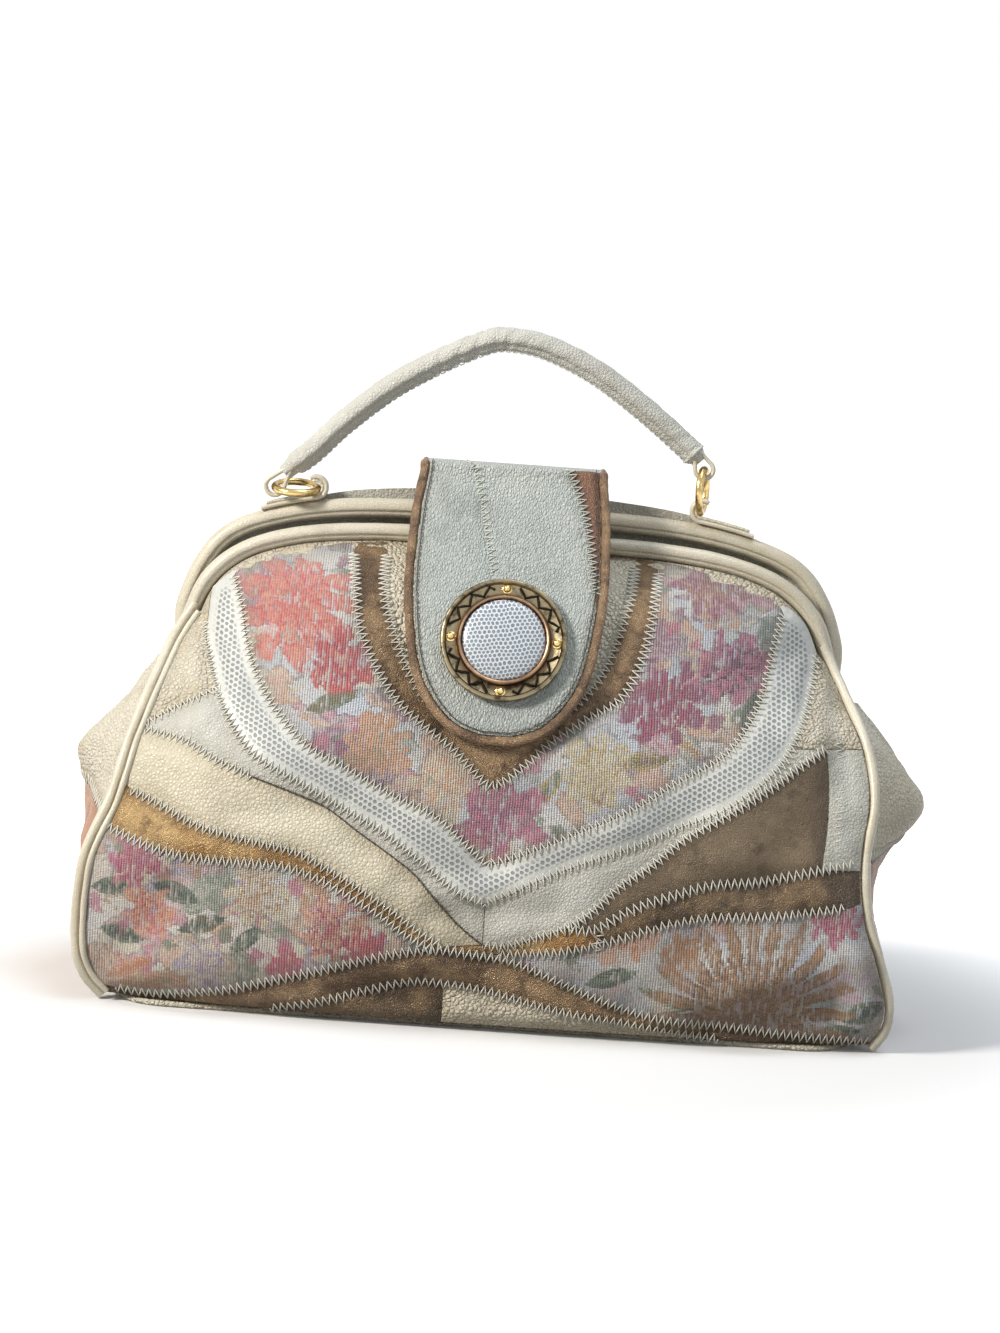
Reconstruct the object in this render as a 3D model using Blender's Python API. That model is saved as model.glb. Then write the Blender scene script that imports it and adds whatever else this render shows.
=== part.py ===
"""A patchwork leather and tapestry purse on a hinged arch frame.

Metres, +Z up, the front faces -Y, and the origin is under the middle of the base.
The purse stands closed: the flap hangs over the front and the handle stands up.
"""

import math

import bmesh
import bpy
from mathutils import Matrix, Vector

# Body: overall sizes
PIVOT_HEIGHT = 0.152
CROWN_RISE = 0.052
PANEL_TOP = PIVOT_HEIGHT + CROWN_RISE
HALF_WIDTH = 0.172
HALF_DEPTH = 0.079
CORNER_HALF_DEPTH = 0.060
LEFT_EAR_REACH = 0.0220
RIGHT_EAR_REACH = 0.0244
CROWN_POWER = 3.0
PANEL_THICKNESS = 0.0024
GUSSET_THICKNESS = 0.0018
LINING_THICKNESS = 0.0010
BASE_THICKNESS = 0.0022
BASE_HALF_DEPTH = 0.064
BASE_HALF_WIDTH = 0.158
BASE_CORNER = 0.024
BOARD_THICKNESS = 0.0020
BOARD_MARGIN = 0.008
PATCH_THICKNESS = 0.0010
PIPING_RADIUS = 0.0019

# Body: shapes as shares of the sizes above, from the base up
FRONT_DEPTH_SHARES = (
    (0.0, 0.86), (0.05, 0.94), (0.15, 1.0), (0.30, 0.99), (0.44, 0.94), (0.59, 0.83),
    (0.735, 0.69), (0.80, 0.63), (0.88, 0.54), (0.926, 0.37), (1.0, -0.05),
)
CORNER_DEPTH_SHARES = (
    (0.0, 0.93), (0.10, 1.0), (0.30, 1.0), (0.50, 0.85), (0.64, 0.58), (0.735, 0.28),
    (0.80, 0.16), (1.0, 0.15),
)
LEFT_EDGE_SHARES = (
    (0.0, 0.92), (0.05, 0.97), (0.10, 0.995), (0.20, 1.0), (0.31, 0.985), (0.42, 0.935),
    (0.55, 0.90), (0.65, 0.865), (0.74, 0.83), (0.80, 0.79), (0.88, 0.73), (0.93, 0.61),
    (0.97, 0.42), (1.0, 0.20),
)
RIGHT_EDGE_SHARES = (
    (0.0, 0.945), (0.05, 0.98), (0.10, 0.985), (0.20, 0.95), (0.28, 0.915), (0.40, 0.90),
    (0.52, 0.915), (0.62, 0.895), (0.74, 0.83), (0.80, 0.79), (0.88, 0.73), (0.93, 0.61),
    (0.97, 0.42), (1.0, 0.20),
)
GUSSET_REACH_SHARES = (
    (0.0, 0.10), (0.10, 0.20), (0.25, 0.35), (0.38, 0.70), (0.48, 1.0), (0.56, 0.85),
    (0.66, 0.40), (0.74, 0.12), (1.0, 0.0),
)

# Panels: where they fold, and how their meshes are ruled
GUSSET_DROP = 0.010
LINING_DROP = 0.014
FOLD_HEIGHT = PIVOT_HEIGHT
FOLD_TUCK = 0.0042
FOLD_LAP = 0.0040
FOLD_CORNER_DROP = 0.010
PANEL_HEM = 0.0030
RULE_X = 0.030
RULE_SNAP = 0.00002
EDGE_STEPS = 14
FOLD_ROW = 7
FOLD_ROW_DROP = 0.005
RULE_Z = (FOLD_HEIGHT - FOLD_ROW_DROP) / FOLD_ROW
GUSSET_TOP = PIVOT_HEIGHT - GUSSET_DROP
GUSSET_ROWS = 9
GUSSET_COLUMNS = 8
LINING_TOP = PIVOT_HEIGHT - LINING_DROP
LINING_EASE = 0.0028
LINING_EASE_SHARES = ((0.0, 0.95), (0.08, 0.985), (0.2, 0.99))
LINING_ROWS = 8
LINING_COLUMNS = 9

# Frame: two leather covered steel arches on two rivets
REAR_HALF_WIDTH = 0.1420
REAR_RISE = 0.0620
REAR_CROWN_HALF_WIDTH = 0.1385
REAR_CROWN_RISE = 0.0680
FRONT_INSET = 0.0028
FRONT_HALF_WIDTH = REAR_HALF_WIDTH - FRONT_INSET
FRONT_RISE = CROWN_RISE
FRAME_SPREAD = 0.0050
BAR_THICKNESS = 0.0016
BAR_WIDTH = 0.0056
LUG_DROP = 0.0060
LUG_REACH = 0.0042
LUG_RISE = 0.0050
COVER_START = 0.0090
COVER_WIDTH = 0.0084
REAR_COVER_BAND = 0.0085
FRONT_COVER_BAND = 0.0075
COVER_WALL = 0.0011
COVER_BEVEL_SHARE = 0.30
RIVET_RADIUS = 0.0019
RIVET_HEAD_RADIUS = 0.0042
RIVET_HEAD_HEIGHT = 0.0014
ARCH_STEPS = 2
REAR_ARCH_SHARES = (
    (1.0, 0.0), (1.0, 0.22), (0.95, 0.52), (0.875, 0.73), (0.75, 0.86), (0.55, 0.955),
    (0.30, 0.99), (0.0, 1.0),
)
FRONT_ARCH_SHARES = (
    (1.0, 0.0), (0.995, 0.18), (0.945, 0.50), (0.84, 0.75), (0.68, 0.90), (0.48, 0.97),
    (0.25, 0.99), (0.0, 1.0),
)

# Handle, its rings and its tabs
HANDLE_Y = 0.0050
HANDLE_RADIUS = 0.0054
HANDLE_WALL = 0.0012
HANDLE_SIDES = 8
HANDLE_RISE = 0.0610
HANDLE_LEFT_RISE = 0.0765
HANDLE_LEFT_Z = PIVOT_HEIGHT + HANDLE_LEFT_RISE
HANDLE_SHARES = (
    (0.0, 0.0), (0.05, 0.12), (0.12, 0.33), (0.23, 0.60), (0.34, 0.80), (0.447, 0.955),
    (0.51, 1.0), (0.61, 0.965), (0.74, 0.81), (0.865, 0.575), (0.97, 0.345), (1.0, 0.27),
)
RING_RADIUS = 0.0093
RING_WIRE = 0.0017
RING_STEPS = 20
RING_SIDES = 8
LEFT_TAB_PIN_SHARE = 0.617606
RIGHT_TAB_PIN_SHARE = 0.563380
LEFT_TAB_PIN_X = -REAR_HALF_WIDTH * LEFT_TAB_PIN_SHARE
RIGHT_TAB_PIN_X = REAR_HALF_WIDTH * RIGHT_TAB_PIN_SHARE
HANDLE_LEFT_OVERHANG = 0.0113
HANDLE_RIGHT_INSET = 0.0045
HANDLE_LEFT_X = LEFT_TAB_PIN_X - HANDLE_LEFT_OVERHANG
HANDLE_SPAN = RIGHT_TAB_PIN_X - HANDLE_RIGHT_INSET - HANDLE_LEFT_X
LEFT_TAB_PIN_RISE = 0.0670
LEFT_TAB_PIN_Z = PIVOT_HEIGHT + LEFT_TAB_PIN_RISE
RIGHT_TAB_PIN_RISE = 0.0685
RIGHT_TAB_PIN_Z = PIVOT_HEIGHT + RIGHT_TAB_PIN_RISE
LOOP_HOLE = 0.0030
LOOP_WALL = 0.0016
LOOP_WIDTH = 0.0056
LEFT_LOOP_REACH = 0.0068
RIGHT_LOOP_REACH = 0.0082
LEFT_LOOP_LEAN = math.radians(52)
RIGHT_LOOP_LEAN = math.radians(105)
LOOP_STEPS = 18
TAB_WIDTH = 0.0070
TAB_THICKNESS = 0.0016
TAB_EYE_HOLE = 0.0027
TAB_LENGTH = 0.0230
TAB_LIFT = 0.0006
TAB_STUD_RADIUS = 0.0016
TAB_STUD_HEAD = 0.0027
TAB_STUD_HEIGHT = 0.0008

# Flap and its strap
FLAP_HINGE_Y = -0.0160
FLAP_HINGE_RISE = 0.0810
FLAP_HINGE_Z = PIVOT_HEIGHT + FLAP_HINGE_RISE
FLAP_CENTRE_X = -0.0025
FLAP_HALF_WIDTH = 0.0430
FLAP_DROP = 0.1110
FLAP_BORDER = 0.0040
FLAP_LEATHER = 0.0016
FLAP_LINING = 0.0010
FLAP_STANDOFF = 0.0058
FLAP_SHOULDER_SHARES = ((0.0, 0.0), (0.15, 0.40), (0.30, 0.83), (0.40, 1.0))
FLAP_OUTLINE_SHARES = (
    (0.93, 0.0), (0.98, 0.16), (1.0, 0.39), (0.97, 0.54), (0.88, 0.73), (0.72, 0.86),
    (0.46, 0.96), (0.16, 1.0),
)
FLAP_KNUCKLE = 0.0014
STRAP_HALF_WIDTH = 0.0395
STRAP_THICKNESS = 0.0020
STRAP_CREST = 0.0022
STRAP_SHOULDER_Y = 0.0095
STRAP_SHOULDER_RISE = 0.0800
STRAP_SHOULDER_Z = PIVOT_HEIGHT + STRAP_SHOULDER_RISE
STRAP_WAIST_RISE = 0.0715
STRAP_WAIST_Z = PIVOT_HEIGHT + STRAP_WAIST_RISE
STRAP_FOOT_RISE = 0.0310
STRAP_FOOT_Z = PIVOT_HEIGHT + STRAP_FOOT_RISE
FLAP_RULE_Z = 0.014

# Ornament on the flap, and the magnets that hold the flap down
ORNAMENT_X = -0.0020
ORNAMENT_RISE = 0.0110
ORNAMENT_Z = PIVOT_HEIGHT + ORNAMENT_RISE
BEZEL_RADIUS = 0.0265
BEZEL_HEIGHT = 0.0030
BEZEL_FLOOR = 0.0012
BEZEL_RIM = 0.0019
CHANNEL_RADIUS = 0.0198
COLLAR_WIDTH = 0.0016
COLLAR_HEIGHT = 0.0036
INSERT_RADIUS = 0.0175
INSERT_CROWN = 0.0030
INSERT_EDGE = 0.0020
BEAD_RADIUS = 0.0021
BEAD_SINK = 0.0008
BEAD_CIRCLE = 0.0222
TURN_STEPS = 32
MAGNET_RADIUS = 0.0085
MAGNET_HEIGHT = 0.0019
MAGNET_BED = 0.0007
MAGNET_REST = 0.0009
PANEL_MAGNET_RISE = 0.0060
PANEL_MAGNET_Z = PIVOT_HEIGHT + PANEL_MAGNET_RISE

# Clearances
GAP = 0.0003
SEAM_GAP = 0.0004
RUNNING_GAP = 0.0004
OVERRUN = 0.0050

# Front patchwork: seam lines as shares of HALF_WIDTH and PANEL_TOP, from the left
MESH_OUTER_SHARES = (
    (-0.80, 0.86), (-0.755, 0.76), (-0.72, 0.68), (-0.67, 0.605), (-0.60, 0.54), (-0.49, 0.495),
    (-0.37, 0.445), (-0.27, 0.405), (-0.18, 0.355), (-0.09, 0.30), (-0.012, 0.275), (0.10, 0.325),
    (0.22, 0.37), (0.34, 0.41), (0.44, 0.45), (0.535, 0.485), (0.615, 0.53), (0.69, 0.59),
    (0.735, 0.66), (0.765, 0.74), (0.785, 0.84),
)
MESH_INNER_SHARES = (
    (-0.72, 0.93), (-0.672, 0.83), (-0.65, 0.765), (-0.62, 0.705), (-0.57, 0.645),
    (-0.48, 0.57), (-0.38, 0.53), (-0.255, 0.48), (-0.15, 0.445), (-0.08, 0.40),
    (-0.012, 0.352), (0.105, 0.393), (0.215, 0.437), (0.33, 0.485), (0.44, 0.545),
    (0.54, 0.595), (0.60, 0.655), (0.637, 0.72), (0.665, 0.82), (0.70, 0.93),
)
YOKE_OUTER_SHARES = (
    (-0.415, 1.0), (-0.385, 0.89), (-0.37, 0.82), (-0.33, 0.745), (-0.262, 0.667),
    (-0.186, 0.618), (-0.12, 0.583), (-0.07, 0.545), (-0.012, 0.512), (0.06, 0.555),
    (0.122, 0.608), (0.215, 0.662), (0.285, 0.70), (0.333, 0.785), (0.355, 0.89), (0.37, 1.0),
)
YOKE_INNER_SHARES = (
    (-0.318, 1.0), (-0.314, 0.89), (-0.28, 0.80), (-0.235, 0.725), (-0.175, 0.665),
    (-0.10, 0.628), (-0.012, 0.605), (0.08, 0.628), (0.16, 0.675), (0.232, 0.745),
    (0.274, 0.843), (0.296, 0.91), (0.31, 1.0),
)
SHOULDER_SEAM_SHARES = ((-0.88, 0.575), (-0.77, 0.63), (-0.69, 0.665))
WHITE_SEAM_SHARES = (
    (-0.90, 0.565), (-0.78, 0.553), (-0.70, 0.525), (-0.60, 0.497), (-0.49, 0.47),
    (-0.41, 0.445), (-0.325, 0.40), (-0.205, 0.338), (-0.135, 0.28), (-0.08, 0.232),
    (-0.012, 0.19),
)
LEFT_STRIP_TOP_SHARES = (
    (-0.96, 0.462), (-0.82, 0.42), (-0.72, 0.387), (-0.605, 0.368), (-0.48, 0.352),
    (-0.40, 0.323), (-0.32, 0.289), (-0.23, 0.245), (-0.17, 0.21), (-0.11, 0.182),
)
LEFT_STRIP_FOOT_SHARES = (
    (-0.98, 0.372), (-0.84, 0.338), (-0.74, 0.323), (-0.63, 0.321), (-0.52, 0.321),
    (-0.425, 0.303), (-0.345, 0.274), (-0.26, 0.235), (-0.19, 0.196), (-0.13, 0.177),
)
ARCH_BAND_TOP_SHARES = (
    (-0.98, 0.035), (-0.81, 0.025), (-0.66, 0.045), (-0.575, 0.065), (-0.425, 0.105),
    (-0.27, 0.147), (-0.19, 0.165), (-0.11, 0.175), (-0.04, 0.168), (0.04, 0.161),
    (0.12, 0.142), (0.205, 0.113), (0.285, 0.088), (0.37, 0.064), (0.48, 0.05),
    (0.605, 0.044), (0.76, 0.032), (0.86, 0.026), (0.97, 0.022),
)
ARCH_BAND_FOOT_SHARES = (
    (-0.52, 0.017), (-0.42, 0.036), (-0.30, 0.068), (-0.18, 0.098), (-0.10, 0.098),
    (0.005, 0.088), (0.09, 0.072), (0.21, 0.053), (0.325, 0.042), (0.41, 0.032),
    (0.52, 0.022), (0.58, 0.016),
)
WEDGE_SEAM_SHARES = (
    (-0.012, 0.19), (0.04, 0.188), (0.115, 0.212), (0.19, 0.238), (0.25, 0.275), (0.315, 0.33),
    (0.38, 0.37), (0.455, 0.428), (0.53, 0.468), (0.605, 0.508), (0.69, 0.558), (0.76, 0.60),
    (0.80, 0.62),
)
WEDGE_SIDE_SHARES = ((0.80, 0.62), (0.81, 0.55), (0.81, 0.465), (0.80, 0.38))
WEDGE_FOOT_SHARES = (
    (0.80, 0.38), (0.66, 0.352), (0.54, 0.343), (0.46, 0.323), (0.385, 0.30), (0.31, 0.265),
    (0.25, 0.235), (0.19, 0.238),
)
GATHER_FOOT_SHARES = (
    (0.93, 0.315), (0.78, 0.29), (0.665, 0.28), (0.545, 0.275), (0.43, 0.255), (0.365, 0.235),
    (0.29, 0.212), (0.16, 0.184), (0.03, 0.171), (-0.11, 0.178),
)
HEM_SPLIT_SHARES = (-0.10,)


def srgb(red, green, blue):
    """A screen colour as the linear colour that a material takes."""
    channels = (red, green, blue)
    return tuple((c / 12.92) if c <= 0.04045 else ((c + 0.055) / 1.055) ** 2.4 for c in channels)


FINISHES = {
    "cream_leather": (srgb(0.86, 0.82, 0.73), 0.55, 0.0),
    "mint_leather": (srgb(0.74, 0.75, 0.70), 0.50, 0.0),
    "white_leather": (srgb(0.84, 0.84, 0.82), 0.50, 0.0),
    "tan_leather": (srgb(0.66, 0.42, 0.27), 0.60, 0.0),
    "bronze_leather": (srgb(0.55, 0.41, 0.26), 0.38, 0.35),
    "tapestry": (srgb(0.80, 0.72, 0.68), 0.90, 0.0),
    "mesh_trim": (srgb(0.80, 0.82, 0.83), 0.75, 0.0),
    "lining_cloth": (srgb(0.72, 0.64, 0.52), 0.90, 0.0),
    "gold_metal": (srgb(0.85, 0.67, 0.38), 0.22, 1.0),
    "bronze_metal": (srgb(0.46, 0.40, 0.28), 0.32, 1.0),
    "steel": (srgb(0.62, 0.62, 0.63), 0.35, 1.0),
    "lizard_insert": (srgb(0.82, 0.84, 0.86), 0.35, 0.0),
    "board": (srgb(0.45, 0.38, 0.30), 0.90, 0.0),
}


def clear_scene():
    """Leaves an empty scene."""
    for old in list(bpy.data.objects):
        bpy.data.objects.remove(old, do_unlink=True)


def finish_material(finish):
    """The finish's material, made once."""
    found = bpy.data.materials.get(finish)
    if found:
        return found
    colour, roughness, metallic = FINISHES[finish]
    material = bpy.data.materials.new(finish)
    material.use_nodes = True
    shader = material.node_tree.nodes["Principled BSDF"]
    shader.inputs["Base Color"].default_value = (*colour, 1.0)
    shader.inputs["Roughness"].default_value = roughness
    shader.inputs["Metallic"].default_value = metallic
    material.diffuse_color = (*colour, 1.0)
    return material


def add_object(name, bm, finish, parent=None, smooth=True):
    """Turns a bmesh into a named object, with its place measured from its parent."""
    bmesh.ops.recalc_face_normals(bm, faces=bm.faces)
    mesh = bpy.data.meshes.new(name)
    bm.to_mesh(mesh)
    bm.free()
    if smooth:
        mesh.shade_smooth()
        mesh.set_sharp_from_angle(angle=math.radians(40))
    return add_data(name, mesh, finish, parent)


def add_data(name, data, finish, parent=None):
    """Links mesh or curve data as an object whose points are world points."""
    item = bpy.data.objects.new(name, data)
    data.materials.append(finish_material(finish))
    bpy.context.scene.collection.objects.link(item)
    if parent:
        item.parent = parent
        item.matrix_parent_inverse = parent.matrix_world.inverted()
    return item


def add_joint(name, x, y, z):
    """An empty on a joint's axis, for the pieces that turn there."""
    joint = bpy.data.objects.new(name, None)
    joint.location = (x, y, z)
    joint.empty_display_size = RING_RADIUS
    bpy.context.scene.collection.objects.link(joint)
    bpy.context.view_layer.update()
    return joint


def smooth_through(points, steps):
    """A Catmull-Rom line through the points, with so many steps a span."""
    line = []
    last = len(points) - 1
    for i in range(last):
        p0 = points[max(i - 1, 0)]
        p1 = points[i]
        p2 = points[i + 1]
        p3 = points[min(i + 2, last)]
        for step in range(steps):
            t = step / steps
            line.append(tuple(catmull(a, b, c, d, t) for a, b, c, d in zip(p0, p1, p2, p3)))
    line.append(tuple(points[last]))
    return line


def catmull(a, b, c, d, t):
    """One coordinate between b and c on a Catmull-Rom line."""
    bend = 2 * a - 5 * b + 4 * c - d
    twist = 3 * b - a - 3 * c + d
    return 0.5 * (2 * b + (c - a) * t + bend * t**2 + twist * t**3)


def share_at(table, at):
    """Reads a table of (share along, value share), smoothly."""
    if at <= table[0][0]:
        return table[0][1]
    for i in range(len(table) - 1):
        if at <= table[i + 1][0]:
            t = (at - table[i][0]) / (table[i + 1][0] - table[i][0])
            a = table[max(i - 1, 0)][1]
            d = table[min(i + 2, len(table) - 1)][1]
            low = min(table[i][1], table[i + 1][1])
            high = max(table[i][1], table[i + 1][1])
            return min(max(catmull(a, table[i][1], table[i + 1][1], d, t), low), high)
    return table[-1][1]


def edge_x(side, z):
    """How far out the front and rear panels reach at a height."""
    table = LEFT_EDGE_SHARES if side < 0 else RIGHT_EDGE_SHARES
    return HALF_WIDTH * share_at(table, z / PANEL_TOP)


def corner_depth(z):
    """How far from the middle plane a panel's side edge lies at a height."""
    return CORNER_HALF_DEPTH * share_at(CORNER_DEPTH_SHARES, z / PANEL_TOP)


def panel_depth(x, z):
    """How far from the middle plane a panel's outer surface lies."""
    edge = corner_depth(z)
    middle = HALF_DEPTH * share_at(FRONT_DEPTH_SHARES, z / PANEL_TOP)
    share = min(abs(x) / edge_x(x, z), 1.0)
    return edge + (middle - edge) * (1.0 - share**CROWN_POWER)


def ruled(depth, x, z, rule_x, rule_z):
    """A depth on flat triangles ruled in cells, so that skins lie flat on what they cover."""
    i = math.floor(x / rule_x)
    j = math.floor(z / rule_z)
    u = x / rule_x - i
    v = z / rule_z - j
    low = depth(i * rule_x, j * rule_z)
    high = depth((i + 1) * rule_x, (j + 1) * rule_z)
    if v <= u:
        corner = depth((i + 1) * rule_x, j * rule_z)
        return low + u * (corner - low) + v * (high - corner)
    corner = depth(i * rule_x, (j + 1) * rule_z)
    return low + v * (corner - low) + u * (high - corner)


def ruled_depth(x, z):
    """The front panel's depth on its flat triangles."""
    return ruled(panel_depth, x, z, RULE_X, RULE_Z)


def rear_depth(x, z):
    """The rear panel's depth on its flat triangles, kept behind the frame's cover."""
    return ruled(seated_depth, x, z, RULE_X, RULE_Z)


def seated_depth(x, z):
    """The panel's depth, and no nearer than the back of the rear cover."""
    seat = FRAME_SPREAD + COVER_WIDTH / 2 + GAP + PANEL_THICKNESS
    return max(panel_depth(x, z), seat)


def arch_points(shares, half_width, rise):
    """An arch's centre line from its left end to its right end, as (x, z)."""
    right = smooth_through(shares, ARCH_STEPS)
    left = [(-x, z) for x, z in right[:-1]]
    return [(half_width * x, PIVOT_HEIGHT + rise * z) for x, z in left + right[::-1]]


def seam(shares, steps=2):
    """A seam line as (x, z) points on the panel."""
    line = [(HALF_WIDTH * x, PANEL_TOP * z) for x, z in shares]
    return smooth_through(line, steps)


def panel_edge(side, low, high, steps):
    """The panel's side edge from one height to another."""
    heights = [low + (high - low) * i / steps for i in range(steps + 1)]
    return [(side * edge_x(side, z), z) for z in heights]


def crown_edge():
    """The panel's top edge under the front arch, from its left end to its right end."""
    inset = FRONT_COVER_BAND / 2 + GAP
    line = arch_points(FRONT_ARCH_SHARES, FRONT_HALF_WIDTH, FRONT_RISE)
    edge = []
    for i in range(1, len(line) - 1):
        run = Vector(line[i + 1]) - Vector(line[i - 1])
        inward = Vector((run.y, -run.x)).normalized()
        edge.append(tuple(Vector(line[i]) + inward * inset))
    low = FOLD_HEIGHT + COVER_START
    side = FRONT_HALF_WIDTH - inset
    return [(-side, low), *[p for p in edge if p[1] > low + LUG_RISE], (side, low)]


def inset_outline(outline, gap):
    """Draws a closed outline in by a gap, on every side."""
    area = sum(a[0] * b[1] - b[0] * a[1] for a, b in zip(outline, outline[1:] + outline[:1]))
    turn = 1.0 if area > 0 else -1.0
    points = []
    for i, here in enumerate(outline):
        before = Vector(here) - Vector(outline[i - 1])
        after = Vector(outline[(i + 1) % len(outline)]) - Vector(here)
        n1 = Vector((-before.y, before.x)).normalized() * turn
        n2 = Vector((-after.y, after.x)).normalized() * turn
        bisector = n1 + n2
        reach = max(bisector.length_squared / 2, 0.35)
        points.append(tuple(Vector(here) + bisector / reach * gap))
    return points


def without_doubles(outline, least):
    """Leaves out points that lie closer together than a least step."""
    kept = []
    for point in outline:
        if not kept or (Vector(point) - Vector(kept[-1])).length > least:
            kept.append(point)
    if (Vector(kept[0]) - Vector(kept[-1])).length <= least:
        kept.pop()
    return kept


def rule_planes(bm, rule_x, rule_z):
    """Cuts a flat mesh along the ruled cells and their diagonals."""
    xs = [v.co.x for v in bm.verts]
    zs = [v.co.z for v in bm.verts]
    for i in range(math.floor(min(xs) / rule_x), math.ceil(max(xs) / rule_x) + 1):
        cut_flat(bm, Vector((i * rule_x, 0, 0)), Vector((1, 0, 0)))
    for j in range(math.floor(min(zs) / rule_z), math.ceil(max(zs) / rule_z) + 1):
        cut_flat(bm, Vector((0, 0, j * rule_z)), Vector((0, 0, 1)))
    across = Vector((-rule_z, 0, rule_x)).normalized()
    slants = [v.co.z / rule_z - v.co.x / rule_x for v in bm.verts]
    for k in range(math.floor(min(slants)), math.ceil(max(slants)) + 1):
        cut_flat(bm, Vector((0, 0, k * rule_z)), across)


def cut_flat(bm, point, normal):
    """Cuts every face along one plane, and keeps both sides."""
    geometry = bm.verts[:] + bm.edges[:] + bm.faces[:]
    bmesh.ops.bisect_plane(bm, geom=geometry, dist=RULE_SNAP, plane_co=point, plane_no=normal)


def sheet(outline, depth, thickness, rule_x, rule_z):
    """A closed sheet whose outer face is at y = -depth(x, z), thickness deep towards +Y."""
    bm = bmesh.new()
    bm.faces.new([bm.verts.new((x, 0.0, z)) for x, z in outline])
    rule_planes(bm, rule_x, rule_z)
    for vertex in bm.verts:
        vertex.co.y = -depth(vertex.co.x, vertex.co.z)
    grown = bmesh.ops.extrude_face_region(bm, geom=bm.faces[:])["geom"]
    inner = [v for v in grown if isinstance(v, bmesh.types.BMVert)]
    bmesh.ops.translate(bm, verts=inner, vec=Vector((0.0, thickness, 0.0)))
    return bm


def mirrored_back(bm):
    """Turns a front sheet into a rear one."""
    bmesh.ops.scale(bm, verts=bm.verts, vec=Vector((1, -1, 1)))
    bmesh.ops.reverse_faces(bm, faces=bm.faces)
    return bm


def loft(rings, closed=False):
    """Joins rings of points into one skin, with flat ends unless it closes on itself."""
    bm = bmesh.new()
    rows = [[bm.verts.new(point) for point in ring] for ring in rings]
    count = len(rows[0])
    pairs = list(zip(rows, rows[1:]))
    if closed:
        pairs.append((rows[-1], rows[0]))
    for low, high in pairs:
        for i in range(count):
            j = (i + 1) % count
            bm.faces.new((low[i], low[j], high[j], high[i]))
    if not closed:
        bm.faces.new(rows[0][::-1])
        bm.faces.new(rows[-1])
    return bm


def hollow_loft(outer, inner):
    """A tube with a wall: outer rings, inner rings, and its two open ends."""
    return loft([*outer, *inner[::-1]], closed=True)


def rounded_box(half_a, half_b, bevel):
    """The eight corners of a chamfered rectangle."""
    return (
        (half_a, half_b - bevel), (half_a - bevel, half_b), (bevel - half_a, half_b),
        (-half_a, half_b - bevel), (-half_a, bevel - half_b), (bevel - half_a, -half_b),
        (half_a - bevel, -half_b), (half_a, bevel - half_b),
    )


def along_arch(line, profile, centre_y):
    """Sets a profile of (out, across) at each point of an arch line of (x, z)."""
    rings = []
    for i, (x, z) in enumerate(line):
        before = Vector(line[max(i - 1, 0)])
        after = Vector(line[min(i + 1, len(line) - 1)])
        run = (after - before).normalized()
        out = Vector((-run.y, run.x))
        rings.append([(x + out.x * a, centre_y + b, z + out.y * a) for a, b in profile])
    return rings


def round_bar(start, end, radius, steps):
    """A closed round bar from one point to another."""
    start = Vector(start)
    end = Vector(end)
    axis = (end - start).normalized()
    side = axis.orthogonal().normalized() * radius
    up = axis.cross(side)
    turns = [2 * math.pi * i / steps for i in range(steps)]
    ring = [side * math.cos(turn) + up * math.sin(turn) for turn in turns]
    return loft([[start + p for p in ring], [end + p for p in ring]])


def turned(profile, centre, axis, steps):
    """Turns a closed outline of (radius, height) round an axis."""
    axis = Vector(axis).normalized()
    side = axis.orthogonal().normalized()
    bm = bmesh.new()
    verts = [bm.verts.new(Vector(centre) + side * r + axis * h) for r, h in profile]
    open_ended = profile[0][0] == 0 and profile[-1][0] == 0
    count = len(verts) - 1 if open_ended else len(verts)
    edges = [bm.edges.new((verts[i], verts[(i + 1) % len(verts)])) for i in range(count)]
    bmesh.ops.spin(
        bm, geom=verts + edges, cent=centre, axis=axis, angle=2 * math.pi, steps=steps, use_merge=True
    )
    bmesh.ops.remove_doubles(bm, verts=bm.verts, dist=RULE_SNAP)
    return bm


def cut_with(target, bm_cutter, name):
    """Cuts one object with a hidden cutter."""
    cutter = add_object(name, bm_cutter, "steel", smooth=False)
    cutter.hide_render = True
    cutter.display_type = "WIRE"
    boolean = target.modifiers.new("cut", "BOOLEAN")
    boolean.operation = "DIFFERENCE"
    boolean.solver = "EXACT"
    boolean.object = cutter


def lower_outline():
    """The front panel below its fold, from the hem's left end round to the right."""
    drop = FOLD_HEIGHT - FOLD_CORNER_DROP
    left = panel_edge(-1, PANEL_HEM, drop, EDGE_STEPS)
    right = panel_edge(1, PANEL_HEM, drop, EDGE_STEPS)[::-1]
    top_left = (-edge_x(-1, FOLD_HEIGHT) + FOLD_CORNER_DROP, FOLD_HEIGHT)
    top_right = (edge_x(1, FOLD_HEIGHT) - FOLD_CORNER_DROP, FOLD_HEIGHT)
    return left + [top_left, top_right] + right


def upper_outline():
    """The front panel between its fold and the arch."""
    crown = crown_edge()
    foot = FOLD_HEIGHT - FOLD_LAP
    return [(crown[0][0], foot), *crown, (crown[-1][0], foot)]


def rear_outline():
    """The rear panel between its fold and its top edge, which stands up behind the cover."""
    line = arch_points(REAR_ARCH_SHARES, REAR_CROWN_HALF_WIDTH, REAR_CROWN_RISE)
    foot = FOLD_HEIGHT - FOLD_LAP
    return [(line[0][0], foot), *line[1:-1], (line[-1][0], foot)]


def fold_tuck(z):
    """How far an upper panel is tucked behind the lower one."""
    rise = min(max(z / RULE_Z - FOLD_ROW, 0.0), 1.0)
    return FOLD_TUCK * (1.0 - rise)


def tucked_depth(x, z):
    """The upper front panel's depth, which tucks behind the lower one at the fold."""
    return ruled_depth(x, z) - fold_tuck(z)


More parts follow.
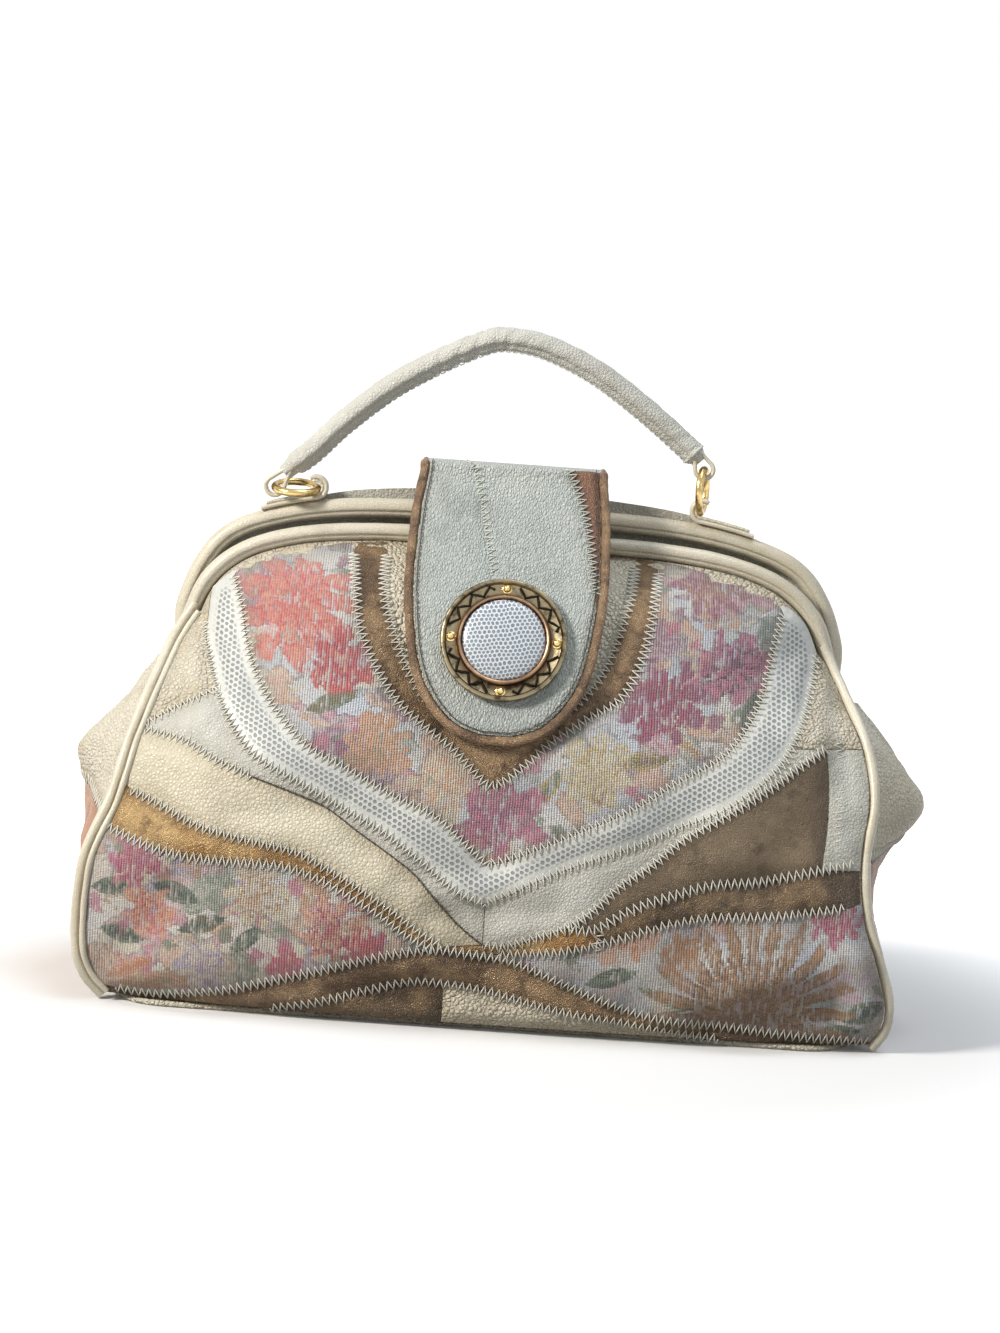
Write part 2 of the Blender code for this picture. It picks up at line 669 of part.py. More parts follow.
def tucked_rear_depth(x, z):
    """The upper rear panel's depth, which tucks behind the lower one at the fold."""
    return rear_depth(x, z) - fold_tuck(z)


def make_panels(front_joint, rear_joint):
    """The four colliding panels, two in front and two behind."""
    lower = sheet(lower_outline(), ruled_depth, PANEL_THICKNESS, RULE_X, RULE_Z)
    add_object("front_panel_lower", lower, "cream_leather", smooth=False)
    upper = sheet(upper_outline(), tucked_depth, PANEL_THICKNESS, RULE_X, RULE_Z)
    add_object("front_panel_upper", upper, "cream_leather", front_joint, smooth=False)
    lower = sheet(lower_outline(), rear_depth, PANEL_THICKNESS, RULE_X, RULE_Z)
    add_object("rear_panel_lower", mirrored_back(lower), "white_leather", smooth=False)
    upper = sheet(rear_outline(), tucked_rear_depth, PANEL_THICKNESS, RULE_X, RULE_Z)
    add_object("rear_panel_upper", mirrored_back(upper), "white_leather", rear_joint, smooth=False)


def patch_depth(x, z):
    """The outer face of a patch that lies on a panel."""
    return ruled_depth(x, z) + GAP + PATCH_THICKNESS


def make_patch(name, outline, finish, parent=None):
    """One patch, held on the panel and drawn in from its seams."""
    outline = [(min(max(x, -edge_x(-1, z)), edge_x(1, z)), z) for x, z in outline]
    outline = without_doubles(outline, SEAM_GAP)
    outline = inset_outline(outline, SEAM_GAP / 2)
    bm = sheet(outline, patch_depth, PATCH_THICKNESS, RULE_X, RULE_Z)
    return add_object(name, bm, finish, parent, smooth=False)


def split_at_height(line, height):
    """Splits half of a V shaped seam at a height, so that both parts share one point."""
    low = [p for p in line if p[1] <= height]
    high = [p for p in line if p[1] > height]
    a, b = (low[-1], high[0]) if line[0][1] < line[-1][1] else (low[0], high[-1])
    share = (height - a[1]) / (b[1] - a[1])
    cross = (a[0] + (b[0] - a[0]) * share, height)
    if line[0][1] < line[-1][1]:
        return [*low, cross], [cross, *high]
    return [cross, *low], [*high, cross]


def arch_between(start, end):
    """The panel's top edge between two places across, without those two."""
    return [p for p in crown_edge() if start + SEAM_GAP < p[0] < end - SEAM_GAP]


def edge_between(side, low, high, steps=4):
    """The panel's side edge, drawn in by one gap so that it clears the piping."""
    line = panel_edge(side, low, high, steps)
    return [(x - side * GAP, z) for x, z in line]


def make_yoke():
    """The tapestry yoke under the frame, with the bronze band that runs round the flap."""
    inner = below_arch(seam(MESH_INNER_SHARES))
    outer_u = below_arch(seam(YOKE_OUTER_SHARES))
    inner_u = below_arch(seam(YOKE_INNER_SHARES))
    left_top = arch_between(inner[0][0], outer_u[0][0])
    right_top = arch_between(outer_u[-1][0], inner[-1][0])
    tapestry = inner + right_top[::-1] + outer_u[::-1] + left_top[::-1]
    make_patch("front_tapestry_yoke", tapestry, "tapestry")
    make_patch("front_bronze_collar", outer_u + inner_u[::-1], "bronze_leather")


def arch_height(x):
    """The height of the panel's top edge at a place across."""
    line = crown_edge()
    for a, b in zip(line, line[1:]):
        if a[0] <= x <= b[0]:
            return a[1] + (b[1] - a[1]) * (x - a[0]) / (b[0] - a[0])
    return line[0][1]


def below_arch(line):
    """Keeps the points of a line that lie under the arch, and ends it on the arch."""
    kept = [p for p in line if p[1] < arch_height(p[0]) - SEAM_GAP]
    start = (kept[0][0], arch_height(kept[0][0]))
    end = (kept[-1][0], arch_height(kept[-1][0]))
    return [start, *kept, end]


def make_mesh_band():
    """The perforated band that edges the yoke."""
    outer = seam(MESH_OUTER_SHARES)
    inner = seam(MESH_INNER_SHARES)
    outer = below_arch(outer)
    inner = below_arch(inner)
    left = arch_between(outer[0][0], inner[0][0])
    right = arch_between(inner[-1][0], outer[-1][0])
    outline = outer + right[::-1] + inner[::-1] + left[::-1]
    make_patch("front_mesh_band", outline, "mesh_trim")


def make_left_patches():
    """The cream, white and beige leathers, the bronze strip and the tapestry at the left."""
    mesh = below_arch(seam(MESH_OUTER_SHARES))
    shoulder = seam(SHOULDER_SEAM_SHARES)
    white = seam(WHITE_SEAM_SHARES)
    strip_top = seam(LEFT_STRIP_TOP_SHARES)
    strip_foot = seam(LEFT_STRIP_FOOT_SHARES)
    band = seam(ARCH_BAND_TOP_SHARES)
    valley = white[-1][0]
    half = [p for p in mesh if p[0] <= valley + SEAM_GAP]
    high, low = (split_at_height(half, shoulder[-1][1])[i] for i in (1, 0))
    top = FOLD_HEIGHT - FOLD_CORNER_DROP
    rim = edge_between(-1, shoulder[0][1], top)
    corner = [p for p in crown_edge() if p[0] < high[0][0] - SEAM_GAP]
    cream = shoulder[:-1] + high[::-1] + corner[::-1] + rim[::-1][:-1]
    make_patch("front_cream_left", cream, "cream_leather")
    make_patch("front_white_left", shoulder[:-1] + low + white[::-1], "white_leather")
    rim = edge_between(-1, strip_top[0][1], white[0][1])[1:-1]
    make_patch("front_beige_left", white + strip_top[::-1] + rim, "cream_leather")
    make_patch("front_bronze_left", strip_top + strip_foot[::-1], "bronze_leather")
    under = [p for p in band if p[0] <= strip_foot[-1][0]]
    rim = edge_between(-1, band[0][1], strip_foot[0][1])[1:-1]
    make_patch("front_tapestry_left", strip_foot + under[::-1] + rim, "tapestry")


def make_right_patches():
    """The white leather, the bronze wedge, its gathered strip and the tapestry at the right."""
    mesh = below_arch(seam(MESH_OUTER_SHARES))
    wedge_seam = seam(WEDGE_SEAM_SHARES)
    wedge_side = seam(WEDGE_SIDE_SHARES)
    wedge_foot = seam(WEDGE_FOOT_SHARES)
    gather = seam(GATHER_FOOT_SHARES)
    band = seam(ARCH_BAND_TOP_SHARES)
    tip = wedge_seam[-1]
    half = [p for p in mesh if p[0] >= wedge_seam[0][0] - SEAM_GAP]
    low, high = split_at_height(half, tip[1])
    make_patch("front_white_right", wedge_seam + low[::-1], "white_leather")
    start = wedge_foot[-1]
    wedge_top = [p for p in wedge_seam if p[0] > start[0]]
    wedge = wedge_foot[::-1][:-1] + wedge_side[::-1] + wedge_top[::-1][1:]
    make_patch("front_bronze_wedge", wedge, "bronze_leather")
    left_top = [p for p in wedge_seam if p[0] < start[0]]
    rim = edge_between(1, gather[0][1], wedge_foot[0][1])
    gathered = left_top + wedge_foot[::-1] + rim[::-1] + gather[1:]
    make_patch("front_gathered_strip", gathered, "bronze_leather")
    strip = wedge_side + edge_between(1, wedge_side[-1][1], tip[1])
    make_patch("front_white_strip", strip, "white_leather")
    rim = edge_between(1, tip[1], FOLD_HEIGHT - FOLD_CORNER_DROP)
    corner = [p for p in crown_edge() if p[0] > high[-1][0] + SEAM_GAP]
    cream = [tip, *rim, *corner[::-1], *high[::-1]]
    make_patch("front_cream_right", cream, "cream_leather")
    over = [p for p in band if p[0] >= gather[-1][0] + RULE_X]
    rim = edge_between(1, band[-1][1], gather[0][1])[1:-1]
    make_patch("front_tapestry_right", over + rim + gather[:-1], "tapestry")


def make_hem_patches():
    """The bronze band that arches along the hem, and the leathers below it."""
    top = seam(ARCH_BAND_TOP_SHARES)
    foot = seam(ARCH_BAND_FOOT_SHARES)
    hem_left = (foot[0][0], PANEL_HEM)
    hem_right = (foot[-1][0], PANEL_HEM)
    left = (top[0][0], PANEL_HEM)
    right = (top[-1][0], PANEL_HEM)
    outline = top + [right, hem_right] + foot[::-1] + [hem_left, left]
    make_patch("front_bronze_band", outline, "bronze_leather")
    split = HALF_WIDTH * HEM_SPLIT_SHARES[0]
    brown = [p for p in foot if p[0] <= split]
    cream = [p for p in foot if p[0] >= split]
    make_patch("front_hem_brown", brown + [(brown[-1][0], PANEL_HEM), hem_left], "tan_leather")
    make_patch("front_hem_cream", cream + [hem_right, (cream[0][0], PANEL_HEM)], "cream_leather")


def gusset_x(side, y_share, z):
    """How far out a gusset's outer face lies."""
    ear = LEFT_EAR_REACH if side < 0 else RIGHT_EAR_REACH
    reach = ear * share_at(GUSSET_REACH_SHARES, z / PANEL_TOP)
    return edge_x(side, z) + reach * (1.0 - y_share**2)


def make_gussets():
    """The two end walls, which fold out as ears under the frame's rivets."""
    for side, name in ((-1, "gusset_left"), (1, "gusset_right")):
        rings = []
        for row in range(GUSSET_ROWS + 1):
            z = PANEL_HEM + (GUSSET_TOP - PANEL_HEM) * row / GUSSET_ROWS
            half = corner_depth(z) - PANEL_THICKNESS - SEAM_GAP
            shares = [2 * i / GUSSET_COLUMNS - 1 for i in range(GUSSET_COLUMNS + 1)]
            outer = [(side * gusset_x(side, s, z), half * s, z) for s in shares]
            inner = [(x - side * GUSSET_THICKNESS, y, z) for x, y, z in outer]
            rings.append(outer + inner[::-1])
        add_object(name, loft(rings), "tan_leather" if side > 0 else "cream_leather")


def make_base():
    """The leather base and the stiffening board that lies on it."""
    outline = rounded_outline(BASE_HALF_WIDTH, BASE_HALF_DEPTH, BASE_CORNER)
    base = loft([[(x, y, 0.0) for x, y in outline], [(x, y, BASE_THICKNESS) for x, y in outline]])
    add_object("base_panel", base, "cream_leather", smooth=False)
    margin = PANEL_THICKNESS + BOARD_MARGIN
    outline = rounded_outline(BASE_HALF_WIDTH - margin, BASE_HALF_DEPTH - margin, BASE_CORNER)
    low = BASE_THICKNESS + GAP
    high = low + BOARD_THICKNESS
    board = loft([[(x, y, low) for x, y in outline], [(x, y, high) for x, y in outline]])
    add_object("base_board", board, "board", smooth=False)


def rounded_outline(half_x, half_y, corner, steps=4):
    """A rectangle with round corners, as (x, y)."""
    points = []
    for quarter in range(4):
        sx = (1, -1, -1, 1)[quarter]
        sy = (1, 1, -1, -1)[quarter]
        for step in range(steps + 1):
            angle = math.pi / 2 * (quarter + step / steps)
            x = sx * (half_x - corner) + corner * math.cos(angle)
            y = sy * (half_y - corner) + corner * math.sin(angle)
            points.append((x, y))
    return points


def make_lining():
    """The cloth bag inside, open at the top."""
    low = BASE_THICKNESS + BOARD_THICKNESS + 3 * GAP
    outer = [lining_ring(low + (LINING_TOP - low) * i / LINING_ROWS, 0.0) for i in range(LINING_ROWS + 1)]
    floor = low + LINING_THICKNESS
    inner = [
        lining_ring(floor + (LINING_TOP - floor) * i / LINING_ROWS, LINING_THICKNESS)
        for i in range(LINING_ROWS + 1)
    ]
    add_object("lining", loft([*outer, *inner[::-1]]), "lining_cloth")


def lining_ring(z, inset):
    """One level of the lining, just inside the panels and gussets."""
    back = PANEL_THICKNESS + LINING_EASE + inset
    left = -edge_x(-1, z) + GUSSET_THICKNESS + 4 * GAP + inset
    right = edge_x(1, z) - GUSSET_THICKNESS - 4 * GAP - inset
    xs = [left + (right - left) * i / LINING_COLUMNS for i in range(LINING_COLUMNS + 1)]
    front = [(x, back - lining_depth(x, z), z) for x in xs]
    rear = [(x, -y, z) for x, y, z in front[::-1]]
    return front + rear


def lining_depth(x, z):
    """The panel's depth, kept clear of the board at the floor."""
    return ruled_depth(x, z) * share_at(LINING_EASE_SHARES, z / PANEL_TOP)


def make_piping():
    """The four rolls of piping along the panels' side edges."""
    reach = PIPING_RADIUS + RUNNING_GAP
    for side, place in ((-1, "left"), (1, "right")):
        edge = panel_edge(side, PANEL_HEM, FOLD_HEIGHT - FOLD_CORNER_DROP, EDGE_STEPS)
        for facing, which in ((-1, "front"), (1, "rear")):
            line = []
            for i, (x, z) in enumerate(edge):
                before = Vector(edge[max(i - 1, 0)])
                after = Vector(edge[min(i + 1, len(edge) - 1)])
                run = (after - before).normalized()
                y = facing * (corner_depth(z) - PIPING_RADIUS / 2)
                line.append((x + side * run.y * reach, y, z - side * run.x * reach))
            add_tube(f"piping_{which}_{place}", line, PIPING_RADIUS, "cream_leather", 1)


def add_tube(name, line, radius, finish, resolution, parent=None, cyclic=False):
    """A round roll along a line, as a bevelled curve with filled caps."""
    curve = bpy.data.curves.new(name, "CURVE")
    curve.dimensions = "3D"
    curve.bevel_depth = radius
    curve.bevel_resolution = resolution
    curve.use_fill_caps = True
    spline = curve.splines.new("POLY")
    spline.points.add(len(line) - 1)
    for point, place in zip(spline.points, line):
        point.co = (*place, 1.0)
    spline.use_cyclic_u = cyclic
    return add_data(name, curve, finish, parent)


def make_arch(name, shares, half_width, rise, side, band, joint):
    """One steel bar with its rivet lugs, and the leather sewn round it."""
    line = arch_points(shares, half_width, rise)
    centre_y = side * FRAME_SPREAD
    top = PIVOT_HEIGHT + LUG_RISE
    rings = []
    ends = [(line[0][0], PIVOT_HEIGHT - LUG_DROP), (line[0][0], top)]
    body = [p for p in line if p[1] > top + LUG_RISE / 2]
    path = [*ends, (line[0][0], top + LUG_RISE / 2), *body]
    path = [*path, (line[-1][0], top + LUG_RISE / 2), (line[-1][0], top), (line[-1][0], ends[0][1])]
    flat = BAR_THICKNESS / 2
    for i, ring in enumerate(along_arch(path, ((flat, -1), (flat, 1), (-flat, 1), (-flat, -1)), 0.0)):
        lug = i < 2 or i > len(path) - 3
        near = -side * LUG_REACH if lug else centre_y - side * BAR_WIDTH / 2
        far = centre_y + side * BAR_WIDTH / 2
        rings.append([(x, far if y * side > 0 else near, z) for x, y, z in ring])
    bar = add_object(f"{name}_frame_bar", loft(rings), "steel", joint, smooth=False)
    for end in (-1, 1):
        reach = OVERRUN
        start = (end * (half_width - reach), 0.0, PIVOT_HEIGHT)
        stop = (end * (half_width + reach), 0.0, PIVOT_HEIGHT)
        hole = round_bar(start, stop, RIVET_RADIUS + GAP, 12)
        cut_with(bar, hole, f"{name}_hole_{'right' if end > 0 else 'left'}")
    covered = [p for p in line if p[1] > PIVOT_HEIGHT + COVER_START]
    foot = PIVOT_HEIGHT + COVER_START
    covered = [(line[0][0], foot), *covered, (line[-1][0], foot)]
    half = band / 2
    half_y = COVER_WIDTH / 2
    bevel = COVER_BEVEL_SHARE * band
    outer = along_arch(covered, rounded_box(half, half_y, bevel), centre_y)
    hollow = rounded_box(half - COVER_WALL, half_y - COVER_WALL, bevel / 2)
    inner = along_arch(covered, hollow, centre_y)
    add_object(f"{name}_frame_cover", hollow_loft(outer, inner), "cream_leather", joint)


def make_rivets():
    """The two rivets that both arches turn on."""
    inner_face = FRONT_HALF_WIDTH - BAR_THICKNESS / 2 - RUNNING_GAP
    outer_face = REAR_HALF_WIDTH + BAR_THICKNESS / 2 + RUNNING_GAP
    head = RIVET_HEAD_HEIGHT
    profile = (
        (0.0, inner_face - head), (RIVET_HEAD_RADIUS, inner_face - head),
        (RIVET_HEAD_RADIUS, inner_face), (RIVET_RADIUS, inner_face),
        (RIVET_RADIUS, outer_face), (RIVET_HEAD_RADIUS, outer_face),
        (RIVET_HEAD_RADIUS, outer_face + head / 2), (RIVET_RADIUS, outer_face + head),
        (0.0, outer_face + head),
    )
    for side, place in ((-1, "left"), (1, "right")):
        bm = turned(profile, (0.0, 0.0, PIVOT_HEIGHT), (side, 0.0, 0.0), 12)
        add_object(f"rivet_{place}", bm, "gold_metal")


def ring_centre(side):
    """A ring's centre: the left one lies flat, the right one stands."""
    if side < 0:
        return Vector((LEFT_TAB_PIN_X - RING_RADIUS, HANDLE_Y, LEFT_TAB_PIN_Z))
    return Vector((RIGHT_TAB_PIN_X, HANDLE_Y, RIGHT_TAB_PIN_Z + RING_RADIUS))


def loop_pin(side):
    """Where a ring's wire runs through the handle's end loop."""
    if side < 0:
        return Vector((LEFT_TAB_PIN_X - 2 * RING_RADIUS, HANDLE_Y, LEFT_TAB_PIN_Z))
    return Vector((RIGHT_TAB_PIN_X, HANDLE_Y, RIGHT_TAB_PIN_Z + 2 * RING_RADIUS))


def make_rings(left_joint, right_joint):
    """The two round wire rings."""
    for side, place, joint in ((-1, "left", left_joint), (1, "right", right_joint)):
        centre = ring_centre(side)
        rings = []
        for i in range(RING_STEPS):
            angle = 2 * math.pi * i / RING_STEPS
            out = Vector((math.cos(angle), math.sin(angle), 0.0))
            if side > 0:
                out = Vector((0.0, math.sin(angle), math.cos(angle)))
            normal = Vector((0.0, 0.0, 1.0)) if side < 0 else Vector((1.0, 0.0, 0.0))
            ring = []
            for j in range(RING_SIDES):
                turn = 2 * math.pi * j / RING_SIDES
                offset = out * math.cos(turn) + normal * math.sin(turn)
                ring.append(centre + out * RING_RADIUS + offset * RING_WIRE)
            rings.append(ring)
        add_object(f"ring_{place}", loft(rings, closed=True), "gold_metal", joint)


def eye_plate(centre, hole, wall, reach, lean, width):
    """A leather eye round a wire that runs along Y, with a neck that leans one way."""
    outer = []
    inner = []
    for i in range(LOOP_STEPS):
        angle = 2 * math.pi * i / LOOP_STEPS + lean
        neck = max(math.cos(angle - lean), 0.0) ** 6
        radius = (hole + wall) * (1 - neck) + reach * neck
        outer.append((math.cos(angle) * radius, math.sin(angle) * radius))
        inner.append((math.cos(angle) * hole, math.sin(angle) * hole))
    rings = []
    for a, b in zip(outer, inner):
        corners = ((a, -1), (a, 1), (b, 1), (b, -1))
        rings.append([centre + Vector((p[0], s * width / 2, p[1])) for p, s in corners])
    return loft(rings, closed=True)


def make_loops(left_joint, swing_joint):
    """The leather eyes at the handle's ends."""
    left = eye_plate(loop_pin(-1), LOOP_HOLE, LOOP_WALL, LEFT_LOOP_REACH, LEFT_LOOP_LEAN, LOOP_WIDTH)
    add_object("handle_loop_left", left, "white_leather", left_joint)
    right = eye_plate(
        loop_pin(1), LOOP_HOLE, LOOP_WALL, RIGHT_LOOP_REACH, RIGHT_LOOP_LEAN, LOOP_WIDTH
    )
    add_object("handle_loop_right", right, "white_leather", swing_joint)


def handle_line():
    """The handle's centre line, low at its left end."""
    line = []
    for x, z in smooth_through(HANDLE_SHARES, 2):
        line.append((HANDLE_LEFT_X + HANDLE_SPAN * x, HANDLE_LEFT_Z + HANDLE_RISE * z))
    return line


def round_rings(line, radius, sides):
    """Rings of points along a handle line, square to it."""
    profile = []
    for i in range(sides):
        angle = 2 * math.pi * i / sides
        profile.append((radius * math.cos(angle), radius * math.sin(angle)))
    return along_arch(line, profile, HANDLE_Y)


def make_handle(joint):
    """The rope core and the leather sewn round it."""
    line = handle_line()
    wall = HANDLE_RADIUS - HANDLE_WALL
    outer = round_rings(line, HANDLE_RADIUS, HANDLE_SIDES)
    inner = round_rings(line, wall, HANDLE_SIDES)
    add_object("handle_cover", hollow_loft(outer, inner), "white_leather", joint)
    core = round_rings(line[1:-1], wall - GAP, HANDLE_SIDES)
    add_object("handle_core", loft(core), "board", joint)


def cover_top(x):
    """The height of the rear cover's outer face at a place across."""
    line = arch_points(REAR_ARCH_SHARES, REAR_HALF_WIDTH, REAR_RISE)
    for a, b in zip(line, line[1:]):
        if a[0] <= x <= b[0]:
            slope = (b[1] - a[1]) / (b[0] - a[0])
            rise = REAR_COVER_BAND / 2 * math.hypot(1.0, slope)
            return a[1] + slope * (x - a[0]) + rise
    return line[0][1]


def make_tabs(joint):
    """The leather tabs that hold the rings, each an eye on a strip studded to the frame."""
    for side, place in ((-1, "left"), (1, "right")):
        pin_x = LEFT_TAB_PIN_X if side < 0 else RIGHT_TAB_PIN_X
        pin_z = LEFT_TAB_PIN_Z if side < 0 else RIGHT_TAB_PIN_Z
        away = pin_x + side * TAB_LENGTH
        under = [pin_x + (away - pin_x) * i / 4 for i in range(5)]
        foot = [(x, cover_top(x) + TAB_LIFT) for x in under]
        eye = Vector((pin_x, HANDLE_Y, pin_z))
        bm = tab_mesh(side, foot, eye)
        add_object(f"ring_tab_{place}", bm, "white_leather", joint)
        make_stud(f"tab_stud_{place}", foot[2:], side, joint)


def tab_mesh(side, foot, eye):
    """A strip on the cover that turns up and over a ring's wire, back onto itself."""
    hole = TAB_EYE_HOLE
    radius = hole + TAB_THICKNESS
    inner_line = []
    outer_line = []
    for i in range(13):
        angle = math.radians(250 - i * 200 / 12) if side < 0 else math.radians(-70 + i * 200 / 12)
        turn = -1 if side < 0 else 1
        direction = (math.cos(angle) * -turn * side, math.sin(angle))
        inner_line.append((eye.x + direction[0] * hole, eye.z + direction[1] * hole))
        outer_line.append((eye.x + direction[0] * radius, eye.z + direction[1] * radius))
    low = [(x, z) for x, z in foot[1:]][::-1]
    high = [(x, z + TAB_THICKNESS) for x, z in foot[1:]][::-1]
    outer = low + outer_line
    inner = high + inner_line
    rings = []
    for a, b in zip(outer, inner):
        corners = ((a, -1), (a, 1), (b, 1), (b, -1))
        rings.append([(p[0], HANDLE_Y + s * TAB_WIDTH / 2, p[1]) for p, s in corners])
    return loft(rings)


def make_stud(name, strip, side, joint):
    """The small stud that closes a tab's strip onto the frame."""
    run = (Vector(strip[-1]) - Vector(strip[0])).normalized() * side
    normal = Vector((-run.y, 0.0, run.x))
    place = Vector((strip[1][0], HANDLE_Y, strip[1][1] + TAB_THICKNESS))
    profile = (
        (0.0, 0.0), (TAB_STUD_HEAD, 0.0), (TAB_STUD_HEAD, TAB_STUD_HEIGHT / 2),
        (TAB_STUD_RADIUS, TAB_STUD_HEIGHT), (0.0, TAB_STUD_HEIGHT),
    )
    bm = turned(profile, place + normal * GAP, normal, 10)
    add_object(name, bm, "gold_metal", joint)


def flap_mid_depth(z):
    """The flap's inner face at its middle, from the hinge down."""
    drop = (FLAP_HINGE_Z - z) / FLAP_DROP
    over = panel_depth(FLAP_CENTRE_X, z) + FLAP_STANDOFF
    share = share_at(FLAP_SHOULDER_SHARES, drop)
    rest = panel_depth(FLAP_CENTRE_X, FLAP_HINGE_Z - FLAP_DROP * FLAP_SHOULDER_SHARES[-1][0])
    lead = -FLAP_HINGE_Y + share * (rest + FLAP_STANDOFF + FLAP_HINGE_Y)
    return lead if drop < FLAP_SHOULDER_SHARES[-1][0] else over


def flap_depth(x, z):
    """The inner face of the flap's lining, which follows the panel's crown."""
    mid = flap_mid_depth(z)
    ease = min(max((FLAP_HINGE_Z - z) / FLAP_DROP, 0.0), 1.0)
    away = panel_depth(FLAP_CENTRE_X, z) - panel_depth(x, z)
    return mid - away * ease


def ruled_flap_depth(x, z):
    """The flap's depth on its flat triangles."""
    return ruled(flap_depth, x, z, RULE_X, FLAP_RULE_Z)


def flap_outline(inset):
    """The flap's outline from its top left round its tip to its top right."""
    half = FLAP_HALF_WIDTH - inset
    drop = FLAP_DROP - inset - FLAP_KNUCKLE
    top = FLAP_HINGE_Z - FLAP_KNUCKLE
    right = smooth_through(FLAP_OUTLINE_SHARES, 2)
    left = [(FLAP_CENTRE_X - half * x, top - drop * z) for x, z in right]
    return left + [(FLAP_CENTRE_X + half * x, top - drop * z) for x, z in right[::-1]]


def make_flap(joint):
    """The flap's leather, its lining and the rolled bronze border."""
    outline = flap_outline(FLAP_BORDER)
    lining = sheet(outline, lambda x, z: ruled_flap_depth(x, z) + FLAP_LINING, FLAP_LINING,
                   RULE_X, FLAP_RULE_Z)
    add_object("flap_lining", lining, "lining_cloth", joint, smooth=False)
    outer = FLAP_LINING + GAP + FLAP_LEATHER
    leather = sheet(outline, lambda x, z: ruled_flap_depth(x, z) + outer, FLAP_LEATHER,
                    RULE_X, FLAP_RULE_Z)
    add_object("flap_leather", leather, "mint_leather", joint, smooth=False)
    radius = FLAP_BORDER / 2 - GAP
    line = []
    for x, z in flap_outline(radius):
        line.append((x, -flap_depth(x, z) - outer / 2, z))
    add_tube("flap_piping", line, radius, "bronze_leather", 1, joint)


def strap_seat(z):
    """Where the middle of the strap's thickness lies behind the rear panel."""
    across = (-RULE_X, 0.0, RULE_X)
    here, above, below = (
        max(rear_depth(x, z + step) for x in across) for step in (0.0, RULE_SNAP, -RULE_SNAP)
    )
    slope = max(abs(above - here), abs(below - here)) / RULE_SNAP
    return here + (STRAP_THICKNESS / 2 + GAP) * math.hypot(1.0, slope)


def make_strap(joint):
    """The strap that carries the flap over both arches and down the rear panel."""
    half = STRAP_THICKNESS / 2
    start = (FLAP_HINGE_Y + FLAP_KNUCKLE + RUNNING_GAP + half, FLAP_HINGE_Z)
    line = [start, (0.0, FLAP_HINGE_Z + STRAP_CREST), (STRAP_SHOULDER_Y, STRAP_SHOULDER_Z)]
    line.append((strap_seat(STRAP_WAIST_Z), STRAP_WAIST_Z))
    rows = [row * RULE_Z for row in range(FOLD_ROW, 2 * FOLD_ROW)]
    rows = [z for z in rows if STRAP_FOOT_Z < z < STRAP_WAIST_Z]
    for z in [*reversed(rows), STRAP_FOOT_Z]:
        line.append((strap_seat(z), z))
    rings = []
    for i, (y, z) in enumerate(line):
        before = Vector(line[max(i - 1, 0)])
        after = Vector(line[min(i + 1, len(line) - 1)])
        run = (after - before).normalized()
        out = Vector((-run.y, run.x)) * half
        ring = []
        for side, sign in ((-1, 1), (1, 1), (1, -1), (-1, -1)):
            x = FLAP_CENTRE_X + side * STRAP_HALF_WIDTH
            ring.append((x, y + sign * out.x, z + sign * out.y))
        rings.append(ring)
    add_object("flap_strap", loft(rings), "mint_leather", joint, smooth=False)


def facing(depth, x, z, step):
    """A point on a front surface, and the way that it faces there."""
    slope = (depth(x, z - step) - depth(x, z + step)) / (2 * step)
    return Vector((x, -depth(x, z), z)), Vector((0.0, -1.0, slope)).normalized()


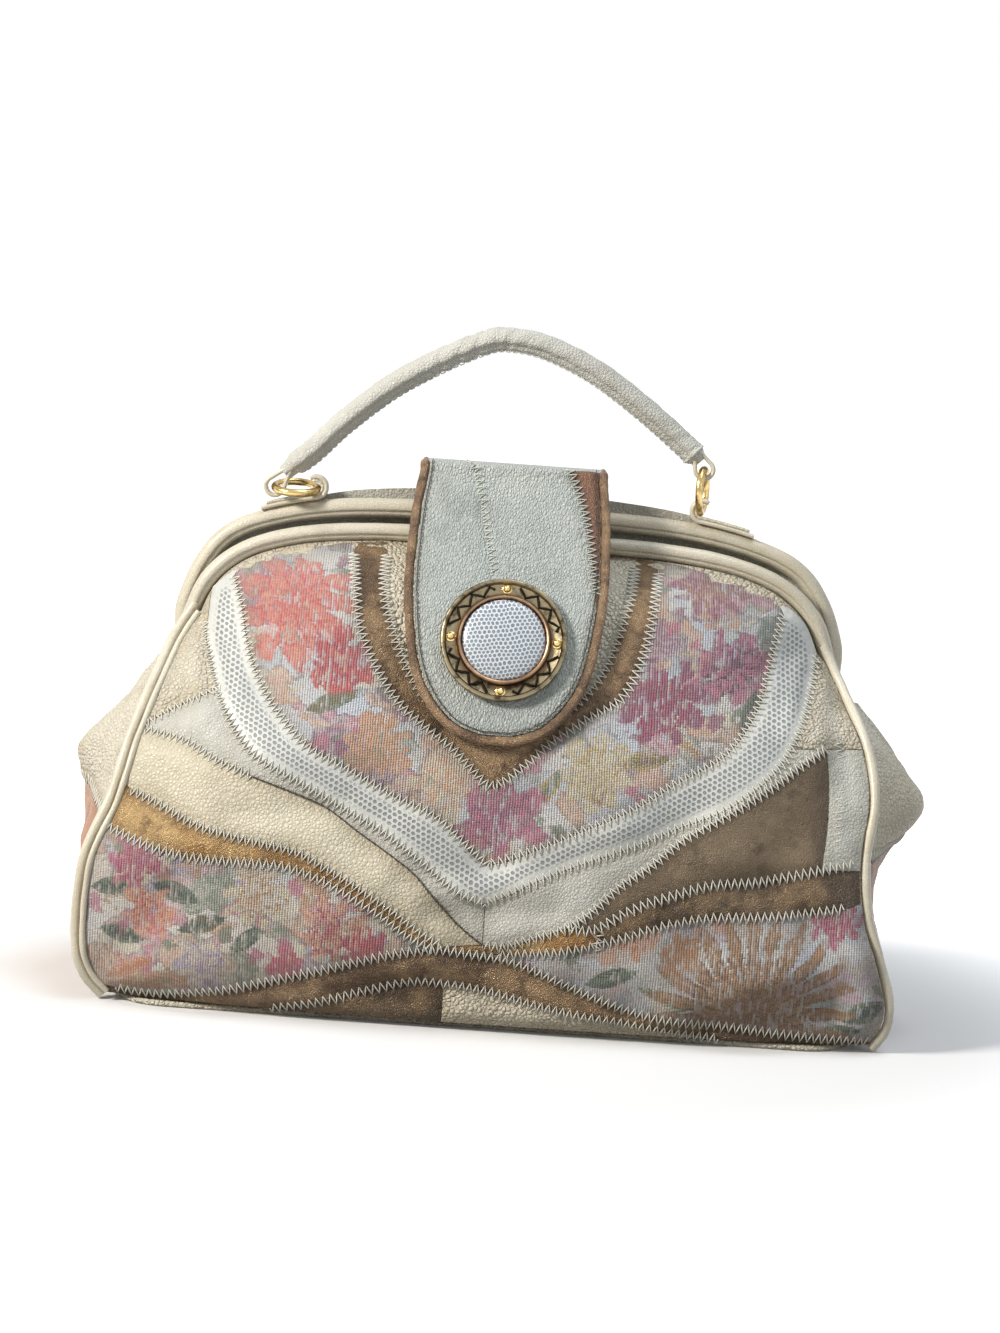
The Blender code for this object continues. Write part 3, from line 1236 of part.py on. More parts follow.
def make_ornament(joint):
    """The turned bezel, its collar, the domed insert and four beads."""
    centre, normal = facing(flap_depth, ORNAMENT_X, ORNAMENT_Z, FLAP_RULE_Z)
    seat = centre + normal * (FLAP_LINING + GAP + FLAP_LEATHER + MAGNET_BED)
    rim = BEZEL_RADIUS - BEZEL_RIM
    bezel = (
        (CHANNEL_RADIUS, 0.0), (BEZEL_RADIUS, 0.0), (BEZEL_RADIUS, BEZEL_HEIGHT),
        (rim, BEZEL_HEIGHT), (rim, BEZEL_FLOOR), (CHANNEL_RADIUS, BEZEL_FLOOR),
    )
    add_object("ornament_bezel", turned(bezel, seat, normal, TURN_STEPS), "bronze_metal", joint)
    outside = CHANNEL_RADIUS - GAP
    inside = outside - COLLAR_WIDTH
    collar = (
        (inside, 0.0), (outside, 0.0), (outside, COLLAR_HEIGHT - BEZEL_FLOOR / 2),
        (outside - COLLAR_WIDTH / 3, COLLAR_HEIGHT), (inside, COLLAR_HEIGHT),
    )
    add_object("ornament_collar", turned(collar, seat, normal, TURN_STEPS), "gold_metal", joint)
    dome = [(0.0, 0.0), (INSERT_RADIUS, 0.0), (INSERT_RADIUS, INSERT_EDGE)]
    for i in range(1, 4):
        angle = math.pi / 2 * i / 4
        dome.append((INSERT_RADIUS * math.cos(angle), INSERT_EDGE + INSERT_CROWN * math.sin(angle)))
    dome.append((0.0, INSERT_EDGE + INSERT_CROWN))
    add_object("ornament_insert", turned(dome, seat, normal, TURN_STEPS), "lizard_insert", joint)
    across = Vector((1.0, 0.0, 0.0))
    up = normal.cross(across)
    for i, place in enumerate(("right", "top", "left", "bottom")):
        angle = math.pi / 2 * i
        out = (across * math.cos(angle) - up * math.sin(angle)) * BEAD_CIRCLE
        foot = seat + out + normal * (BEZEL_FLOOR + GAP)
        bead = [(0.0, 0.0), (BEAD_RADIUS - BEAD_SINK, 0.0)]
        for j in range(4):
            turn = math.pi / 2 * j / 4
            height = BEAD_SINK + BEAD_RADIUS * math.sin(turn)
            bead.append(((BEAD_RADIUS - GAP) * math.cos(turn), height))
        bead.append((0.0, BEAD_SINK + BEAD_RADIUS))
        add_object(f"ornament_bead_{place}", turned(bead, foot, normal, 10), "gold_metal", joint)


def make_magnets(front_joint, flap_joint):
    """The hidden magnets that hold the flap down, on its lining and behind the front panel."""
    centre, normal = facing(flap_depth, ORNAMENT_X, ORNAMENT_Z, FLAP_RULE_Z)
    tall = FLAP_STANDOFF - MAGNET_BED - MAGNET_REST
    button = ((0.0, 0.0), (MAGNET_RADIUS, 0.0), (MAGNET_RADIUS, tall), (0.0, tall))
    flap_disc = turned(button, centre - normal * MAGNET_BED, -normal, 20)
    add_object("magnet_flap", flap_disc, "steel", flap_joint)
    disc = ((0.0, 0.0), (MAGNET_RADIUS, 0.0), (MAGNET_RADIUS, MAGNET_HEIGHT), (0.0, MAGNET_HEIGHT))
    centre, normal = facing(tucked_depth, ORNAMENT_X, PANEL_MAGNET_Z, RULE_SNAP)
    seat = centre - normal * (PANEL_THICKNESS + MAGNET_BED)
    add_object("magnet_panel", turned(disc, seat, -normal, 20), "steel", front_joint)


def main():
    """Builds the purse."""
    clear_scene()
    front_joint = add_joint("front_frame_joint", 0.0, 0.0, PIVOT_HEIGHT)
    rear_joint = add_joint("rear_frame_joint", 0.0, 0.0, PIVOT_HEIGHT)
    flap_joint = add_joint("flap_joint", FLAP_CENTRE_X, FLAP_HINGE_Y, FLAP_HINGE_Z)
    left_ring_joint = add_joint("left_ring_joint", LEFT_TAB_PIN_X, HANDLE_Y, LEFT_TAB_PIN_Z)
    right_ring_joint = add_joint("right_ring_joint", RIGHT_TAB_PIN_X, HANDLE_Y, RIGHT_TAB_PIN_Z)
    loop_joint = add_joint("left_loop_joint", *loop_pin(-1))
    swing_joint = add_joint("handle_joint", *loop_pin(-1))
    make_panels(front_joint, rear_joint)
    make_yoke()
    make_mesh_band()
    make_left_patches()
    make_right_patches()
    make_hem_patches()
    make_gussets()
    make_base()
    make_lining()
    make_piping()
    make_arch("rear", REAR_ARCH_SHARES, REAR_HALF_WIDTH, REAR_RISE, 1, REAR_COVER_BAND, rear_joint)
    make_arch("front", FRONT_ARCH_SHARES, FRONT_HALF_WIDTH, FRONT_RISE, -1, FRONT_COVER_BAND, front_joint)
    make_rivets()
    make_tabs(rear_joint)
    make_rings(left_ring_joint, right_ring_joint)
    make_loops(loop_joint, swing_joint)
    make_handle(swing_joint)
    make_strap(rear_joint)
    make_flap(flap_joint)
    make_ornament(flap_joint)
    make_magnets(front_joint, flap_joint)


main()
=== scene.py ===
# %% [markdown]
# # A patchwork purse on a hinged arch frame
# The purse is a soft bag of sewn leather and tapestry pieces under two hinged steel arches.
# A imported model of it is loaded first and stays fixed: every piece made here sits where that
# model says, and many are attached to one of its bodies.

import math

import bmesh
import bpy
import numpy as np
from mathutils import Matrix, Vector, noise
from mathutils.geometry import delaunay_2d_cdt


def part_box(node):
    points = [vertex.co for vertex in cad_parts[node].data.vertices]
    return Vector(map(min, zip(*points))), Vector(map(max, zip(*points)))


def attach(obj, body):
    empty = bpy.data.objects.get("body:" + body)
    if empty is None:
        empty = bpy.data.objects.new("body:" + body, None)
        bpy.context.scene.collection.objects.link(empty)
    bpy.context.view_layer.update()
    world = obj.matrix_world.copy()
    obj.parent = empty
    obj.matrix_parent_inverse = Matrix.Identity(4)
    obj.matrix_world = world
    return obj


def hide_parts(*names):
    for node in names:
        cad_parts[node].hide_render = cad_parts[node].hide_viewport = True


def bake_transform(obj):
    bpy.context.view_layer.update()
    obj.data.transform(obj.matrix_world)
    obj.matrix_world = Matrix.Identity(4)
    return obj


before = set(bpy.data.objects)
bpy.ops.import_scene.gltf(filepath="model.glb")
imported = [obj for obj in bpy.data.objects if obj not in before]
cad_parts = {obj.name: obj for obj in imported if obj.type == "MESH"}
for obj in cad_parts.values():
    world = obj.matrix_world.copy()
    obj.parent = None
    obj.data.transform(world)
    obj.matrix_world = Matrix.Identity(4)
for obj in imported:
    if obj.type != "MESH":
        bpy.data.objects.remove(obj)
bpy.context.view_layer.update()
scene = bpy.context.scene
scene.view_settings.view_transform = "Standard"

# %% [markdown]
# ## Camera
# The camera looks at the front from a little above, and is rolled by four degrees, so that the
# purse leans to the right as a hand-held picture shows it. A long lens keeps the sides parallel.

# %% Camera
AIM = Vector((-0.0028, -0.040, 0.1515))
CAMERA_DISTANCE = 1.337
CAMERA_RISE = math.radians(6)
CAMERA_ROLL = math.radians(4)

camera = bpy.data.objects.new("camera", bpy.data.cameras.new("camera"))
camera.data.lens = 85
camera.data.sensor_width = 36
back = Vector((0.0, -math.cos(CAMERA_RISE), math.sin(CAMERA_RISE)))
camera.location = AIM + back * CAMERA_DISTANCE
turn = (-back).to_track_quat("-Z", "Y").to_matrix() @ Matrix.Rotation(CAMERA_ROLL, 3, "Z")
camera.rotation_euler = turn.to_euler()
scene.collection.objects.link(camera)
scene.camera = camera
print("camera at", [round(v, 3) for v in camera.location])


# %% [markdown]
# ## Node helpers
# Materials are graphs of nodes. These short helpers add one node and set or link its inputs, so
# that each material below reads as a recipe.

# %% Node helpers
def srgb(red, green, blue):
    """A screen colour, 0 to 255, as the linear colour that a shader takes."""
    part = [c / 255 for c in (red, green, blue)]
    line = [c / 12.92 if c <= 0.04045 else ((c + 0.055) / 1.055) ** 2.4 for c in part]
    return (*line, 1.0)


def feed(tree, socket, value):
    """Links a socket to another one, or sets it to a plain value."""
    if isinstance(value, bpy.types.NodeSocket):
        tree.links.new(value, socket)
    else:
        socket.default_value = value


def put(tree, kind, inputs=None, **settings):
    """Adds a node, sets it, and sets or links its inputs."""
    node = tree.nodes.new(kind)
    for key, value in settings.items():
        setattr(node, key, value)
    for key, value in (inputs or {}).items():
        feed(tree, node.inputs[key], value)
    return node


def calc(tree, operation, *values, clamp=False):
    """One sum on numbers."""
    node = put(tree, "ShaderNodeMath", dict(enumerate(values)), operation=operation, use_clamp=clamp)
    return node.outputs[0]


def times(tree, first, second):
    """The product of two numbers."""
    return calc(tree, "MULTIPLY", first, second)


def vcalc(tree, operation, *values, out=0):
    """One sum on vectors."""
    node = put(tree, "ShaderNodeVectorMath", dict(enumerate(values)), operation=operation)
    return node.outputs[out]


def scaled(tree, vector, factor):
    """A vector times a number."""
    return put(tree, "ShaderNodeVectorMath", {0: vector, "Scale": factor}, operation="SCALE").outputs[0]


def fade(tree, value, low, high, to_low=0.0, to_high=1.0):
    """Maps a range of a value onto another, smoothly and clamped."""
    inputs = {"Value": value, "From Min": low, "From Max": high, "To Min": to_low, "To Max": to_high}
    return put(tree, "ShaderNodeMapRange", inputs, interpolation_type="SMOOTHSTEP").outputs[0]


def mixed(tree, share, first, second):
    """Mixes two colours."""
    return put(tree, "ShaderNodeMix", {0: share, 6: first, 7: second}, data_type="RGBA").outputs[2]


def shift(tree, vector, scale, detail, reach):
    """A small soft displacement that wanders from place to place, to either side."""
    wander = put(tree, "ShaderNodeTexNoise", {"Vector": vector, "Scale": scale, "Detail": detail})
    return scaled(tree, vcalc(tree, "SUBTRACT", wander.outputs["Color"], (0.5, 0.5, 0.5)), reach)


def clouds(tree, vector, scale, detail, rough=0.55):
    """Soft noise from 0 to 1."""
    inputs = {"Vector": vector, "Scale": scale, "Detail": detail, "Roughness": rough}
    return put(tree, "ShaderNodeTexNoise", inputs).outputs[0]


def new_group(name, inputs, outputs):
    """An empty shader group with named sockets, given as (name, kind, default)."""
    tree = bpy.data.node_groups.new(name, "ShaderNodeTree")
    for title, kind, default in inputs:
        socket = tree.interface.new_socket(name=title, in_out="INPUT", socket_type=f"NodeSocket{kind}")
        if default is not None:
            socket.default_value = default
    for title, kind in outputs:
        tree.interface.new_socket(name=title, in_out="OUTPUT", socket_type=f"NodeSocket{kind}")
    return tree, put(tree, "NodeGroupInput").outputs, put(tree, "NodeGroupOutput").inputs


def use_group(tree, group, inputs):
    """Places a shared group in a material."""
    return put(tree, "ShaderNodeGroup", inputs, node_tree=group).outputs


def new_material(name):
    """A material with a Principled shader, and the shader's node."""
    material = bpy.data.materials.new(name)
    material.use_nodes = True
    return material, material.node_tree, material.node_tree.nodes["Principled BSDF"]


def dress(tree, shader, height, distance, inputs, strength=1.0):
    """Feeds a shader's inputs by name, and its normal from a bump height."""
    bump = put(tree, "ShaderNodeBump", {"Height": height, "Distance": distance, "Strength": strength})
    for key, value in {**inputs, "Normal": bump.outputs[0]}.items():
        feed(tree, shader.inputs[key], value)


def object_place(tree):
    """The point's place in metres."""
    return put(tree, "ShaderNodeTexCoord").outputs["Object"]


# %% [markdown]
# ## Shared effects
# Leather grain is a field of little domes with creases between them. It is one group, used by
# every leather at its own scale. A second group bunches the surface up beside a seam, where the
# thread pulls it in: the pieces carry an attribute called seam, 1 on the seam and 0 inside.

# %% Leather grain and seam puckers
grain, g_in, g_out = new_group(
    "leather_grain",
    [("Vector", "Vector", None), ("Cells", "Float", 700.0)],
    [("Height", "Float"), ("Crease", "Float")],
)
wander = put(grain, "ShaderNodeTexNoise", {"Vector": g_in["Vector"], "Scale": 260.0, "Detail": 2.0})
bent = vcalc(grain, "ADD", g_in["Vector"], scaled(grain, wander.outputs["Color"], 0.0011))
cell = put(grain, "ShaderNodeTexVoronoi", {"Vector": bent, "Scale": g_in["Cells"]}, feature="F1")
line = put(grain, "ShaderNodeTexVoronoi", {"Vector": bent, "Scale": g_in["Cells"]},
           feature="DISTANCE_TO_EDGE")
crease = calc(grain, "SUBTRACT", 1.0, fade(grain, line.outputs["Distance"], 0.0, 0.3))
dome = calc(grain, "SUBTRACT", 1.0, cell.outputs["Distance"])
fine = clouds(grain, g_in["Vector"], 2600.0, 2.0)
total = calc(grain, "MULTIPLY_ADD", dome, 0.75, times(grain, fine, 0.18))
total = calc(grain, "SUBTRACT", total, times(grain, crease, 0.40))
grain.links.new(total, g_out["Height"])
grain.links.new(crease, g_out["Crease"])

pucker, p_in, p_out = new_group(
    "seam_pucker",
    [("Vector", "Vector", None), ("Depth", "Float", 1.0)],
    [("Height", "Float"), ("Mask", "Float")],
)
seam_mask = put(pucker, "ShaderNodeAttribute", attribute_name="seam").outputs["Fac"]
ripples = clouds(pucker, p_in["Vector"], 330.0, 1.5)
pull = times(pucker, calc(pucker, "SUBTRACT", ripples, 0.5), seam_mask)
pucker.links.new(times(pucker, pull, p_in["Depth"]), p_out["Height"])
pucker.links.new(seam_mask, p_out["Mask"])
print("groups:", grain.name, pucker.name)


# %% [markdown]
# ## Leathers
# All the leathers are one recipe with other colours: a base tone that drifts, painted shade in
# the grain's creases and beside the seams, and a sheen. The bronze ones are coated with metal
# foil, so they are part metallic, drift from gold to brown, and crinkle instead of pebbling.

# %% Leather recipe
def leather(name, base, pale, deep, cells=700.0, rough=0.5, relief=0.00022,
            stretch=(1.0, 1.0, 1.0), metallic=0.0, drift=14.0, foil=0.0, coat=0.0):
    """A grained leather, or a foil coated one. Its three colours are screen colours."""
    material, tree, shader = new_material(name)
    base, pale, deep = srgb(*base), srgb(*pale), srgb(*deep)
    place = object_place(tree)
    mapped = put(tree, "ShaderNodeMapping", {"Vector": place, "Scale": stretch}).outputs[0]
    skin = use_group(tree, grain, {"Vector": mapped, "Cells": cells})
    pulled = use_group(tree, pucker, {"Vector": place, "Depth": 2.4})
    spread = 0.18 - 0.09 * foil
    tone = fade(tree, clouds(tree, place, drift, 4.0, 0.6), 0.5 - spread, 0.5 + spread)
    colour = mixed(tree, tone, base, pale)
    stains = fade(tree, clouds(tree, place, drift * 3.1, 5.0, 0.65), 0.50, 0.72, 0.0, 0.35 + foil * 0.4)
    colour = mixed(tree, stains, colour, deep)
    # Painted shade: the grain's creases are darkened in the colour.
    colour = mixed(tree, times(tree, skin["Crease"], 0.30 - foil * 0.1), colour, deep)
    # Painted shade: the leather beside the seams is darkened in the colour.
    colour = mixed(tree, times(tree, pulled["Mask"], 0.46), colour, deep)
    speck = clouds(tree, place, 420.0, 3.0)
    gloss = calc(tree, "MULTIPLY_ADD", speck, 0.22, rough - 0.11)
    gloss = calc(tree, "MULTIPLY_ADD", skin["Crease"], 0.10, gloss, clamp=True)
    if metallic:
        shine = fade(tree, clouds(tree, place, 90.0, 4.0), 0.30, 0.62, metallic * 0.55, metallic)
        tree.links.new(shine, shader.inputs["Metallic"])
    crinkle = calc(tree, "ABSOLUTE", calc(tree, "SUBTRACT", clouds(tree, place, 120.0, 4.0, 0.6), 0.5))
    height = calc(tree, "MULTIPLY_ADD", crinkle, -1.2 - foil * 5.0, skin["Height"])
    height = calc(tree, "ADD", height, pulled["Height"])
    dress(tree, shader, height, relief,
          {"Base Color": colour, "Roughness": gloss, "Coat Weight": coat, "Coat Roughness": 0.28})
    return material


LEATHERS = (  # name, base, pale and deep colour, and what differs from the recipe
    ("cream", (222, 214, 192), (236, 230, 214), (168, 152, 122),
     dict(cells=540, rough=0.42, relief=0.00100)),
    ("beige", (217, 209, 186), (230, 224, 204), (166, 151, 122),
     dict(cells=640, rough=0.40, relief=0.00034, drift=10)),
    ("white", (205, 204, 195), (221, 220, 212), (158, 153, 138),
     dict(cells=800, rough=0.38, relief=0.00030)),
    ("mint", (184, 193, 190), (203, 207, 201), (134, 136, 126),
     dict(cells=760, rough=0.36, relief=0.00056, stretch=(1.3, 1.0, 0.72))),
    ("gathered_foil", (94, 77, 59), (152, 126, 94), (45, 36, 27),
     dict(cells=1300, rough=0.34, relief=0.00056, metallic=0.36, drift=40, foil=0.9)),
    ("gold_foil", (186, 142, 86), (222, 186, 130), (94, 66, 40),
     dict(cells=1300, rough=0.34, relief=0.00056, metallic=0.40, drift=30, foil=0.8)),
    ("olive_foil", (110, 93, 72), (142, 123, 97), (56, 45, 34),
     dict(cells=1500, rough=0.40, relief=0.00046, metallic=0.30, drift=30, foil=0.7)),
    ("rose_foil", (118, 94, 71), (184, 153, 116), (58, 45, 34),
     dict(cells=1400, rough=0.32, relief=0.00060, metallic=0.42, drift=34, foil=1.0)),
    ("piping_foil", (126, 101, 79), (173, 142, 110), (70, 54, 42),
     dict(cells=1500, rough=0.36, relief=0.00050, metallic=0.42, drift=70, foil=0.9)),
    ("copper", (184, 136, 104), (204, 158, 126), (108, 70, 50),
     dict(cells=900, rough=0.40, relief=0.00040, metallic=0.15, drift=22, foil=0.5)),
    ("umber", (122, 86, 66), (146, 108, 84), (70, 48, 36),
     dict(cells=1000, rough=0.42, relief=0.00030, metallic=0.25, drift=30, foil=0.4)),
    ("cord", (220, 211, 188), (234, 228, 210), (164, 148, 118),
     dict(cells=1100, rough=0.28, relief=0.00010, coat=0.35)),
    ("cover", (214, 205, 182), (227, 220, 202), (150, 138, 112),
     dict(cells=1000, rough=0.32, relief=0.00012, coat=0.25, drift=8)),
)
(cream, beige, white, mint, gathered_foil, gold_foil, olive_foil, rose_foil, piping_foil, copper, umber,
 cord, cover_hide) = (leather(f"{name}_leather", *tints, **own) for name, *tints, own in LEATHERS)
print("leathers:", len(bpy.data.materials))

# %% [markdown]
# ## Tapestry
# The tapestry is woven on a loom: coloured weft over a pale warp, so motifs have stepped edges
# and pale threads cross them. The pattern is read at the middle of each woven cell, which steps
# it. A blossom is a wheel of petals measured by angle and distance, and a leaf is a lens. Each
# piece of cloth has its own bunch of them, over a field of small sprigs.

# %% Weave, blossom and leaf groups
weave, w_in, w_out = new_group(
    "weave",
    [("Vector", "Vector", None), ("Warp", "Float", 0.0011), ("Weft", "Float", 0.0007)],
    [("Stepped", "Vector"), ("Height", "Float"), ("Thread", "Float")],
)
nudge = shift(weave, w_in["Vector"], 120.0, 2.0, 0.0011)
parts = put(weave, "ShaderNodeSeparateXYZ", {0: vcalc(weave, "ADD", w_in["Vector"], nudge)}).outputs
column = calc(weave, "DIVIDE", parts[0], w_in["Warp"])
row = calc(weave, "DIVIDE", parts[1], w_in["Weft"])
stepped = put(weave, "ShaderNodeCombineXYZ", {
    0: times(weave, calc(weave, "FLOOR", column), w_in["Warp"]),
    1: times(weave, calc(weave, "FLOOR", row), w_in["Weft"]),
}).outputs[0]
warp = calc(weave, "ABSOLUTE", calc(weave, "SINE", times(weave, column, math.pi)))
weft = calc(weave, "ABSOLUTE", calc(weave, "SINE", times(weave, row, math.pi)))
height = calc(weave, "MULTIPLY_ADD", warp, 0.65, times(weave, weft, 0.35))
between_cells = calc(weave, "SUBTRACT", 1.0, warp)
weave.links.new(stepped, w_out["Stepped"])
weave.links.new(height, w_out["Height"])
weave.links.new(between_cells, w_out["Thread"])

blossom, b_in, b_out = new_group(
    "blossom",
    [("Vector", "Vector", None), ("Centre", "Vector", None), ("Radius", "Float", 0.02),
     ("Petals", "Float", 7.0), ("Turn", "Float", 0.0), ("Depth", "Float", 0.45),
     ("Ragged", "Float", 1.0)],
    [("Mask", "Float"), ("Tone", "Float")],
)
away = vcalc(blossom, "SUBTRACT", b_in["Vector"], b_in["Centre"])
for scale, tear in ((70.0, 0.016), (240.0, 0.0052)):
    tear = times(blossom, b_in["Ragged"], tear)
    away = vcalc(blossom, "ADD", away, shift(blossom, b_in["Vector"], scale, 2.0, tear))
xy = put(blossom, "ShaderNodeSeparateXYZ", {0: away}).outputs
angle = calc(blossom, "ADD", calc(blossom, "ARCTAN2", xy[1], xy[0]), b_in["Turn"])
reach = calc(blossom, "SQRT", calc(blossom, "ADD", times(blossom, xy[0], xy[0]),
                                   times(blossom, xy[1], xy[1])))
reach = calc(blossom, "DIVIDE", reach, b_in["Radius"])
wheel = times(blossom, times(blossom, angle, b_in["Petals"]), 0.5)
rims = []
for function in ("SINE", "COSINE"):
    lobe = calc(blossom, "POWER", calc(blossom, "ABSOLUTE", calc(blossom, function, wheel)), 0.7)
    short = times(blossom, calc(blossom, "SUBTRACT", 1.0, lobe), b_in["Depth"])
    rims.append(calc(blossom, "SUBTRACT", 1.0, short))
outer_edge = calc(blossom, "SUBTRACT", rims[0], reach)
inner_edge = calc(blossom, "SUBTRACT", times(blossom, rims[1], 0.62), reach)
blossom.links.new(fade(blossom, outer_edge, -0.03, 0.05), b_out["Mask"])
streak = calc(blossom, "SINE", times(blossom, wheel, 6.0))
tone = calc(blossom, "MULTIPLY_ADD", streak, 0.14, reach)
tone = calc(blossom, "ADD", tone, fade(blossom, inner_edge, 0.10, 0.0, 0.30, 0.0))
inner_rim = calc(blossom, "ABSOLUTE", inner_edge)
tone = calc(blossom, "SUBTRACT", tone, fade(blossom, inner_rim, 0.07, 0.0, 0.0, 0.45))
tone = calc(blossom, "SUBTRACT", tone, fade(blossom, outer_edge, 0.16, 0.0, 0.0, 0.40))
grit = clouds(blossom, b_in["Vector"], 520.0, 2.0)
tone = calc(blossom, "MULTIPLY_ADD", calc(blossom, "SUBTRACT", grit, 0.5), 0.7, tone)
stepped_tone = calc(blossom, "DIVIDE", calc(blossom, "FLOOR", times(blossom, tone, 4.0)), 4.0)
blossom.links.new(stepped_tone, b_out["Tone"])

leaf, l_in, l_out = new_group(
    "leaf",
    [("Vector", "Vector", None), ("Centre", "Vector", None), ("Length", "Float", 0.02),
     ("Width", "Float", 0.006), ("Turn", "Vector", None)],
    [("Mask", "Float"), ("Tone", "Float")],
)
away = vcalc(leaf, "SUBTRACT", l_in["Vector"], l_in["Centre"])
turned_leaf = put(leaf, "ShaderNodeVectorRotate", {"Vector": away, "Rotation": l_in["Turn"]},
                  rotation_type="EULER_XYZ").outputs[0]
xy = put(leaf, "ShaderNodeSeparateXYZ", {0: turned_leaf}).outputs
along = calc(leaf, "DIVIDE", xy[0], l_in["Length"])
across = calc(leaf, "DIVIDE", calc(leaf, "ABSOLUTE", xy[1]), l_in["Width"])
lens = calc(leaf, "SUBTRACT", 1.0, times(leaf, along, along))
leaf.links.new(fade(leaf, calc(leaf, "SUBTRACT", lens, across), -0.03, 0.08), l_out["Mask"])
vein = calc(leaf, "SINE", times(leaf, calc(leaf, "ADD", along, across), 16.0))
leaf.links.new(calc(leaf, "MULTIPLY_ADD", vein, 0.3, across), l_out["Tone"])
print("groups:", weave.name, blossom.name, leaf.name)


# %% Tapestry recipe
MANY_PETALS = 12  # a blossom with more of them keeps a cleaner rim
SPRIG_SCALE, SPRIG_SIZE, PETAL_SCALE = 84.0, 0.24, 92.0  # cells to a metre, share of a cell


def palette(tree, pick, tints):
    """One of the tints, picked by a value from 0 to 1."""
    ramp = put(tree, "ShaderNodeValToRGB", {"Fac": pick})
    ramp.color_ramp.interpolation = "CONSTANT"
    stops = ramp.color_ramp.elements
    while len(stops) < len(tints):
        stops.new(0.5)
    for i, tint in enumerate(tints):
        stops[i].position = i / len(tints)
        stops[i].color = tint
    return ramp.outputs[0]


def sprigs(tree, place, colour, tints, seed):
    """A scatter of little petals in several tints over the ground."""
    moved = vcalc(tree, "ADD", place, (seed, seed * 0.37, 0.0))
    spot = put(tree, "ShaderNodeTexVoronoi", {"Vector": moved, "Scale": SPRIG_SCALE})
    tear = clouds(tree, moved, SPRIG_SCALE * 2.6, 3.0, 0.7)
    near = calc(tree, "MULTIPLY_ADD", calc(tree, "SUBTRACT", tear, 0.5), 1.3, spot.outputs["Distance"])
    mask = fade(tree, near, SPRIG_SIZE + 0.08, SPRIG_SIZE)
    pick = put(tree, "ShaderNodeSeparateColor", {0: spot.outputs["Color"]}).outputs[0]
    return mixed(tree, times(tree, mask, 0.8), colour, palette(tree, pick, tints))


def petal_field(tree, place, colour, tints, seed, weight):
    """A crowd of overlapping, bent petals in several tints, each with a darker rim."""
    moved = vcalc(tree, "ADD", place, (seed * 0.61, seed, 0.0))
    bent = vcalc(tree, "ADD", moved, shift(tree, moved, 48.0, 3.0, 0.034))
    inputs = {"Vector": bent, "Scale": PETAL_SCALE}
    petals = put(tree, "ShaderNodeTexVoronoi", inputs)
    rim = put(tree, "ShaderNodeTexVoronoi", inputs, feature="DISTANCE_TO_EDGE")
    pick = put(tree, "ShaderNodeSeparateColor", {0: petals.outputs["Color"]}).outputs
    lined = fade(tree, rim.outputs["Distance"], 0.10, 0.03, 0.0, 0.62)
    tint = mixed(tree, lined, palette(tree, pick[0], tints), srgb(98, 88, 88))
    streaks = clouds(tree, vcalc(tree, "MULTIPLY", bent, (1.0, 0.3, 1.0)), 420.0, 2.0)
    tint = mixed(tree, fade(tree, streaks, 0.42, 0.60, 0.0, 0.5), tint, srgb(226, 220, 210))
    shown = times(tree, fade(tree, pick[1], 0.30, 0.36), weight)
    return mixed(tree, shown, colour, tint)


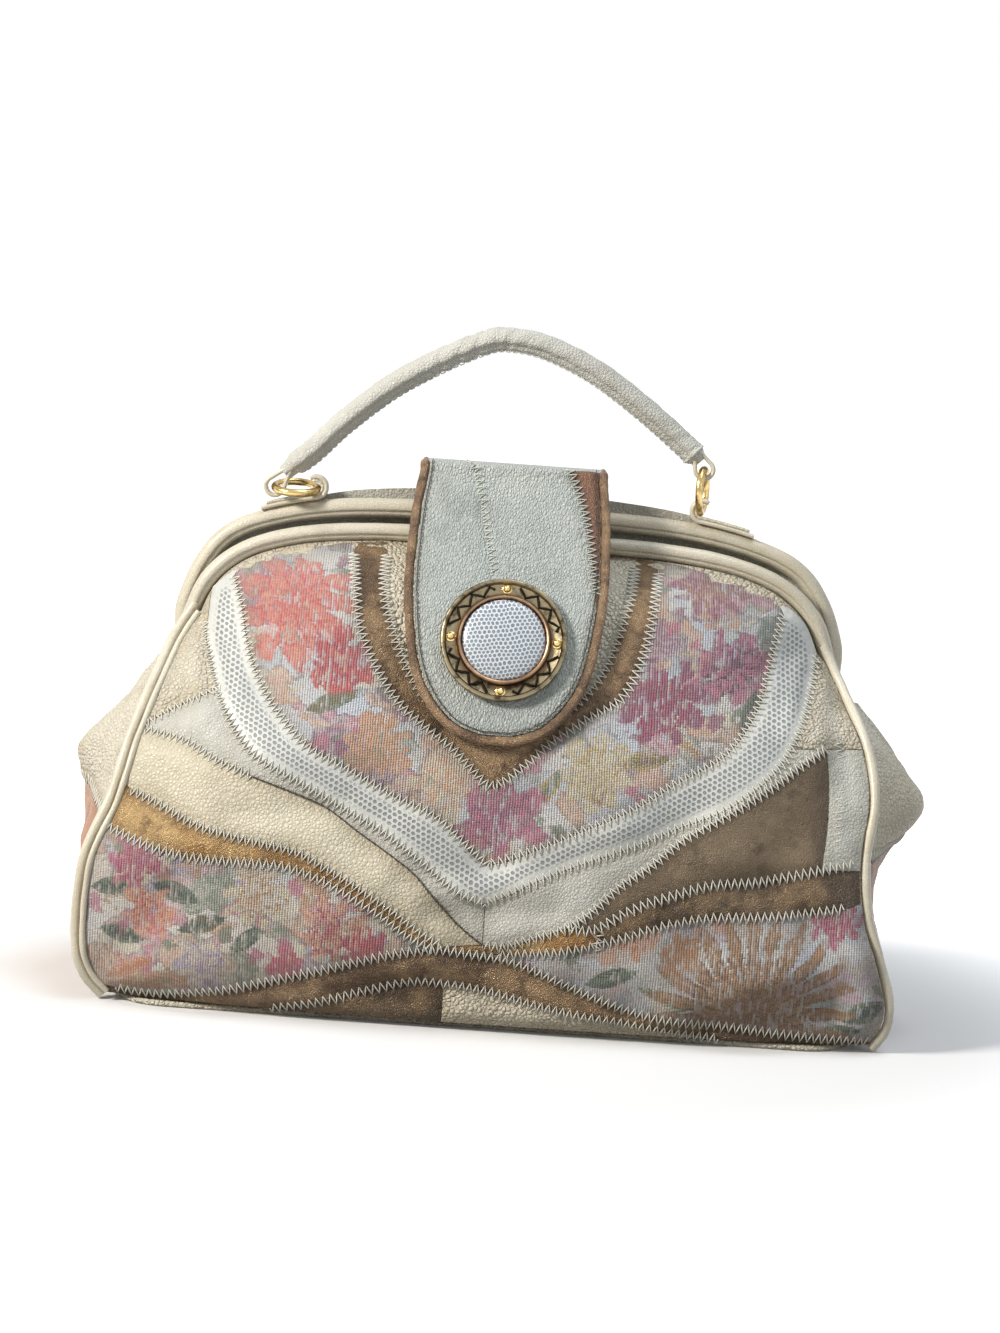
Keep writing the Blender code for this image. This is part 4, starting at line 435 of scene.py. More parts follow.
def tapestry(name, ground, tints, blossoms, leaves, seed, crowd=0.80):
    """Woven cloth with its own bunch of blossoms and leaves, placed in millimetres."""
    material, tree, shader = new_material(name)
    cloth = put(tree, "ShaderNodeTexCoord").outputs["UV"]
    cells = use_group(tree, weave, {"Vector": cloth})
    place = cells["Stepped"]
    tone = fade(tree, clouds(tree, place, 26.0, 4.0), 0.35, 0.65)
    colour = mixed(tree, tone, ground[0], ground[1])
    colour = petal_field(tree, place, colour, tints, seed, crowd)
    colour = sprigs(tree, place, colour, tints[::-1], seed + 3.0)
    worn = clouds(tree, vcalc(tree, "MULTIPLY", place, (1.0, 0.20, 1.0)), 620.0, 2.0)
    worn = fade(tree, worn, 0.40, 0.50, 0.36, 0.97)

    def drawn_at(group, x, z, **inputs):
        """Draws a motif at a place in millimetres."""
        return use_group(tree, group, {"Vector": place, "Centre": (x / 1000, arc(z / 1000), 0.0), **inputs})

    for x, z, length, width, slant, dark, light in leaves:
        drawn = drawn_at(leaf, x, z, Length=length / 1000, Width=width / 1000,
                         Turn=(0.0, 0.0, math.radians(-slant)))
        ink = mixed(tree, fade(tree, drawn["Tone"], 0.1, 0.8), dark, light)
        colour = mixed(tree, times(tree, drawn["Mask"], worn), colour, ink)
    for x, z, radius, petals, slant, deep, heart, tip in blossoms:
        drawn = drawn_at(blossom, x, z, Radius=radius / 1000, Petals=petals, Turn=math.radians(slant),
                         Depth=deep, Ragged=0.35 if petals > MANY_PETALS else 1.0)
        ink = mixed(tree, fade(tree, drawn["Tone"], 0.0, 0.8), heart, tip)
        ink = mixed(tree, fade(tree, drawn["Tone"], 0.8, 1.3, 0.0, 0.6), ink, srgb(232, 222, 208))
        colour = mixed(tree, times(tree, drawn["Mask"], worn), colour, ink)
    slub = clouds(tree, vcalc(tree, "MULTIPLY", cloth, (1.0, 9.0, 1.0)), 300.0, 3.0)
    pale = times(tree, cells["Thread"], fade(tree, slub, 0.35, 0.62, 0.06, 0.44))
    colour = mixed(tree, pale, colour, srgb(226, 224, 218))
    soft = fade(tree, clouds(tree, cloth, 900.0, 2.0), 0.35, 0.65, 0.0, 0.34)
    colour = mixed(tree, soft, colour, srgb(136, 124, 118))
    pulled = use_group(tree, pucker, {"Vector": cloth, "Depth": 1.8})
    # Painted shade: the cloth beside the seams is darkened in the colour.
    colour = mixed(tree, times(tree, pulled["Mask"], 0.40), colour, srgb(126, 114, 108))
    height = calc(tree, "ADD", cells["Height"], pulled["Height"])
    dress(tree, shader, height, 0.00060,
          {"Base Color": colour, "Roughness": 0.85, "Sheen Weight": 0.08, "Sheen Roughness": 0.45})
    return material


# %% [markdown]
# ## The bag's surface
# The bag's front and rear are one surface each: how far it stands out, by place across and
# height. It is read from short tables of shares, smoothly. Folds are added to it as soft ridges
# along lines, because a filled bag of soft leather sags and creases; the folds are the same for
# the shell and for every patch on it, so that nothing comes apart.

# %% Surface tables
def pairs(*row):
    """Pairs of shares, from one flat row of thousandths."""
    return [(a / 1000, b / 1000) for a, b in zip(row[::2], row[1::2])]


PANEL_TOP, HALF_WIDTH, HALF_DEPTH, CORNER_HALF_DEPTH = 0.204, 0.172, 0.079, 0.060
PIVOT = 0.152
FRONT_DEPTHS = pairs(0, 860, 50, 940, 150, 1000, 300, 990, 440, 940, 590, 830, 735, 690, 800, 630, 880, 540,
                     926, 370, 1000, -50)
CORNER_DEPTHS = pairs(0, 930, 100, 1000, 300, 1000, 500, 850, 640, 580, 735, 280, 800, 160, 1000, 150)
LEFT_EDGE = pairs(0, 920, 50, 970, 100, 995, 200, 1000, 310, 985, 420, 935, 550, 900, 650, 865, 740, 830,
                  800, 790, 880, 730, 930, 610, 970, 420, 1000, 200)
RIGHT_EDGE = pairs(0, 945, 50, 980, 100, 985, 200, 950, 280, 915, 400, 900, 520, 915, 620, 895, 740, 830,
                   800, 790, 880, 730, 930, 610, 970, 420, 1000, 200)
EAR_REACH = pairs(0, 100, 100, 200, 250, 350, 380, 700, 480, 1000, 560, 850, 660, 400, 740, 120, 1000, 0)


def catmull(a, b, c, d, t):
    """One coordinate between b and c on a Catmull-Rom line."""
    return 0.5 * (2 * b + (c - a) * t + (2 * a - 5 * b + 4 * c - d) * t**2
                  + (3 * b - a - 3 * c + d) * t**3)


def smooth_through(points, steps):
    """A smooth line through the points."""
    line = []
    last = len(points) - 1
    for i in range(last):
        four = (points[max(i - 1, 0)], points[i], points[i + 1], points[min(i + 2, last)])
        for step in range(steps):
            line.append(tuple(catmull(*c, step / steps) for c in zip(*four)))
    return [*line, tuple(points[last])]


def reader(table, scale=1.0):
    """Turns a table of (share along, value) into a fast smooth reading of whole arrays."""
    at, value = [], []
    for i in range(len(table) - 1):
        a = table[max(i - 1, 0)][1]
        b, c = table[i][1], table[i + 1][1]
        d = table[min(i + 2, len(table) - 1)][1]
        for step in range(24):
            t = step / 24
            at.append(table[i][0] + (table[i + 1][0] - table[i][0]) * t)
            value.append(min(max(catmull(a, b, c, d, t), min(b, c)), max(b, c)))
    at.append(table[-1][0])
    value.append(table[-1][1])
    value = np.array(value) * scale
    return lambda share: np.interp(share, at, value)


left_edge = reader(LEFT_EDGE, HALF_WIDTH)
right_edge = reader(RIGHT_EDGE, HALF_WIDTH)
corner_read = reader(CORNER_DEPTHS, CORNER_HALF_DEPTH)
middle_read = reader(FRONT_DEPTHS, HALF_DEPTH)
ear_read = reader(EAR_REACH)


def edge_x(side, z):
    """How far out the front and rear reach at a height."""
    return (left_edge if side < 0 else right_edge)(np.asarray(z) / PANEL_TOP)


def panel_depth(x, z):
    """How far from the middle plane the outer surface lies, without folds."""
    x, z = np.asarray(x, float), np.asarray(z, float)
    edge = corner_read(z / PANEL_TOP)
    reach = np.where(x < 0, left_edge(z / PANEL_TOP), right_edge(z / PANEL_TOP))
    share = np.minimum(np.abs(x) / reach, 1.0)
    return edge + (middle_read(z / PANEL_TOP) - edge) * (1.0 - share**3)


heights = np.linspace(0.0, 0.215, 500)
profile = panel_depth(np.zeros_like(heights), heights)
lengths = np.concatenate([[0.0], np.cumsum(np.hypot(np.diff(heights), np.diff(profile)))])


def arc(z):
    """The length of cloth from the hem up to a height."""
    return np.interp(z, heights, lengths)


# %% Folds and sag
FRONT_FOLDS = (  # from x, z to x, z, half width and height, in millimetres
    (-160, 60, -120, 74, 9, 1.5), (-158, 18, -132, 52, 8, -1.7), (-150, 12, -110, 26, 8, 1.3),
    (-70, 40, -40, 70, 10, 1.2), (-30, 58, 20, 66, 6, 1.3), (-24, 50, 26, 54, 5, -1.1),
    (-5, 70, 12, 98, 8, -1.2), (30, 40, 64, 66, 8, 1.3), (52, 60, 84, 100, 10, -1.4),
    (74, 66, 112, 112, 11, 1.7), (118, 74, 140, 118, 10, -2.0), (60, 12, 88, 44, 9, -1.6),
    (96, 8, 146, 22, 10, -3.4), (108, 30, 160, 40, 12, 2.3), (140, 120, 118, 150, 8, 1.6),
    (-140, 128, -118, 146, 8, -1.5), (-120, 100, -70, 118, 12, 1.4), (-96, 150, -60, 176, 14, 1.2),
    (62, 150, 104, 172, 14, 1.2), (-60, 14, 10, 24, 9, -1.4), (0, 120, 60, 108, 12, 1.0),
    (-137, 156, -126, 122, 3.2, 1.0), (-131, 160, -119, 130, 3.0, -0.9), (-125, 165, -112, 138, 3.2, 0.9),
    (136, 152, 131, 112, 4.0, 1.1), (142, 142, 150, 96, 4.5, -1.2), (126, 160, 120, 132, 3.4, 0.9),
    (-148, 108, -120, 104, 5, 0.9), (-112, 84, -64, 92, 6, -0.9), (84, 82, 134, 80, 7, 1.0),
    (18, 82, 52, 92, 6, 0.9), (-48, 118, -20, 104, 7, 0.9), (150, 62, 162, 22, 5, 1.4),
    (132, 60, 146, 14, 5, -1.5), (-46, 15, 34, 16, 13, -2.2), (-10, 40, 14, 30, 8, -1.0),
    (-120, 60, -100, 28, 6, 0.8), (-84, 66, -78, 30, 7, -0.8),
)
REAR_FOLDS = (
    (-150, 20, -110, 60, 12, 1.2), (-120, 90, -60, 70, 14, -1.2), (-60, 30, 30, 46, 14, 1.2),
    (40, 60, 110, 96, 14, 1.2), (90, 16, 150, 40, 12, -1.4), (-40, 100, 20, 120, 16, 0.9),
    (60, 120, 120, 140, 12, -1.0), (-130, 120, -90, 150, 12, 1.0),
)
FRONT_FOLD_GAIN = 1.3
REAR_SEAT = 0.0119  # the rear panel's upper part stays this far behind the middle plane


def folds_of(table, x, z):
    """The folds' height at places across and up."""
    total = np.zeros_like(x)
    for x0, z0, x1, z1, width, high in np.array(table, float) / 1000:
        run = np.array((x1 - x0, z1 - z0))
        t = np.clip(((x - x0) * run[0] + (z - z0) * run[1]) / (run @ run), 0, 1)
        away = (x - x0 - t * run[0]) ** 2 + (z - z0 - t * run[1]) ** 2
        total = total + high * np.exp(-away / width**2)
    return total


def rumple(x, z, scale, seed):
    """Gentle unevenness of hand-sewn leather."""
    return np.array([noise.noise(Vector((a * scale, b * scale, seed))) for a, b in zip(x, z)])


def front_skin(x, z):
    """The front's outer surface, with its folds."""
    x, z = np.asarray(x, float), np.asarray(z, float)
    calm = np.clip((PANEL_TOP - 0.012 - z) / 0.03, 0, 1) * np.clip(z / 0.012, 0, 1)
    uneven = rumple(x, z, 38.0, 1.7) * 0.0010 + rumple(x, z, 110.0, 8.2) * 0.0003
    return panel_depth(x, z) + (folds_of(FRONT_FOLDS, x, z) * FRONT_FOLD_GAIN + uneven) * calm


def rear_skin(x, z):
    """The rear's outer surface, kept behind the frame's cover."""
    x, z = np.asarray(x, float), np.asarray(z, float)
    calm = np.clip((0.178 - z) / 0.03, 0, 1) * np.clip(z / 0.012, 0, 1)
    uneven = rumple(x, z, 34.0, 5.1) * 0.0012
    depth = panel_depth(x, z) + (folds_of(REAR_FOLDS, x, z) + uneven) * calm
    return np.maximum(depth, REAR_SEAT)


print("cloth up the middle, mm:", round(float(arc(PANEL_TOP)) * 1000))


# %% [markdown]
# ## Sheet maker
# Every sewn piece is a thin closed sheet cut to an outline. Points are laid in a triangular grid
# inside the outline and joined by a Delaunay triangulation, which keeps the outline exact.
# Each point is then lifted to the surface, higher inside than at the seam, so that the piece
# swells a little between its stitches.

# %% Sheet maker
def resampled(line, step):
    """A line of points a step apart at most."""
    out = [line[0]]
    for a, b in zip(line, line[1:]):
        count = max(1, math.ceil(math.dist(a, b) / step))
        out += [tuple(p + (q - p) * i / count for p, q in zip(a, b)) for i in range(1, count + 1)]
    return out


def looped(ring, step):
    """A closed ring of points a step apart at most."""
    return resampled(ring + ring[:1], step)[:-1]


def thinned(ring, gap):
    """A closed ring without points that crowd the one before them."""
    return [p for i, p in enumerate(ring) if math.dist(p, ring[i - 1]) > gap]


def rounded_outline(points, step=0.0024, sharp=36.0):
    """Rounds an outline between its sharp corners."""
    def bend(i):
        a, b, c = (np.array(points[j % len(points)]) for j in (i - 1, i, i + 1))
        cross = (b - a)[0] * (c - b)[1] - (b - a)[1] * (c - b)[0]
        return abs(math.degrees(math.atan2(cross, (b - a) @ (c - b))))

    points = [p for i, p in enumerate(points) if bend(i) > 0.4]
    corners = [i for i in range(len(points)) if bend(i) > sharp] or [0]
    count = len(points)
    outline = []
    for k, start in enumerate(corners):
        stop = corners[(k + 1) % len(corners)]
        span = (stop - start) % count or count
        stretch = [points[(start + i) % count] for i in range(span + 1)]
        line = smooth_through(stretch, 4) if span > 1 else stretch
        outline += resampled(line, step)[:-1]
    return outline


def inside(x, z, outline):
    """Which places lie inside an outline."""
    a = np.array(outline)
    b = np.roll(a, -1, axis=0)
    cross = (a[:, 1] > z[:, None]) != (b[:, 1] > z[:, None])
    at = (b[:, 0] - a[:, 0]) * (z[:, None] - a[:, 1]) / (b[:, 1] - a[:, 1] + 1e-12) + a[:, 0]
    return (cross & (x[:, None] < at)).sum(axis=1) % 2 == 1


def from_outline(x, z, outline):
    """How far each place is from the outline."""
    a = np.array(outline)
    run = np.roll(a, -1, axis=0) - a
    best = np.full(len(x), 1e9)
    for (ax, az), (rx, rz) in zip(a, run):
        t = np.clip(((x - ax) * rx + (z - az) * rz) / (rx * rx + rz * rz + 1e-15), 0, 1)
        best = np.minimum(best, np.hypot(x - ax - t * rx, z - az - t * rz))
    return best


def cut_sheet(outline, cell):
    """Triangles that fill an outline: flat points and faces."""
    lo, hi = np.min(outline, axis=0), np.max(outline, axis=0)
    rows = np.arange(lo[1], hi[1], cell * 0.866)
    cols = np.arange(lo[0], hi[0], cell)
    x = np.concatenate([cols + (cell / 2 if i % 2 else 0.0) for i in range(len(rows))])
    z = np.repeat(rows, len(cols))
    keep = inside(x, z, outline)
    x, z = x[keep], z[keep]
    keep = from_outline(x, z, outline) > cell * 0.45
    flat = [Vector(p) for p in outline] + [Vector(p) for p in zip(x[keep], z[keep])]
    ring = list(range(len(outline)))
    points, _, faces, *_ = delaunay_2d_cdt(flat, [], [ring], 1, 1e-7)
    return np.array([tuple(p) for p in points]), faces


def sheet_piece(name, outline, skin, facing, material, rise=0.0013, thick=0.0010, cell=0.0026,
                swell=0.0006, dip=0.0005, reach=0.0030, place=None):
    """A closed sewn sheet on a surface. Its outer face stands rise above the skin."""
    place = place or (lambda a, b, high: (a, facing * (skin(a, b) + high), b))
    flat, faces = cut_sheet(outline, cell)
    x, z = flat[:, 0], flat[:, 1]
    away = from_outline(x, z, outline)
    lift = rise + swell * (1 - np.exp(-away / (2.2 * reach))) - dip * np.exp(-((away / reach) ** 2))
    seam_near = np.exp(-((away / (1.6 * reach)) ** 2))
    bm = bmesh.new()
    mark = bm.verts.layers.float.new("seam")
    outer = [bm.verts.new(p) for p in zip(*place(x, z, lift))]
    inner = [bm.verts.new(p) for p in zip(*place(x, z, lift - thick))]
    for i, near in enumerate(seam_near):
        outer[i][mark] = inner[i][mark] = near
    borders = {}
    for face in faces:
        bm.faces.new([outer[i] for i in face])
        bm.faces.new([inner[i] for i in face[::-1]])
        for i, j in zip(face, face[1:] + face[:1]):
            borders[(i, j)] = borders.get((i, j), 0) + 1
    for i, j in borders:
        if (j, i) not in borders:
            bm.faces.new((outer[j], outer[i], inner[i], inner[j]))
    return finished(name, bm, material, cloth=True)


def finished(name, bm, material, cloth=False, crisp=50.0):
    """Turns a bmesh into an object with outward faces, smooth shading and a cloth map."""
    bmesh.ops.recalc_face_normals(bm, faces=bm.faces)
    if cloth:
        layer = bm.loops.layers.uv.new("cloth")
        for face in bm.faces:
            for corner in face.loops:
                corner[layer].uv = (corner.vert.co.x, float(arc(corner.vert.co.z)))
    mesh = bpy.data.meshes.new(name)
    bm.to_mesh(mesh)
    bm.free()
    mesh.shade_smooth()
    mesh.set_sharp_from_angle(angle=math.radians(crisp))
    item = bpy.data.objects.new(name, mesh)
    for entry in material if isinstance(material, (list, tuple)) else [material]:
        mesh.materials.append(entry)
    scene.collection.objects.link(item)
    return item


def sew_front(item, slot, *nodes):
    """A front piece: bakes its place into its mesh and hides the fixed nodes it stands for."""
    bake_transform(item)
    return stand_for(item, slot, *nodes)


def sew_rear(item, slot, *nodes):
    """A rear piece: bakes its place into its mesh and hides the fixed nodes it stands for."""
    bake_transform(item)
    return stand_for(item, slot, *nodes)


def sit_on(item, body, slot, *nodes):
    """A piece that moves with one body."""
    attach(item, body)
    return stand_for(item, slot, *nodes)


def stand_for(item, slot, *nodes):
    """Hides the fixed nodes that the piece stands for. The slot is not used."""
    if nodes:
        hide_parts(*nodes)
    return item


# %% Outlines from the fixed model
def outline_of(node):
    """The outline of a front patch of the fixed model, as (x, z)."""
    bm = bmesh.new()
    bm.from_mesh(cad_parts[node].data)
    bmesh.ops.remove_doubles(bm, verts=bm.verts, dist=2e-6)
    bm.verts.index_update()
    bm.verts.ensure_lookup_table()
    front = {f for f in bm.faces if f.normal.y < -0.02}
    following = {}
    for face in front:
        for corner in face.loops:
            other = [f for f in corner.edge.link_faces if f is not face]
            if not other or other[0] not in front:
                following[corner.vert.index] = corner.link_loop_next.vert.index
    start = next(iter(following))
    ring, at = [start], following[start]
    while at != start and len(ring) < 2000:
        ring.append(at)
        at = following[at]
    points = [(bm.verts[i].co.x, bm.verts[i].co.z) for i in ring]
    bm.free()
    return points


def arch_line(shares, half_width, rise, steps=8):
    """An arch's centre line from left to right, as (x, z)."""
    right = smooth_through(shares, steps)
    left = [(-x, z) for x, z in right[:-1]]
    return [(half_width * x, PIVOT + rise * z) for x, z in left + right[::-1]]


REAR_ARCH = pairs(1000, 0, 1000, 220, 950, 520, 875, 730, 750, 860, 550, 955, 300, 990, 0, 1000)
FRONT_ARCH = pairs(1000, 0, 995, 180, 945, 500, 840, 750, 680, 900, 480, 970, 250, 990, 0, 1000)
REAR_SIZE, FRONT_SIZE = (0.1420, 0.0620), (0.1392, 0.0520)  # half width and rise over the rivets


def side_line(side, low, high, steps=26):
    """The panel's side edge."""
    return [(side * float(edge_x(side, z)), float(z)) for z in np.linspace(low, high, steps)]


def inward(line, inset):
    """Draws an arch line in towards its middle."""
    out = []
    for i in range(1, len(line) - 1):
        run = Vector(line[i + 1]) - Vector(line[i - 1])
        out.append(tuple(Vector(line[i]) + Vector((run.y, -run.x)).normalized() * inset))
    return out


# %% [markdown]
# ## Front and rear shells
# Each side of the bag is one continuous leather panel from the hem to its arch. The fixed model
# has two stiff halves with a fold between them; here one sheet runs across that fold.

# %% Shells
HEM_Z, SIDE_TOP, CROWN_FOOT = 0.003, 0.160, 0.163


def shell(title, crown, skin, facing, material):
    """One side of the bag as a sheet, from the hem up to its arch."""
    ring = side_line(-1, HEM_Z, SIDE_TOP) + crown + side_line(1, HEM_Z, SIDE_TOP)[::-1]
    return sheet_piece(title, looped(ring, 0.0048), skin, facing, material, rise=0.0, thick=0.0024,
                       cell=0.0048, swell=0.0, dip=0.0)


crown = [p for p in inward(arch_line(FRONT_ARCH, *FRONT_SIZE), 0.0040) if p[1] > CROWN_FOOT]
front_shell = shell("front_shell", crown, front_skin, -1, cream)
sew_front(front_shell, "cream_leather", "front_panel_lower", "front_panel_upper")

rear_crown = [(x, z + 0.0036 * max(0.0, 1 - (x / 0.100) ** 2))
              for x, z in arch_line(REAR_ARCH, 0.1385, 0.068) if z > CROWN_FOOT]
rear_shell = shell("rear_shell", rear_crown, rear_skin, 1, white)
sew_rear(rear_shell, "white_leather", "rear_panel_lower", "rear_panel_upper")
print("shells:", len(front_shell.data.polygons), len(rear_shell.data.polygons))

# %% [markdown]
# ## Colours of the tapestry pieces
# The three front pieces were cut from one furnishing cloth of flowers. Each gets its own layout:
# corals and mauves over the yoke, greens and lilacs at the lower left, and one big tan bloom at
# the lower right. The rear piece is a guess in the same colours.

# %% Tapestry cloths
CORAL, ROSE, PINK = srgb(208, 92, 92), srgb(170, 68, 98), srgb(198, 120, 146)
MAUVE, PLUM, LILAC = srgb(152, 92, 124), srgb(96, 60, 92), srgb(166, 150, 190)
PEACH, TAN, MUSTARD = srgb(218, 170, 140), srgb(184, 146, 112), srgb(196, 174, 110)
SAGE, PINE, OLIVE = srgb(112, 130, 108), srgb(50, 80, 74), srgb(118, 108, 72)
CREAM_INK, BLUE_INK = srgb(222, 212, 188), srgb(196, 204, 214)
GROUND = (srgb(226, 222, 215), srgb(212, 219, 231))
WARM_GROUND = (srgb(230, 221, 210), srgb(223, 223, 222))

yoke_cloth = tapestry(
    "yoke_tapestry", GROUND, [PINK, CREAM_INK, MAUVE, SAGE, PEACH, BLUE_INK],
    blossoms=[
        (-92, 172, 30, 9, 20, 0.55, CORAL, srgb(226, 150, 134)),
        (-70, 150, 15, 6, 60, 0.5, ROSE, CORAL),
        (-52, 118, 15, 7, 10, 0.5, TAN, PEACH),
        (-24, 102, 16, 6, 40, 0.5, PEACH, CREAM_INK),
        (2, 92, 19, 6, 0, 0.5, MAUVE, PINK),
        (40, 112, 17, 8, 25, 0.5, MUSTARD, CREAM_INK),
        (66, 142, 21, 8, 50, 0.55, ROSE, MAUVE),
        (96, 158, 17, 7, 15, 0.5, PLUM, PINK),
        (86, 188, 19, 10, 70, 0.6, TAN, MAUVE),
        (-14, 122, 8, 5, 0, 0.4, OLIVE, SAGE),
    ],
    leaves=[
        (-72, 134, 13, 4, 25, OLIVE, SAGE), (-40, 136, 15, 4, -20, SAGE, CREAM_INK),
        (20, 104, 12, 3.5, 60, SAGE, MUSTARD), (58, 118, 13, 4, 10, OLIVE, MUSTARD),
        (104, 140, 12, 4, 70, PINE, SAGE), (-108, 150, 10, 3, 70, SAGE, CREAM_INK),
        (76, 126, 11, 3, -30, TAN, CREAM_INK),
    ],
    seed=1.3,
)
left_cloth = tapestry(
    "left_tapestry", WARM_GROUND, [PEACH, LILAC, PINK, SAGE, CREAM_INK, TAN],
    blossoms=[
        (-150, 62, 13, 7, 0, 0.5, ROSE, PINK),
        (-142, 40, 12, 6, 30, 0.45, CORAL, PEACH),
        (-98, 52, 15, 9, 10, 0.6, TAN, CREAM_INK),
        (-66, 42, 16, 8, 50, 0.6, ROSE, PEACH),
        (-118, 20, 13, 6, 15, 0.5, LILAC, CREAM_INK),
        (-84, 22, 10, 6, 0, 0.5, CORAL, PINK),
        (-52, 34, 9, 5, 20, 0.5, CORAL, ROSE),
    ],
    leaves=[
        (-160, 50, 9, 4, 10, PINE, SAGE), (-132, 50, 11, 4.5, -15, PINE, SAGE),
        (-120, 38, 11, 4, 20, PINE, OLIVE), (-154, 30, 10, 4, -10, PINE, SAGE),
        (-136, 12, 22, 5, 12, TAN, PEACH), (-150, 16, 12, 3.5, 30, srgb(196, 128, 84), PEACH),
        (-100, 34, 10, 3.5, 40, SAGE, PINE), (-76, 60, 12, 3.5, -35, TAN, PEACH),
    ],
    seed=7.9,
)
right_cloth = tapestry(
    "right_tapestry", GROUND, [CREAM_INK, PEACH, SAGE, BLUE_INK, TAN, PINK],
    blossoms=[
        (112, 14, 46, 24, 4, 0.62, srgb(118, 84, 58), srgb(184, 142, 104)),
        (62, 46, 9, 4, 45, 0.25, srgb(196, 120, 84), PEACH),
        (80, 40, 9, 4, 20, 0.25, srgb(200, 132, 92), TAN),
        (146, 56, 12, 7, 10, 0.5, ROSE, PINK),
    ],
    leaves=[
        (52, 28, 12, 4, 20, SAGE, PINE), (160, 18, 10, 5, 30, PINE, SAGE),
        (66, 58, 8, 3, 0, PLUM, LILAC), (148, 8, 12, 4, 10, PINE, SAGE),
        (74, 20, 12, 3.5, -25, SAGE, CREAM_INK), (96, 62, 12, 3, 80, PEACH, ROSE),
    ],
    seed=4.4,
    crowd=0.45,
)
rear_cloth = tapestry(
    "rear_tapestry", GROUND, [PINK, CREAM_INK, LILAC, SAGE, PEACH, TAN],
    blossoms=[
        (-96, 84, 24, 9, 0, 0.55, CORAL, PEACH), (-50, 108, 18, 7, 30, 0.5, MAUVE, PINK),
        (0, 84, 28, 12, 10, 0.6, TAN, CREAM_INK), (52, 108, 20, 8, 50, 0.5, ROSE, PINK),
        (102, 88, 22, 9, 20, 0.55, MUSTARD, CREAM_INK), (-20, 128, 12, 6, 0, 0.5, LILAC, MAUVE),
    ],
    leaves=[
        (-72, 84, 14, 4, 30, PINE, SAGE), (-28, 100, 14, 4, -30, OLIVE, SAGE),
        (30, 92, 13, 4, 45, SAGE, MUSTARD), (78, 92, 14, 4, -20, PINE, SAGE),
        (-118, 104, 12, 4, 60, SAGE, CREAM_INK), (122, 108, 12, 4, -60, TAN, PEACH),
    ],
    seed=9.6,
)
print("cloths:", [m.name for m in (yoke_cloth, left_cloth, right_cloth, rear_cloth)])

# %% [markdown]
# ## Punched trim and lizard
# The white band round the yoke is punched with staggered round holes, and the insert of the
# ornament is a lizard skin of small dark scales in a white web. Both are a staggered grid of
# dots, so they share one group.

# %% Staggered dots, trim and insert
dots, d_in, d_out = new_group(
    "staggered_dots",
    [("Vector", "Vector", None), ("Pitch", "Float", 0.0024), ("Dot", "Float", 0.32),
     ("Squeeze", "Float", 1.0)],
    [("Dot", "Float")],
)
nudge = shift(dots, d_in["Vector"], 160.0, 1.0, 0.0016)
xy = put(dots, "ShaderNodeSeparateXYZ", {0: vcalc(dots, "ADD", d_in["Vector"], nudge)}).outputs
row = calc(dots, "DIVIDE", xy[1], times(dots, d_in["Pitch"], 0.866))
row_number = calc(dots, "FLOOR", row)
step = times(dots, calc(dots, "MODULO", calc(dots, "ABSOLUTE", row_number), 2.0), 0.5)
col = calc(dots, "ADD", calc(dots, "DIVIDE", xy[0], d_in["Pitch"]), step)
dx = calc(dots, "SUBTRACT", calc(dots, "FRACT", col), 0.5)
dz = times(dots, calc(dots, "SUBTRACT", calc(dots, "FRACT", row), 0.5), d_in["Squeeze"])
away = calc(dots, "SQRT", calc(dots, "ADD", times(dots, dx, dx), times(dots, dz, dz)))
edge = calc(dots, "SUBTRACT", away, d_in["Dot"])
dots.links.new(fade(dots, edge, 0.06, -0.06), d_out["Dot"])


def punched_trim():
    """White punched band."""
    material, tree, shader = new_material("punched_trim")
    cloth = put(tree, "ShaderNodeTexCoord").outputs["UV"]
    turned_cloth = put(tree, "ShaderNodeMapping", {"Vector": cloth, "Rotation": (0, 0, 0.5)}).outputs[0]
    holes = use_group(tree, dots, {"Vector": turned_cloth, "Pitch": 0.0024, "Dot": 0.34})
    pulled = use_group(tree, pucker, {"Vector": cloth, "Depth": 1.6})
    tone = fade(tree, clouds(tree, cloth, 40.0, 4.0), 0.3, 0.7)
    web = mixed(tree, tone, srgb(198, 200, 196), srgb(217, 217, 211))
    flat = times(tree, holes["Dot"], fade(tree, pulled["Mask"], 0.80, 0.35))
    colour = mixed(tree, flat, web, srgb(137, 142, 145))
    speck = clouds(tree, cloth, 900.0, 2.0)
    gloss = calc(tree, "MULTIPLY_ADD", speck, 0.3, 0.30)
    height = calc(tree, "MULTIPLY_ADD", speck, 0.3, calc(tree, "SUBTRACT", pulled["Height"], flat))
    dress(tree, shader, height, 0.00030, {"Base Color": colour, "Roughness": gloss})
    return material


